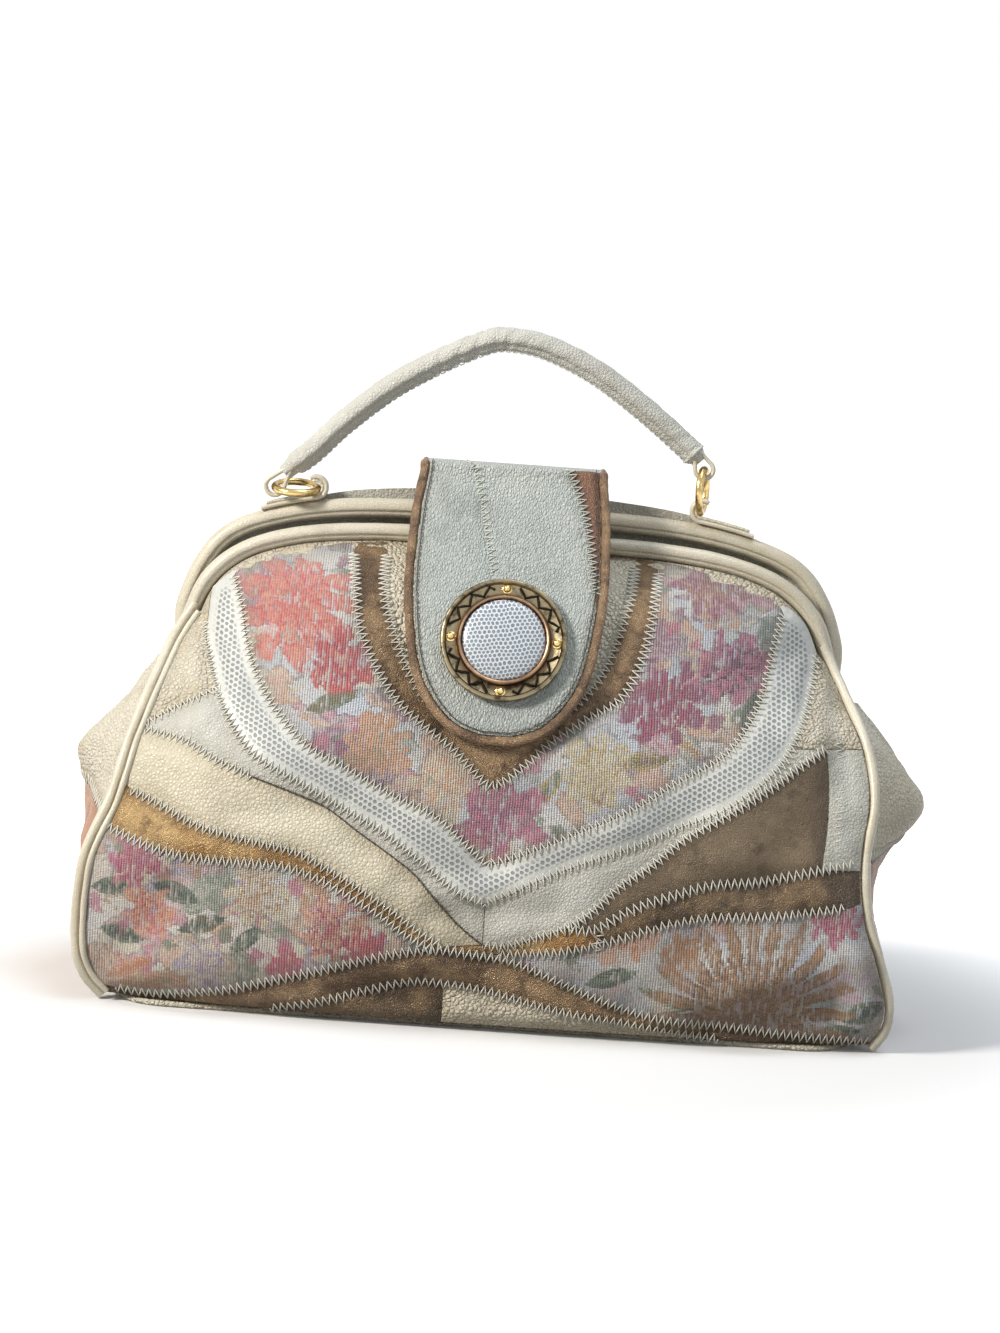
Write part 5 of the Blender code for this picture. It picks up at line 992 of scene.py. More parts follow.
def lizard():
    """Lizard skin: small scales in a raised white web."""
    material, tree, shader = new_material("lizard_insert")
    place = object_place(tree)
    sides = put(tree, "ShaderNodeSeparateXYZ", {0: place}).outputs
    flat = put(tree, "ShaderNodeCombineXYZ", {0: sides[0], 1: sides[2]}).outputs[0]
    turned_flat = put(tree, "ShaderNodeMapping", {"Vector": flat, "Rotation": (0, 0, 0.9)}).outputs[0]
    scales = use_group(tree, dots, {"Vector": turned_flat, "Pitch": 0.0019, "Dot": 0.36, "Squeeze": 0.86})
    tone = clouds(tree, place, 500.0, 2.0)
    scale_tint = mixed(tree, tone, srgb(104, 118, 134), srgb(150, 162, 176))
    colour = mixed(tree, scales["Dot"], srgb(226, 230, 234), scale_tint)
    gloss = calc(tree, "MULTIPLY_ADD", scales["Dot"], -0.12, 0.40)
    height = calc(tree, "MULTIPLY_ADD", tone, 0.2, times(tree, scales["Dot"], -0.8))
    dress(tree, shader, height, 0.00022,
          {"Base Color": colour, "Roughness": gloss, "Coat Weight": 0.35, "Coat Roughness": 0.15})
    return material


trim = punched_trim()
insert_skin = lizard()


# %% [markdown]
# ## Metals, thread and lining
# Ring and bezel are plated metal: a warm reflecting surface with fine scratches and tarnish in
# its hollows. The thread is matt with a twist, and the lining a plain fine cloth.

# %% Metals, thread and lining
def metal(name, bright, dull, rough, tarnish):
    """Plated metal with scratches and tarnish."""
    material, tree, shader = new_material(name)
    place = object_place(tree)
    spots = fade(tree, clouds(tree, place, 260.0, 5.0, 0.65), 0.46, 0.68, 0.0, tarnish)
    streaks = clouds(tree, vcalc(tree, "MULTIPLY", place, (1.0, 14.0, 1.0)), 900.0, 3.0)
    gloss = calc(tree, "MULTIPLY_ADD", streaks, 0.22, rough - 0.06)
    dress(tree, shader, calc(tree, "SUBTRACT", streaks, spots), 0.00004,
          {"Base Color": mixed(tree, spots, srgb(*bright), srgb(*dull)), "Metallic": 1.0,
           "Roughness": gloss}, strength=0.8)
    return material


def thread_material(name, pale, dark):
    """Sewing thread with its twist."""
    material, tree, shader = new_material(name)
    place = object_place(tree)
    twist = put(tree, "ShaderNodeTexWave", {"Vector": place, "Scale": 1400.0, "Distortion": 2.0})
    twist.bands_direction = "DIAGONAL"
    fuzz = clouds(tree, place, 1500.0, 2.0)
    dress(tree, shader, calc(tree, "ADD", twist.outputs["Fac"], fuzz), 0.00006,
          {"Base Color": mixed(tree, twist.outputs["Fac"], srgb(*dark), srgb(*pale)),
           "Roughness": calc(tree, "MULTIPLY_ADD", fuzz, 0.3, 0.5)}, strength=0.7)
    return material


def lining_material():
    """Fine plain-woven cotton."""
    material, tree, shader = new_material("lining_cloth")
    place = object_place(tree)
    sides = put(tree, "ShaderNodeSeparateXYZ", {0: place}).outputs
    flat = put(tree, "ShaderNodeCombineXYZ", {0: calc(tree, "ADD", sides[0], sides[1]), 1: sides[2]})
    cells = use_group(tree, weave, {"Vector": flat.outputs[0], "Warp": 0.0007, "Weft": 0.0007})
    tone = fade(tree, clouds(tree, place, 18.0, 4.0), 0.3, 0.7)
    colour = mixed(tree, tone, srgb(188, 168, 134), srgb(202, 184, 152))
    colour = mixed(tree, times(tree, cells["Thread"], 0.4), colour, srgb(148, 128, 98))
    dress(tree, shader, cells["Height"], 0.0002, {"Base Color": colour, "Roughness": 0.9})
    return material


gold, antique, collar_metal, steel, blackening = (metal(*row) for row in (
    ("gold_metal", (208, 182, 126), (112, 88, 52), 0.16, 0.6),
    ("antique_bronze", (142, 130, 104), (58, 50, 40), 0.30, 0.90),
    ("collar_metal", (152, 124, 100), (78, 60, 48), 0.28, 0.5),
    ("frame_steel", (168, 166, 162), (110, 106, 100), 0.34, 0.4),
    ("blackened_metal", (40, 36, 30), (20, 18, 16), 0.45, 0.4),
))
thread, mint_thread, dark_thread = (thread_material(*row) for row in (
    ("seam_thread", (242, 240, 230), (214, 211, 198)),
    ("mint_thread", (230, 232, 224), (192, 196, 186)),
    ("dark_thread", (92, 84, 74), (58, 52, 46)),
))
lining_cloth = lining_material()
print("materials:", len(bpy.data.materials))

# %% [markdown]
# ## Front patchwork
# Seventeen pieces are sewn over the front shell. Their outlines come from the fixed model, and
# are rounded between their corners. Each one is swollen between its seams.

# %% Front patches
FRONT_PATCHES = (
    ("front_tapestry_yoke", "yoke", yoke_cloth, "tapestry"),
    ("front_bronze_collar", "flap_surround", rose_foil, "bronze_leather"),
    ("front_mesh_band", "punched_band", trim, "mesh_trim"),
    ("front_cream_left", "left_shoulder", cream, "cream_leather"),
    ("front_white_left", "left_white_piece", white, "white_leather"),
    ("front_beige_left", "left_beige_piece", beige, "cream_leather"),
    ("front_bronze_left", "left_gold_strip", gold_foil, "bronze_leather"),
    ("front_tapestry_left", "left_tapestry_piece", left_cloth, "tapestry"),
    ("front_white_right", "white_centre_piece", white, "white_leather"),
    ("front_bronze_wedge", "right_bronze_wedge", olive_foil, "bronze_leather"),
    ("front_gathered_strip", "gathered_strip", gathered_foil, "bronze_leather"),
    ("front_white_strip", "right_white_strip", white, "white_leather"),
    ("front_cream_right", "right_shoulder", cream, "cream_leather"),
    ("front_tapestry_right", "right_tapestry_piece", right_cloth, "tapestry"),
    ("front_bronze_band", "hem_bronze_band", rose_foil, "bronze_leather"),
    ("front_hem_brown", "hem_brown_piece", gathered_foil, "tan_leather"),
    ("front_hem_cream", "hem_cream_piece", cream, "cream_leather"),
)


def gathered_skin(x, z):
    """The skin with the close pleats of the gathered strip."""
    pleats = 0.0007 * np.sin((x + 0.35 * z) * 2 * math.pi / 0.0105) * np.exp(-(((x - 0.055) / 0.034) ** 2))
    return front_skin(x, z) + np.maximum(pleats, -0.0003)


def clipped(outline, at, keep):
    """The part of an outline on one side of a place across: keep is -1 for the left, 1 for the right."""
    out = []
    for a, b in zip(outline, outline[1:] + outline[:1]):
        stays, next_stays = ((p[0] - at) * keep >= 0 for p in (a, b))
        if stays:
            out.append(a)
        if stays != next_stays:
            out.append((at, a[1] + (b[1] - a[1]) * (at - a[0]) / (b[0] - a[0])))
    return thinned(out, 0.0004)


STRIP_PART = 0.046  # left of this the gathered strip is gold

for node, title, finish, slot in FRONT_PATCHES:
    surface = gathered_skin if title == "gathered_strip" else front_skin
    swell = 0.0002 if title == "punched_band" else 0.0006
    outline = rounded_outline(outline_of(node))
    if title == "gathered_strip":
        end = resampled(clipped(outline, STRIP_PART, -1), 0.0024)
        sew_front(sheet_piece("gold_strip_end", end, surface, -1, gold_foil), slot)
        outline = resampled(clipped(outline, STRIP_PART + 0.0004, 1), 0.0024)
    patch = sheet_piece(title, outline, surface, -1, finish, swell=swell)
    sew_front(patch, slot, node)
print("front patches:", len(FRONT_PATCHES))

# %% [markdown]
# ## Rear patchwork
# The picture doesn't show the rear, so it is a plain guess in the same leathers: a cream foot, a
# bronze band, a tapestry panel and the white shell above it.

# %% Rear patches
REAR_SEAMS = {
    "foot": pairs(-1000, 200, -600, 220, -200, 290, 200, 290, 600, 220, 1000, 200),
    "band": pairs(-1000, 290, -600, 310, -200, 375, 200, 375, 600, 310, 1000, 290),
    "top": pairs(-1000, 660, -700, 700, -350, 780, 0, 800, 350, 780, 700, 700, 1000, 660),
}


def across_line(shares):
    """A seam right across the rear, ending at both side edges."""
    line = [(HALF_WIDTH * x, PANEL_TOP * z) for x, z in smooth_through(shares, 8)]
    kept = []
    for x, z in line:
        reach = float(edge_x(1 if x > 0 else -1, z)) - 0.0003
        kept.append((min(max(x, -reach), reach), z))
    return kept


def between(low, high, gap=0.0003):
    """The outline between two lines across the rear."""
    left = side_line(-1, low[0][1], high[0][1], 14)[1:-1]
    right = side_line(1, low[-1][1], high[-1][1], 14)[1:-1]
    ring = [(x, z + gap) for x, z in low] + right + [(x, z - gap) for x, z in high][::-1] + left[::-1]
    return thinned(ring, 0.0006)


hem_line = [(x * 0.92, 0.0034) for x in np.linspace(-HALF_WIDTH, HALF_WIDTH, 40)]
foot_line, band_line, top_line = (across_line(REAR_SEAMS[k]) for k in ("foot", "band", "top"))
for title, low, high, finish, slot in (
    ("rear_foot_piece", hem_line, foot_line, cream, "cream_leather"),
    ("rear_bronze_band", foot_line, band_line, rose_foil, "bronze_leather"),
    ("rear_tapestry_piece", band_line, top_line, rear_cloth, "tapestry"),
):
    sew_rear(sheet_piece(title, resampled(between(low, high), 0.0026), rear_skin, 1, finish), slot)
print("rear patches: 3")


# %% [markdown]
# ## Stitches
# The pieces are joined by wide zigzag stitches and a few plain ones. Each seam is a line of
# points on the surface that carries the surface's normal. Geometry Nodes resample the line,
# throw every second point to one side or the other, sink the points where the needle went
# through, and sweep a thread along it. One tree makes both kinds of stitch.

# %% Stitch tree
STITCH_SIZES = ("Pitch", "Width", "Thread", "Lift")
WIDE_ZIGZAG = (0.0031, 0.0049, 0.00035, 0.0002)


def stitch_tree(name, kind):
    """A node tree that sews a thread along the lines of a mesh."""
    tree = bpy.data.node_groups.new(name, "GeometryNodeTree")
    face = tree.interface
    face.new_socket(name="Seam", in_out="INPUT", socket_type="NodeSocketGeometry")
    for title, size in zip(STITCH_SIZES, WIDE_ZIGZAG):
        face.new_socket(name=title, in_out="INPUT", socket_type="NodeSocketFloat").default_value = size
    face.new_socket(name="Finish", in_out="INPUT", socket_type="NodeSocketMaterial")
    face.new_socket(name="Stitches", in_out="OUTPUT", socket_type="NodeSocketGeometry")
    given = put(tree, "NodeGroupInput").outputs
    quarter = calc(tree, "DIVIDE", given["Pitch"], 4.0)
    curve = put(tree, "GeometryNodeMeshToCurve", {"Mesh": given["Seam"]}).outputs[0]
    curve = put(tree, "GeometryNodeResampleCurve", {"Curve": curve})
    curve.mode = "LENGTH"
    tree.links.new(quarter, curve.inputs["Length"])
    index = put(tree, "GeometryNodeSplineParameter").outputs["Index"]
    normal = put(tree, "GeometryNodeInputNamedAttribute", {"Name": "out"}, data_type="FLOAT_VECTOR")
    tangent = put(tree, "GeometryNodeInputTangent").outputs[0]
    side = vcalc(tree, "NORMALIZE", vcalc(tree, "CROSS_PRODUCT", tangent, normal.outputs[0]))
    quarter_turn = times(tree, index, math.pi / 2)
    half_width = times(tree, given["Width"], 0.5)
    throw = times(tree, calc(tree, "SINE", quarter_turn), half_width)
    if kind == "zigzag":
        high = calc(tree, "ABSOLUTE", calc(tree, "COSINE", quarter_turn))
    else:
        high = calc(tree, "MINIMUM", calc(tree, "MODULO", index, 4.0), 1.0)
    lift = times(tree, given["Lift"], calc(tree, "MULTIPLY_ADD", high, 1.0, -0.45))
    moved = vcalc(tree, "ADD", scaled(tree, side, throw), scaled(tree, normal.outputs[0], lift))
    sewn = put(tree, "GeometryNodeSetPosition", {"Geometry": curve.outputs[0], "Offset": moved})
    ring = put(tree, "GeometryNodeCurvePrimitiveCircle", {"Resolution": 5, "Radius": given["Thread"]})
    inputs = {"Curve": sewn.outputs[0], "Profile Curve": ring.outputs[0], "Fill Caps": True}
    body = put(tree, "GeometryNodeCurveToMesh", inputs)
    real = put(tree, "GeometryNodeRealizeInstances", {"Geometry": body.outputs[0]})
    dyed = put(tree, "GeometryNodeSetMaterial", {"Geometry": real.outputs[0], "Material": given["Finish"]})
    put(tree, "NodeGroupOutput", {0: dyed.outputs[0]})
    return tree


ZIGZAG = stitch_tree("zigzag_stitch", "zigzag")
RUNNING = stitch_tree("running_stitch", "running")


def sew(name, seams, tree, sizes, finish):
    """Sews along lines of (point, normal), and returns the threads as one plain mesh."""
    mesh = bpy.data.meshes.new(name + "_seams")
    points, normals, edges = [], [], []
    for seam in seams:
        start = len(points)
        points += [tuple(p) for p, _ in seam]
        normals += [tuple(n) for _, n in seam]
        edges += [(start + i, start + i + 1) for i in range(len(seam) - 1)]
    mesh.from_pydata(points, edges, [])
    out = mesh.attributes.new("out", "FLOAT_VECTOR", "POINT")
    out.data.foreach_set("vector", np.array(normals, np.float32).ravel())
    holder = bpy.data.objects.new(name + "_seams", mesh)
    scene.collection.objects.link(holder)
    modifier = holder.modifiers.new("stitches", "NODES")
    modifier.node_group = tree
    sockets = {s.name: s.identifier for s in tree.interface.items_tree if s.in_out == "INPUT"}
    for title, size in zip(STITCH_SIZES, sizes):
        modifier[sockets[title]] = size
    modifier[sockets["Finish"]] = finish
    bpy.context.view_layer.update()
    shown = holder.evaluated_get(bpy.context.evaluated_depsgraph_get())
    made = bpy.data.meshes.new_from_object(shown)
    made.name = name
    bpy.data.objects.remove(holder)
    made.shade_smooth()
    if not made.materials:
        made.materials.append(finish)
    item = bpy.data.objects.new(name, made)
    scene.collection.objects.link(item)
    print(name, "faces:", len(made.polygons))
    return item


# %% Seam lines on a surface
def on_skin(line, skin, facing, lift=0.0013, step=0.0015):
    """A line of (x, z) laid on a surface, with the surface's normals."""
    line = resampled([tuple(p) for p in line], step)
    x, z = np.array(line).T
    eps = 0.0010
    dydx = (skin(x + eps, z) - skin(x - eps, z)) / (2 * eps)
    dydz = (skin(x, z + eps) - skin(x, z - eps)) / (2 * eps)
    return [(Vector((a, facing * (y + lift), b)), Vector((-da, facing, -db)).normalized())
            for a, y, b, da, db in zip(x, skin(x, z), z, dydx, dydz)]


def seam_line(shares):
    """A seam of the patchwork, from shares of the half width and the panel's height."""
    return smooth_through([(HALF_WIDTH * x, PANEL_TOP * z) for x, z in shares], 4)


def under_arch(line):
    """The part of a seam that lies on the panel, a little inside its edges."""
    crown_x, crown_z = np.array(crown).T
    return [(x, z) for x, z in line if z < np.interp(x, crown_x, crown_z) - 0.0016
            and abs(x) <= float(edge_x(1 if x > 0 else -1, z)) - 0.0012]


SEAMS = {
    "mesh_outer": pairs(-800, 860, -755, 760, -720, 680, -670, 605, -600, 540, -490, 495, -370, 445,
        -270, 405, -180, 355, -90, 300, -12, 275),
    "mesh_outer_right": pairs(-12, 275, 100, 325, 220, 370, 340, 410, 440, 450, 535, 485, 615, 530,
        690, 590, 735, 660, 765, 740, 785, 840),
    "mesh_inner": pairs(-720, 930, -672, 830, -650, 765, -620, 705, -570, 645, -480, 570, -380, 530,
        -255, 480, -150, 445, -80, 400, -12, 352),
    "mesh_inner_right": pairs(-12, 352, 105, 393, 215, 437, 330, 485, 440, 545, 540, 595, 600, 655,
        637, 720, 665, 820, 700, 930),
    "surround_outer": pairs(-415, 1000, -385, 890, -370, 820, -330, 745, -262, 667, -186, 618, -120, 583,
        -70, 545, -12, 512, 60, 555, 122, 608, 215, 662, 285, 700, 333, 785, 355, 890, 370, 1000),
    "surround_inner": pairs(-318, 1000, -314, 890, -280, 800, -235, 725, -175, 665, -100, 628, -12, 605,
        80, 628, 160, 675, 232, 745, 274, 843, 296, 910, 310, 1000),
    "shoulder": pairs(-880, 575, -770, 630, -690, 665),
    "white": pairs(-900, 565, -780, 553, -700, 525, -600, 497),
    "strip_top": pairs(-960, 462, -820, 420, -720, 387, -605, 368, -480, 352, -400, 323, -320, 289,
        -230, 245, -170, 210, -110, 182),
    "strip_foot": pairs(-980, 372, -840, 338, -740, 323, -630, 321, -520, 321, -425, 303, -345, 274,
        -260, 235, -190, 196, -130, 177),
    "band_top": pairs(-980, 35, -810, 25, -660, 45, -575, 65, -425, 105, -270, 147, -190, 165, -110, 175,
        -40, 168, 40, 161, 120, 142, 205, 113, 285, 88, 370, 64, 480, 50, 605, 44, 760, 32, 860, 26,
        970, 22),
    "band_foot": pairs(-520, 17, -420, 36, -300, 68, -180, 98, -100, 98, 5, 88, 90, 72, 210, 53, 325, 42,
        410, 32, 520, 22, 580, 16),
    "wedge_seam": pairs(-12, 190, 40, 188, 115, 212, 190, 238, 250, 275, 315, 330, 380, 370, 455, 428,
        530, 468, 605, 508, 690, 558, 760, 600, 800, 620),
    "wedge_foot": pairs(880, 395, 800, 380, 660, 352, 540, 343, 460, 323, 385, 300, 310, 265, 250, 235,
        190, 238),
    "gather_foot": pairs(930, 315, 780, 290, 665, 280, 545, 275, 430, 255, 365, 235, 290, 212, 160, 184,
        30, 171),
    "strip_end": pairs(262, 196, 272, 236),
    "right_rim": pairs(795, 735, 825, 660, 845, 560, 840, 460, 845, 400),
}
zigzags = [on_skin(under_arch(seam_line(shares)), front_skin, -1) for shares in SEAMS.values()]
sew_front(sew("front_zigzag_stitches", zigzags, ZIGZAG, WIDE_ZIGZAG, thread), "mesh_trim")

WHITE_SEAM = pairs(-600, 497, -490, 470, -410, 445, -325, 400, -205, 338, -135, 280, -80, 232, -12, 190)
dark_seam = on_skin(seam_line(WHITE_SEAM), front_skin, -1)
dark_stitches = sew("dark_seam_stitches", [dark_seam], RUNNING, (0.0030, 0.0, 0.00036, 0.0010), dark_thread)
sew_front(dark_stitches, "tan_leather")

rear_seams = [on_skin([p for p in line if abs(p[0]) < 0.150], rear_skin, 1)
              for line in (foot_line, band_line, top_line)]
sew_rear(sew("rear_zigzag_stitches", rear_seams, ZIGZAG, WIDE_ZIGZAG, thread), "mesh_trim")


# %% [markdown]
# ## Gussets
# The end walls are soft leather that folds outwards as ears below the rivets. Each is a grid
# that bulges between the two side edges, with a sharper tip on the right ear. A zigzag seam
# parts each wall: pale leather above, and copper below it, which on the right wall is umber,
# the copper painted darker as painted shade.

# %% Gussets
GUSSET_FOOT, GUSSET_TOP = 0.003, 0.142
GUSSET_INSET = 0.0028  # the wall's edges lie this far inside the panels' corners
WALL_THICK = 0.0018


def gusset_point(side, share, z):
    """A point on an end wall, share from -1 at the front to 1 at the rear."""
    half = float(corner_read(z / PANEL_TOP)) - GUSSET_INSET
    ear = float(ear_read(z / PANEL_TOP))
    reach = (0.0220 if side < 0 else 0.0244) * ear
    crest = 1.0 - abs(share) ** (2.0 if side < 0 else 1.7)
    wrinkle = 0.0022 * noise.noise(Vector((share * 2.3, z * 60, side * 3.1))) * crest
    wrinkle += 0.0010 * noise.noise(Vector((share * 6.1, z * 150, side * 7.7))) * crest
    fold = 0.0024 * math.sin(share * 5.0 + z * 90) * crest * ear
    tip_z, tip_share, tip_high = (0.099, -0.30, 0.0052) if side > 0 else (0.104, -0.10, 0.0020)
    tip = tip_high * math.exp(-(((z - tip_z) / 0.011) ** 2) - ((share - tip_share) / 0.42) ** 2)
    pleat = 0.0011 * math.sin(share * 16) * max(0.0, (z - 0.105) / 0.037) * crest
    out = float(edge_x(side, z)) + reach * crest + wrinkle + fold + tip + pleat
    return (side * out, half * share, z)


def wall_level(share, up, slant):
    """The height of a row of an end wall. Rows slant towards the middle of the wall."""
    return GUSSET_FOOT + (GUSSET_TOP - GUSSET_FOOT) * up + slant * share * math.sin(math.pi * up)


def gusset(name, side, colours, seam_share, slant):
    """One end wall as a closed sheet of two leathers, parted at a share of its height."""
    rows, cols = 56, 42
    bm = bmesh.new()
    mark = bm.verts.layers.float.new("seam")
    grid, inner = [], []
    for j in range(rows + 1):
        shares = [2 * i / cols - 1 for i in range(cols + 1)]
        grid.append([bm.verts.new(gusset_point(side, s, wall_level(s, j / rows, slant))) for s in shares])
        inner.append([bm.verts.new((v.co.x - side * WALL_THICK, v.co.y, v.co.z)) for v in grid[-1]])
        near = math.exp(-(((j / rows - seam_share) / 0.029) ** 2))
        for v in grid[-1] + inner[-1]:
            v[mark] = near
    for j in range(rows):
        leather_index = 0 if (j + 0.5) / rows > seam_share else 1
        for i in range(cols):
            for g, flip in ((grid, False), (inner, True)):
                ring = (g[j][i], g[j][i + 1], g[j + 1][i + 1], g[j + 1][i])
                bm.faces.new(ring[::-1] if flip else ring).material_index = leather_index
    edge = ([(0, i) for i in range(cols)] + [(j, cols) for j in range(rows)]
            + [(rows, i) for i in range(cols, 0, -1)] + [(j, 0) for j in range(rows, 0, -1)])
    for (a, b), (c, d) in zip(edge, edge[1:] + edge[:1]):
        bm.faces.new((grid[a][b], grid[c][d], inner[c][d], inner[a][b]))
    return finished(name, bm, colours)


LEFT_SEAM, LEFT_SLANT, RIGHT_SEAM, RIGHT_SLANT = 0.64, 0.016, 0.585, 0.004
left_wall = gusset("left_end_wall", -1, [cream, copper], LEFT_SEAM, LEFT_SLANT)
sit_on(left_wall, "bag_body", "cream_leather", "gusset_left")
# The right wall's lower part is umber: the left wall's copper painted darker, a painted shade on the side
# turned from the key lamp.
right_wall = gusset("right_end_wall", 1, [cream, umber], RIGHT_SEAM, RIGHT_SLANT)
sit_on(right_wall, "bag_body", "tan_leather", "gusset_right")
print("end walls:", len(left_wall.data.polygons), "faces each")


def wall_seam(side, height_share, slant):
    """The seam across an end wall."""
    line = []
    for share in np.linspace(-0.95, 0.95, 80):
        z = wall_level(share, height_share, slant)
        here = Vector(gusset_point(side, share, z))
        run = Vector(gusset_point(side, share + 0.01, z)) - Vector(gusset_point(side, share - 0.01, z))
        up = Vector(gusset_point(side, share, z + 0.001)) - Vector(gusset_point(side, share, z - 0.001))
        normal = run.cross(up).normalized()
        if normal.x * side < 0:
            normal.negate()
        line.append((here + normal * 0.0003, normal))
    return line


wall_seams = [wall_seam(-1, LEFT_SEAM, LEFT_SLANT), wall_seam(1, RIGHT_SEAM, RIGHT_SLANT)]
sit_on(sew("end_wall_zigzags", wall_seams, ZIGZAG, WIDE_ZIGZAG, thread), "bag_body", "mesh_trim")


# %% [markdown]
# ## Rolls and sweeps
# Piping, the handle, the frame's leather covers and the straps are all a cross-section carried
# along a line. One maker does them: it sets the section square to the line at every point, joins
# the rings, and closes the ends.

# %% Sweep maker
def skin_of(rings, closed=False):
    """Joins rings of points into a skin. Its ends are filled, unless it closes on itself."""
    bm = bmesh.new()
    rows = [[bm.verts.new(p) for p in ring] for ring in rings]
    size = len(rows[0])
    for low, high in zip(rows, rows[1:] + rows[:1] if closed else rows[1:]):
        for i in range(size):
            j = (i + 1) % size
            bm.faces.new((low[i], low[j], high[j], high[i]))
    if not closed:
        bm.faces.new(rows[0][::-1])
        bm.faces.new(rows[-1])
    return bm


def sweep(line, section_at, closed=False, up=None):
    """Carries a section along a line of points. section_at(share) gives (out, across) points."""
    rings = []
    line = [Vector(p) for p in line]
    count = len(line)
    side = None
    for i, here in enumerate(line):
        before = line[i - 1] if closed or i else line[i]
        after = line[(i + 1) % count] if closed or i < count - 1 else line[i]
        run = (after - before).normalized()
        if up is not None:
            side = run.cross(Vector(up)).normalized()
        elif side is None:
            side = run.orthogonal().normalized()
        else:
            side = (side - run * side.dot(run)).normalized()
        out = side.cross(run).normalized()
        section = section_at(i / max(count - 1, 1))
        rings.append([here + out * a + side * b for a, b in section])
    return skin_of(rings, closed)


def circle(radius, sides):
    """A round section."""
    turns = [2 * math.pi * i / sides for i in range(sides)]
    return [(radius * math.cos(t), radius * math.sin(t)) for t in turns]


def soft_box(half_a, half_b, corner, steps=4):
    """A rectangle section with round corners."""
    points = []
    for quarter in range(4):
        sa = (1, -1, -1, 1)[quarter]
        sb = (1, 1, -1, -1)[quarter]
        for step in range(steps + 1):
            t = math.pi / 2 * (quarter + step / steps)
            points.append((sa * (half_a - corner) + corner * math.cos(t),
                           sb * (half_b - corner) + corner * math.sin(t)))
    return points


# %% [markdown]
# ## Piping
# A round cord in pale leather is sewn into each of the four side edges. The two front ones climb
# to the arch's cover. A thinner binding lies on the front, just inside the left one.

# %% Piping
def piping_line(side, facing, top, out=0.0023):
    """The centre line of one roll of piping. With a negative out it lies on the panel."""
    edge = side_line(side, 0.003, top, 60)
    line = []
    for i, (x, z) in enumerate(edge):
        run = (Vector(edge[min(i + 1, len(edge) - 1)]) - Vector(edge[max(i - 1, 0)])).normalized()
        y = facing * (float(corner_read(z / PANEL_TOP)) - 0.00095)
        if out < 0:
            y = facing * (float(front_skin([x + side * out], [z])[0]) + 0.0017)
        line.append((x + side * run.y * out, y, z - side * run.x * out))
    return line


def piping(title, node, side, facing, top):
    """One roll of piping, a little uneven along its length."""
    def section(share):
        return circle(0.0021 * (1 + 0.05 * math.sin(share * 46 + side)), 12)

    roll = finished(title, sweep(piping_line(side, facing, top), section), cord)
    return (sew_front if facing < 0 else sew_rear)(roll, "cream_leather", node)


piping("left_front_piping", "piping_front_left", -1, -1, 0.166)
piping("right_front_piping", "piping_front_right", 1, -1, 0.166)
strand = sweep(piping_line(-1, -1, 0.164, -0.0011),
               lambda share: circle(0.00135 * (1 + 0.06 * math.sin(share * 60)), 10))
sew_front(finished("left_binding", strand, cord), "cream_leather")
piping("left_rear_piping", "piping_rear_left", -1, 1, 0.146)
piping("right_rear_piping", "piping_rear_right", 1, 1, 0.146)
print("piping: 4 rolls and a binding")

# %% [markdown]
# ## Base and lining
# The base is a leather sheet with a rounded rim, flat underneath, where the purse stands on it.
# The lining is a cloth bag a few millimetres inside the leather.

# %% Base
def base_ring(inset, z):
    """The base's rounded outline at an inset and a height."""
    return [Vector((a, b, z)) for a, b in soft_box(0.158 - inset, 0.064 - inset, 0.024 - inset, 10)]


BASE_EDGE = ((0.0007, 0.0), (0.0002, 0.0003), (0.0, 0.0011), (0.0003, 0.0019), (0.0009, 0.0022))
base = finished("base_sheet", skin_of([base_ring(*row) for row in BASE_EDGE]), cream)
sit_on(base, "bag_body", "cream_leather", "base_panel")


# %% Lining
LINING_GAP = 0.0032  # from the side edges


def lining_ring(z, inset):
    """One level of the lining, with soft vertical folds."""
    left = -float(edge_x(-1, z)) + LINING_GAP + inset
    right = float(edge_x(1, z)) - LINING_GAP - inset
    xs = np.linspace(left, right, 60)
    ease = float(np.interp(z / PANEL_TOP, (0, 0.08, 0.2), (0.945, 0.98, 0.985)))
    depth = panel_depth(xs, np.full_like(xs, z)) * ease - 0.0056 - inset
    depth = depth - 0.0010 * (1 + np.sin(xs * 140 + z * 30)) * min(z / 0.03, 1.0)
    depth = np.maximum(depth, 0.004)
    front = [Vector((x, -d, z)) for x, d in zip(xs, depth)]
    rear = [Vector((x, d, z)) for x, d in zip(xs[::-1], depth[::-1])]
    return front + rear


LINING_FOOT, LINING_TOP, LINING_THICK = 0.0052, 0.138, 0.0010
outer_rings = [lining_ring(float(z), 0.0) for z in np.linspace(LINING_FOOT, LINING_TOP, 30)]
inner_rings = [lining_ring(float(z), LINING_THICK)
               for z in np.linspace(LINING_FOOT + LINING_THICK, LINING_TOP, 30)]
lining = finished("cloth_lining", skin_of([*outer_rings, *inner_rings[::-1]]), lining_cloth)
sit_on(lining, "bag_body", "lining_cloth", "lining")

# %% [markdown]
# ## Frame covers
# Each steel arch is hidden in a tube of pale leather, sewn along its inner side. The section is
# an oval with a crease low on its front face, which catches a thin line of shade.

# %% Frame covers
ARCH_Y = 0.0050  # each arch's distance from the middle plane
COVER_HALF_DEPTH, COVER_STEP, COVER_END = 0.0042, 0.0022, 0.0045


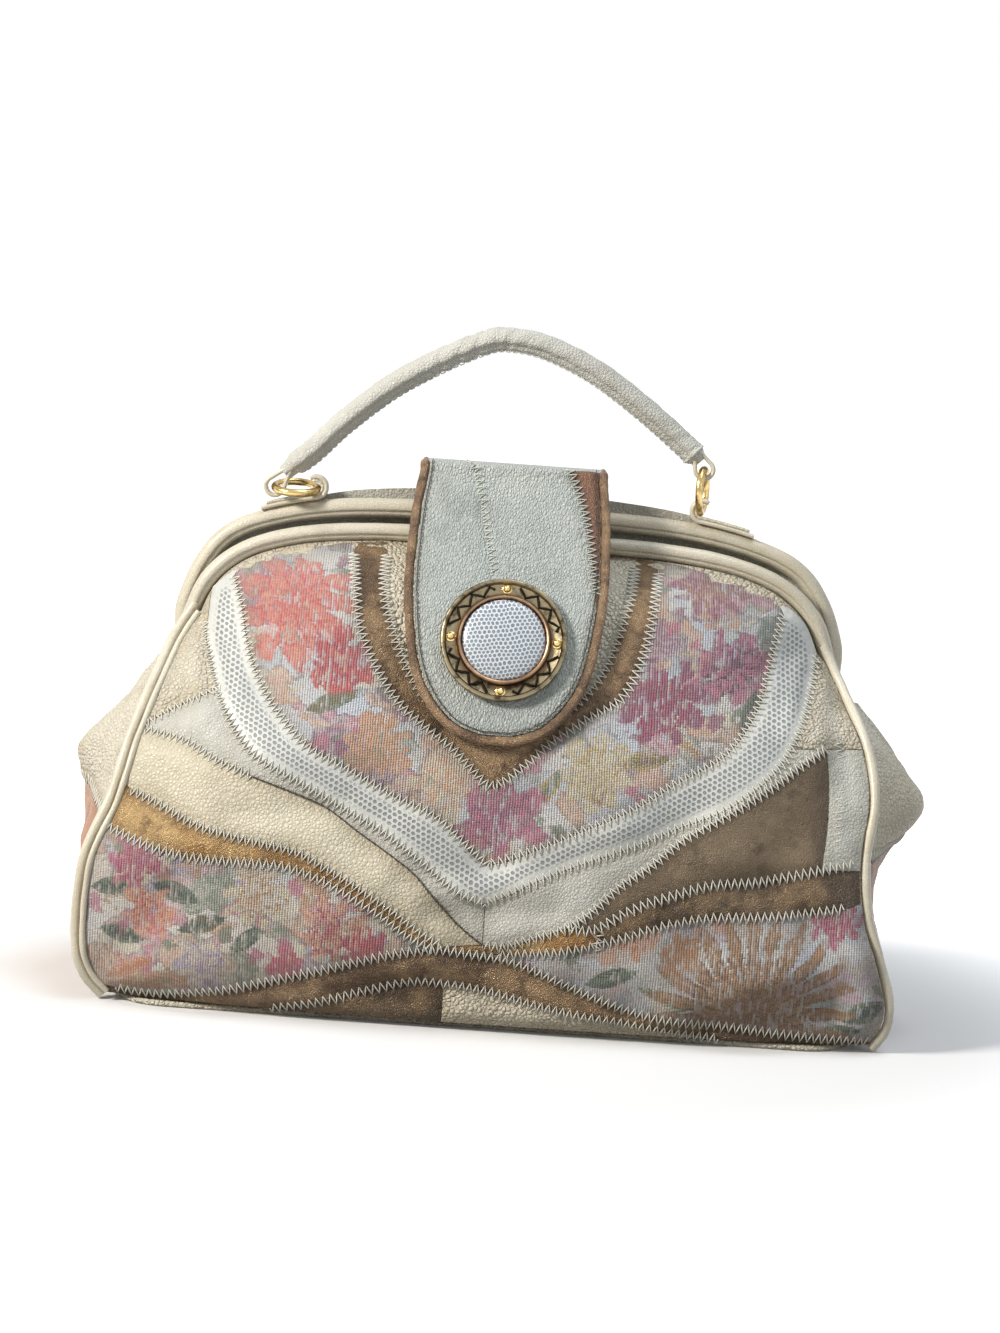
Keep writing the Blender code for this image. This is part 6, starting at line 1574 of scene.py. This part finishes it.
def cover(title, node, body, shares, size, centre_y, band):
    """The leather round one arch."""
    foot = PIVOT - 0.0040
    line = [p for p in arch_line(shares, *size, 10) if p[1] > PIVOT + 0.002]
    line = [(line[0][0], foot), *line, (line[-1][0], foot)]
    path = [(x, centre_y, z) for x, z in resampled(line, COVER_STEP)]
    ring = [(a * COVER_HALF_DEPTH, b * band / 2) for a, b in circle(1.0, 32)]

    def section(share):
        """A round tube with a sewn crease low on its front, and closed round ends."""
        from_end = min(share, 1 - share) * (len(path) - 1) * COVER_STEP
        close = math.sqrt(max(0.02, 1 - max(0.0, 1 - from_end / COVER_END) ** 2))
        swell = close * (1 + 0.012 * math.sin(share * 70) + 0.008 * math.sin(share * 173))
        creased = []
        for a, b in ring:
            dent = 1 - 0.16 * math.exp(-(((-b - band * 0.20) / (band * 0.07)) ** 2)) * (a < 0)
            creased.append((a * swell * dent, b * swell * dent))
        return creased

    roll = finished(title, sweep(path, section, up=(0, 1, 0)), cover_hide)
    return sit_on(roll, body, "cream_leather", node)


cover("rear_arch_leather", "rear_frame_cover", "rear_frame", REAR_ARCH, REAR_SIZE, ARCH_Y, 0.0085)
cover("front_arch_leather", "front_frame_cover", "front_frame", FRONT_ARCH, FRONT_SIZE, -ARCH_Y, 0.0075)
print("covers: 2")

# %% [markdown]
# ## Small fittings from the fixed model
# The rivets and the tabs' studs have the right shape already, with hard edges. A copy of each is
# merged, bevelled and subdivided, which rounds the edges as turned metal has them.

# %% Refined copies
def refined(title, node, material):
    """A copy of a fixed node with rounded edges."""
    bm = bmesh.new()
    bm.from_mesh(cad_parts[node].data)
    bmesh.ops.remove_doubles(bm, verts=bm.verts, dist=2e-6)
    bmesh.ops.dissolve_limit(bm, angle_limit=math.radians(1.5), verts=bm.verts, edges=bm.edges)
    item = finished(title, bm, material, crisp=180.0)
    edge = item.modifiers.new("edge", "BEVEL")
    edge.width, edge.segments = 0.0002, 2
    edge.limit_method, edge.angle_limit = "ANGLE", math.radians(35)
    item.modifiers.new("even", "TRIANGULATE")
    soft = item.modifiers.new("soft", "SUBSURF")
    soft.levels = soft.render_levels = 1
    return item


for part, body in (("tab_stud", "rear_frame"), ("rivet", "bag_body")):
    for side in ("left", "right"):
        sit_on(refined(f"{side}_{part}", f"{part}_{side}", gold), body, "gold_metal", f"{part}_{side}")
print("refined fittings: 4")


# %% [markdown]
# ## Tabs and loops
# Each tab is a strap of pale leather with a beige backing, that lies on the rear arch and curls
# up round the ring. The handle's ends have a folded strap each, whose legs part round the ring.

# %% Tabs and loops
rear_arch_x, rear_arch_z = np.array(arch_line(REAR_ARCH, *REAR_SIZE, 10)).T


def over_cover(x):
    """The height of the rear cover's upper side."""
    return float(np.interp(x, rear_arch_x, rear_arch_z)) + 0.0043


def strap_sweep(title, path, half_width, thick, material):
    """A flat strap along a line in the plane of the handle."""
    points = [(x, ARCH_Y, z) for x, z in resampled(path, 0.0007)]
    box = soft_box(half_width, thick / 2, thick * 0.45, 3)
    return finished(title, sweep(points, lambda share: box, up=(0, 1, 0)), material)


def tab_path(pin_x, side, lift, radius, reach, turn):
    """A line along the arch that curls up and over a ring's wire."""
    centre_x = pin_x + side * 0.0006
    centre_z = over_cover(pin_x) + TAB_LIFT + TAB_CURL
    line = [(pin_x + side * d, over_cover(pin_x + side * d) + lift) for d in np.linspace(reach, 0.005, 9)]
    for t in np.linspace(0, math.radians(turn), 26):
        line.append((centre_x - side * radius * math.sin(t), centre_z - radius * math.cos(t)))
    return line


TAB_LIFT, TAB_CURL = 0.0011, 0.0046
for name, pin_x, side in (("left", -0.0877, -1), ("right", 0.0800, 1)):
    outer = tab_path(pin_x, side, TAB_LIFT, TAB_CURL, 0.0238, 214)
    inner = tab_path(pin_x, side, TAB_LIFT + 0.0016, TAB_CURL - 0.0016, 0.0216, 196)
    sit_on(strap_sweep(f"{name}_ring_tab", outer, 0.0040, 0.0019, cord), "rear_frame",
           "white_leather", f"ring_tab_{name}")
    sit_on(strap_sweep(f"{name}_tab_backing", inner, 0.0037, 0.0013, beige), "rear_frame", "tan_leather")


def loop_path(x, z, lean, radius, reach):
    """Two legs that run together away from a ring."""
    out = Vector((math.cos(lean), math.sin(lean)))
    side = Vector((-out.y, out.x))
    legs = [Vector((x, z)) + out * reach + side * s * 0.0009 for s in (1, -1)]
    turns = np.linspace(lean + math.radians(62), lean + math.radians(298), 30)
    bow = [(x + radius * math.cos(t), z + radius * math.sin(t)) for t in turns]
    return [tuple(legs[0]), *bow, tuple(legs[1])]


for name, body, x, z, lean, reach in (("left", "left_loop", -0.1063, 0.2190, 54, 0.0098),
                                      ("right", "handle", 0.0800, 0.2391, 117, 0.0092)):
    line = loop_path(x, z, math.radians(lean), 0.0040, reach)
    loop = strap_sweep(f"{name}_handle_loop", line, 0.0034, 0.0018, cord)
    sit_on(loop, body, "white_leather", f"handle_loop_{name}")
print("tabs and loops: 4")

# %% [markdown]
# ## Rings
# Two round wire rings join the handle to the tabs. The left one has fallen flat and the right
# one stands on edge.

# %% Rings
RING_RADIUS, WIRE_RADIUS = 0.0093, 0.0017


def ring(title, node, body, centre, normal):
    """A round wire ring."""
    normal = Vector(normal)
    side = normal.orthogonal().normalized()
    other = normal.cross(side)
    path = [Vector(centre) + side * a + other * b for a, b in circle(RING_RADIUS, 64)]
    wire = finished(title, sweep(path, lambda share: circle(WIRE_RADIUS, 16), closed=True), gold)
    return sit_on(wire, body, "gold_metal", node)


ring("left_wire_ring", "ring_left", "left_ring", (-0.0970, ARCH_Y, 0.2190), (0, -0.22, 0.9755))
ring("right_wire_ring", "ring_right", "right_ring", (0.0800, ARCH_Y, 0.2298), (0.978, -0.208, 0))

# %% [markdown]
# ## Handle
# A rope core in white leather, sewn along its underside. The leather twists near the crown, so
# the roll carries slanting folds there, and it is pinched flat at both ends.

# %% Handle
HANDLE_RADIUS = 0.0053
HANDLE_SHARES = pairs(0, 0, 50, 120, 120, 330, 230, 600, 340, 800, 447, 955, 510, 1000, 610, 965, 740, 810,
                      865, 575, 970, 345, 1000, 270)
handle_line = [(-0.0990 + 0.1745 * x, 0.2285 + 0.0610 * z) for x, z in smooth_through(HANDLE_SHARES, 14)]
handle_line = [(-0.1024, 0.2249), (-0.1010, 0.2264), *handle_line, (0.0768, 0.2440), (0.0782, 0.2426)]
handle_path = [(x, ARCH_Y, z) for x, z in handle_line]
HANDLE_CREASES = (  # share of the length, lean, depth
    (0.385, 0.020, 0.0007), (0.425, 0.026, 0.0011), (0.462, 0.022, 0.0008), (0.560, 0.014, 0.0004),
    (0.890, 0.010, 0.0003),
)


def handle_section(share):
    """The handle's section: a roll with a sunk seam below, and slanting folds at the crown."""
    points = []
    neck = 0.34 * math.exp(-((share / 0.022) ** 2)) + 0.40 * math.exp(-(((share - 1) / 0.010) ** 2))
    collar = 0.10 * math.exp(-(((share - 0.965) / 0.014) ** 2))
    for i in range(36):
        t = 2 * math.pi * i / 36
        round_front = math.sin(t + 0.6)
        fold = -sum(deep * math.exp(-(((share - at - lean * round_front) / 0.0065) ** 2))
                    for at, lean, deep in HANDLE_CREASES)
        ribs = 0.00007 * math.sin(share * 620) + 0.00010 * math.sin(share * 150 + 3 * t)
        valley = 0.0009 * math.exp(-(((t - math.pi - 0.55) / 0.20) ** 2))
        lip = 0.0003 * math.exp(-(((t - math.pi - 0.10) / 0.25) ** 2))
        radius = (HANDLE_RADIUS + fold + ribs - valley + lip) * (1 - neck + collar)
        points.append((radius * math.cos(t), radius * math.sin(t)))
    return points


handle = finished("handle_leather", sweep(handle_path, handle_section, up=(0, 1, 0)), white)
sit_on(handle, "handle", "white_leather", "handle_cover")
handle_seam = []
for i in range(8, len(handle_path) - 8):
    run = (Vector(handle_path[i + 1]) - Vector(handle_path[i - 1])).normalized()
    down = run.cross(Vector((0, -1, 0))).normalized()
    if down.z > 0:
        down.negate()
    handle_seam.append((Vector(handle_path[i]) + down * 0.0049 + Vector((0, -0.0022, 0)), down))
handle_stitches = sew("handle_stitches", [handle_seam], RUNNING, (0.0030, 0.0, 0.00028, 0.0009), thread)
sit_on(handle_stitches, "handle", "mesh_trim")

# %% [markdown]
# ## Flap and strap
# The flap is a tongue of pebbled leather with a rolled bronze border. Two seams run down it, and
# right of the second one the leather is brown. It hangs from a strap that crosses both arches.
# At the hinge the flap's leather rolls over the pin line in a half round, which turns in place.

# %% Flap surface
FLAP_X, FLAP_HINGE_Y, FLAP_HINGE_Z, FLAP_DROP = -0.0025, -0.0160, 0.2330, 0.1110
STANDOFF = 0.0058
SHOULDER = ((0.0, 0.0160), (0.10, 0.0216), (0.20, 0.0281), (0.30, 0.0348), (0.40, 0.0416), (0.46, 0.0459),
            (0.50, 0.0491), (0.54, 0.0518), (0.60, 0.0546))
FLAP_SIDES = pairs(930, 0, 980, 160, 1000, 390, 970, 540, 880, 730, 720, 860, 460, 960, 160, 1000)
FLAP_HALF_WIDTH, FLAP_START = 0.0430, 0.0014  # its sides start a little below the hinge
shoulder_read = reader(SHOULDER)


def flap_skin(x, z):
    """The inner face of the flap."""
    x, z = np.asarray(x, float), np.asarray(z, float)
    drop = (FLAP_HINGE_Z - z) / FLAP_DROP
    middle = panel_depth(np.full_like(x, FLAP_X), z)
    over = middle + STANDOFF
    rests = np.clip((drop - 0.46) / 0.10, 0, 1)
    depth = shoulder_read(np.minimum(drop, 0.60)) * (1 - rests) + over * rests
    return depth - (middle - panel_depth(x, z)) * np.clip((drop - 0.36) / 0.30, 0, 1)


def flap_top_skin(x, z):
    """The flap's leather, with the soft dents beside its seams."""
    x, z = np.asarray(x, float), np.asarray(z, float)
    dents = folds_of(((-20, 236, -15, 218, 4, -0.4), (-15, 218, -8, 190, 4, -0.4),
                      (-20.5, 236, -15, 218, 1.1, -0.7), (-15, 218, -11.5, 204, 1.1, -0.7),
                      (-11.5, 204, -8.5, 190, 1.1, -0.7), (-17.3, 232, -9, 204, 1.6, 0.4),
                      (20, 234, 30, 216, 4, -0.5), (-36, 160, -30, 140, 6, 0.5), (2, 231, 6, 206, 6, 0.5),
                      (22, 132, 34, 152, 6, 0.5)), x, z)
    return flap_skin(x, z) + dents


ROLL_RADIUS, ROLL_TURN = 0.0029, math.radians(160)
ROLL_EDGE = FLAP_HINGE_Z + ROLL_RADIUS * ROLL_TURN


def hung(x, z, lift):
    """A place on the flap. Above the hinge line the leather rolls back round that line."""
    x, z = np.asarray(x, float), np.asarray(z, float)
    turn = np.maximum(z - FLAP_HINGE_Z, 0.0) / ROLL_RADIUS
    out = flap_top_skin(x, np.minimum(z, FLAP_HINGE_Z)) + lift
    off = out + FLAP_HINGE_Y
    y = np.where(turn > 0, FLAP_HINGE_Y - off * np.cos(turn), -out)
    return x, y, np.where(turn > 0, FLAP_HINGE_Z + off * np.sin(turn), z)


def flap_outline(inset, top=ROLL_EDGE):
    """The flap's outline from its top left round its tip to its top right."""
    half = FLAP_HALF_WIDTH - inset
    drop = FLAP_DROP - inset - FLAP_START
    right = [(x, FLAP_HINGE_Z - FLAP_START - drop * z) for x, z in smooth_through(FLAP_SIDES, 6)]
    right = [(0.93, top), *right]
    left = [(FLAP_X - half * x, z) for x, z in right]
    return left + [(FLAP_X + half * x, z) for x, z in right[::-1]]


CORNER_SEAM = [(0.0208, ROLL_EDGE), (0.0214, 0.2360), (0.0226, 0.2330), (0.0262, 0.2250), (0.0290, 0.2170),
               (0.0312, 0.2080), (0.0330, 0.1990), (0.0345, 0.1900), (0.0355, 0.1822)]
ring_points = flap_outline(0.0040)
right_half = [p for p in ring_points if p[0] > 0.0 and p[1] > 0.1826]
cut = smooth_through(CORNER_SEAM, 4)
face_outline = [p for p in ring_points if not (p[0] > 0.0 and p[1] > 0.1818)] + cut[::-1]
flap_face = sheet_piece("flap_face", looped(face_outline, 0.0022), flap_top_skin, -1, mint, rise=0.0029,
                        thick=0.0016, cell=0.0012, swell=0.0005, dip=0.0004, reach=0.002, place=hung)
sit_on(flap_face, "flap", "mint_leather", "flap_leather")
corner_outline = resampled(thinned(cut + right_half, 0.0004), 0.0016)
corner_piece = sheet_piece("flap_corner_piece", corner_outline, flap_top_skin, -1, umber, rise=0.0027,
                           thick=0.0014, cell=0.0014, swell=0.0002, dip=0.0003, reach=0.002, place=hung)
sit_on(corner_piece, "flap", "tan_leather")
underside = sheet_piece("flap_underside", resampled(flap_outline(0.0040, 0.2322), 0.003), flap_skin, -1,
                        lining_cloth, rise=0.0010, thick=0.0010, cell=0.004, swell=0.0, dip=0.0)
sit_on(underside, "flap", "lining_cloth", "flap_lining")

# %% Flap border
def border_section(share):
    """A round cord, a little uneven along its length."""
    return circle(0.0020 * (1 + 0.05 * math.sin(share * 150) + 0.03 * math.sin(share * 391)), 14)


border_line = np.array(resampled(flap_outline(0.0017), 0.0022)).T
border = finished("flap_border", sweep(list(zip(*hung(*border_line, 0.0015))), border_section), piping_foil)
sit_on(border, "flap", "bronze_leather", "flap_piping")

# %% Strap
STRAP_LINE = [(-0.0106, 0.2341), (-0.0075, 0.2349), (0.0, 0.2352), (0.0060, 0.2344), (0.0100, 0.2318),
              (0.0126, 0.2278), (0.0131, 0.2235), (0.0131, 0.2100), (0.0131, 0.2000)]


def strap_path():
    """The strap's centre line over the arches and down the rear."""
    line = smooth_through(STRAP_LINE, 5)
    for z in np.linspace(0.197, 0.183, 5):
        over = float(np.max(rear_skin(np.linspace(-0.03, 0.03, 7), np.full(7, z))))
        line.append((over + 0.0015, float(z)))
    return [(FLAP_X, y, z) for y, z in line]


STRAP_HALF_WIDTH = 0.0385
strap_box = soft_box(STRAP_HALF_WIDTH, 0.0010, 0.0009, 3)
strap = finished("flap_strap_leather", sweep(strap_path(), lambda share: strap_box, up=(1, 0, 0)), mint)
sit_on(strap, "rear_frame", "mint_leather", "flap_strap")
for name, side in (("left", -1), ("right", 1)):
    path = [(x + side * STRAP_HALF_WIDTH, y, z) for x, y, z in strap_path()]
    roll = finished(f"strap_{name}_edge", sweep(path, lambda share: circle(0.0014, 10)), piping_foil)
    sit_on(roll, "rear_frame", "bronze_leather")

# %% Flap stitches
def on_flap(line, lift):
    """A line laid on the flap's leather, also where it rolls back, with its normals."""
    x, z = np.array(resampled([tuple(p) for p in line], 0.0012)).T
    here, along, across = (
        np.array(hung(*at, lift)).T for at in ((x, z), (x, z + 0.0006), (x + 0.0006, z))
    )
    normals = np.cross(across - here, along - here)
    normals /= np.linalg.norm(normals, axis=1)[:, None]
    return [(Vector(p), Vector(n)) for p, n in zip(here, normals)]


seam_one = on_flap(smooth_through([(-0.0215, 0.2405), (-0.0205, 0.2360), (-0.0185, 0.2320), (-0.0150, 0.2180),
                                   (-0.0115, 0.2040), (-0.0085, 0.1905)], 6), 0.0038)
seam_two = on_flap([p for p in cut if 0.184 < p[1] < 0.2400], 0.0031)
flap_zigzags = sew("flap_zigzag_stitches", [seam_one, seam_two], ZIGZAG,
                   (0.0030, 0.0048, 0.00030, 0.0002), mint_thread)
sit_on(flap_zigzags, "flap", "mint_leather")
edge_seam = on_flap(flap_outline(0.0052, 0.2375), 0.0030)
flap_running = sew("flap_edge_stitches", [edge_seam], RUNNING,
                   (0.0032, 0.0, 0.00026, 0.0010), dark_thread)
sit_on(flap_running, "flap", "tan_leather")

# %% [markdown]
# ## Ornament
# A turned bezel in old bronze holds a domed disc of lizard skin in a copper-toned collar. The
# bezel's channel has four dark zigzags between four beads. Turned parts are a profile spun about
# the button's own axis, and the zigzag is sewn by the stitch tree with a heavy blackened wire.

# %% Ornament
BUTTON_X, BUTTON_Z, BUTTON_REACH = -0.002, 0.1630, 0.014
below, above = flap_skin([BUTTON_X, BUTTON_X], [BUTTON_Z - BUTTON_REACH, BUTTON_Z + BUTTON_REACH])
button_normal = Vector((0.0, -1.0, float(below - above) / (2 * BUTTON_REACH))).normalized()
button_seat = sum(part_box("ornament_bezel"), Vector()) / 2 - button_normal * 0.0015
button_side = Vector((1, 0, 0))
button_up = button_normal.cross(button_side)


def lathe(title, profile, material, steps=96, centre=None):
    """Spins a closed profile of (radius, height) about the button's axis."""
    centre = button_seat if centre is None else centre
    rings = []
    for i in range(steps):
        t = 2 * math.pi * i / steps
        out = button_side * math.cos(t) + button_up * math.sin(t)
        rings.append([centre + out * r + button_normal * h for r, h in profile])
    bm = skin_of(rings, closed=True)
    bmesh.ops.remove_doubles(bm, verts=bm.verts, dist=1e-6)
    return finished(title, bm, material, crisp=40.0)


BEZEL = ((0.0198, 0.0), (0.0262, 0.0), (0.0265, 0.0004), (0.0266, 0.0022), (0.0263, 0.0028),
         (0.0257, 0.0031), (0.0250, 0.0030), (0.0246, 0.0025), (0.0243, 0.0015), (0.0240, 0.0013),
         (0.0202, 0.0013), (0.0198, 0.0010))
COLLAR = ((0.0178, 0.0), (0.0194, 0.0), (0.0195, 0.0026), (0.0192, 0.0034), (0.0186, 0.0038),
          (0.0181, 0.0036), (0.0178, 0.0030))
sit_on(lathe("button_bezel", BEZEL, antique), "flap", "bronze_metal", "ornament_bezel")
sit_on(lathe("button_collar", COLLAR, collar_metal), "flap", "gold_metal", "ornament_collar")
DOME = [(0.0, 0.0), (0.0174, 0.0), (0.0175, 0.0020)]
DOME += [(0.0175 * math.cos(t), 0.0020 + 0.0030 * math.sin(t)) for t in np.linspace(0.12, 1.5, 12)]
DOME.append((0.0, 0.0050))
sit_on(lathe("button_insert", DOME, insert_skin), "flap", "lizard_insert", "ornament_insert")
for i, place in enumerate(("right", "top", "left", "bottom")):
    foot = sum(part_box(f"ornament_bead_{place}"), Vector()) / 2 - button_normal * 0.0014
    bead = [(0.0, 0.0), (0.0019, 0.0), (0.0021, 0.0006), (0.0016, 0.0009)]
    bead += [(0.0016 * math.cos(t), 0.0011 + 0.0016 * math.sin(t)) for t in np.linspace(0.0, 1.5, 7)]
    bead.append((0.0, 0.0028))
    item = lathe(f"button_bead_{place}", bead, gold, 20, foot)
    sit_on(item, "flap", "gold_metal", f"ornament_bead_{place}")

arcs = []
for quarter in range(4):
    turns = [math.radians(90 * quarter + a) for a in np.linspace(13, 77, 40)]
    arcs.append([(button_seat + (button_side * math.cos(t) + button_up * math.sin(t)) * 0.0221
                  + button_normal * 0.0013, button_normal) for t in turns])
button_zigzag = sew("button_zigzag", arcs, ZIGZAG, (0.0074, 0.0032, 0.00066, 0.0001), blackening)
sit_on(button_zigzag, "flap", "bronze_metal")

# %% [markdown]
# ## Fixed nodes that stay
# The steel bars, the board, the rope core and the magnets are hidden or nearly so, and have the
# right shape already. They only get their finishes.

# %% Finishes for the fixed nodes
board_card = leather("board_card", (128, 108, 82), (146, 124, 96), (92, 76, 58), cells=1800,
                     relief=0.00006, rough=0.8)
STAYING = {"rear_frame_bar": steel, "front_frame_bar": steel, "magnet_flap": steel, "magnet_panel": steel,
           "base_board": board_card, "handle_core": board_card}
for node, finish in STAYING.items():
    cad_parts[node].data.materials.clear()
    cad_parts[node].data.materials.append(finish)
shown = [n for n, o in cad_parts.items() if not o.hide_render]
print("fixed nodes still shown:", sorted(shown))

# %% [markdown]
# ## Floor, sky and light
# A wide flat floor shows white to the camera, except near the purse, where it keeps the shadow.
# The sky is white to the camera and to metal, and gives little light of its own. Three soft lamps
# light the purse at a level where a colour looks as it was mixed.

# %% Stage
def stage_material():
    """Pale floor that keeps the shadow near the purse and reads white further off."""
    material, tree, shader = new_material("floor_paper")
    shader.inputs["Roughness"].default_value = 0.9
    path = put(tree, "ShaderNodeLightPath").outputs
    paper = mixed(tree, path["Is Diffuse Ray"], srgb(240, 240, 240), srgb(150, 148, 144))
    tree.links.new(paper, shader.inputs["Base Color"])
    seen = calc(tree, "MAXIMUM", path["Is Camera Ray"], path["Is Glossy Ray"])
    away = vcalc(tree, "LENGTH", object_place(tree), out=1)
    glow = fade(tree, away, 0.19, 0.44, 0.04, 0.97)
    tree.links.new(times(tree, seen, glow), shader.inputs["Emission Strength"])
    shader.inputs["Emission Color"].default_value = (1, 1, 1, 1)
    return material


FLOOR_Z, FLOOR_SIDES = -0.0002, 48
floor_bm = bmesh.new()
rings = [[floor_bm.verts.new((x, y, FLOOR_Z)) for x, y in circle(radius, FLOOR_SIDES)]
         for radius in (0.4, 1.2, 4.0, 14.0)]
floor_bm.faces.new(rings[0])
for low, high in zip(rings, rings[1:]):
    for i in range(FLOOR_SIDES):
        j = (i + 1) % FLOOR_SIDES
        floor_bm.faces.new((low[i], high[i], high[j], low[j]))
floor = finished("floor", floor_bm, stage_material())

world = bpy.data.worlds.new("sky")
scene.world = world
world.use_nodes = True
sky = world.node_tree
backdrop = sky.nodes["Background"]
path = put(sky, "ShaderNodeLightPath").outputs
seen = calc(sky, "MAXIMUM", path["Is Camera Ray"], calc(sky, "MAXIMUM", path["Is Glossy Ray"],
                                                         path["Is Transmission Ray"]))
backdrop.inputs["Color"].default_value = (1, 1, 1, 1)
sky.links.new(calc(sky, "MULTIPLY_ADD", seen, 0.82, 0.18), backdrop.inputs["Strength"])


def lamp(title, place, size, watts, tint=(1, 1, 1)):
    """A large soft lamp that faces the purse."""
    light = bpy.data.lights.new(title, "AREA")
    light.size = size
    light.energy = watts
    light.color = tint
    item = bpy.data.objects.new(title, light)
    item.location = place
    item.rotation_euler = (Vector((0, 0, 0.12)) - Vector(place)).to_track_quat("-Z", "Y").to_euler()
    scene.collection.objects.link(item)


lamp("key_lamp", (-1.5, -0.95, 1.25), 0.42, 45, (1.0, 0.955, 0.89))
lamp("fill_lamp", (1.7, -1.5, 0.9), 1.2, 5, (0.80, 0.90, 1.0))
lamp("top_lamp", (0.4, -0.1, 1.9), 0.8, 14, (0.86, 0.93, 1.0))

# %% Scene update
bpy.context.view_layer.update()
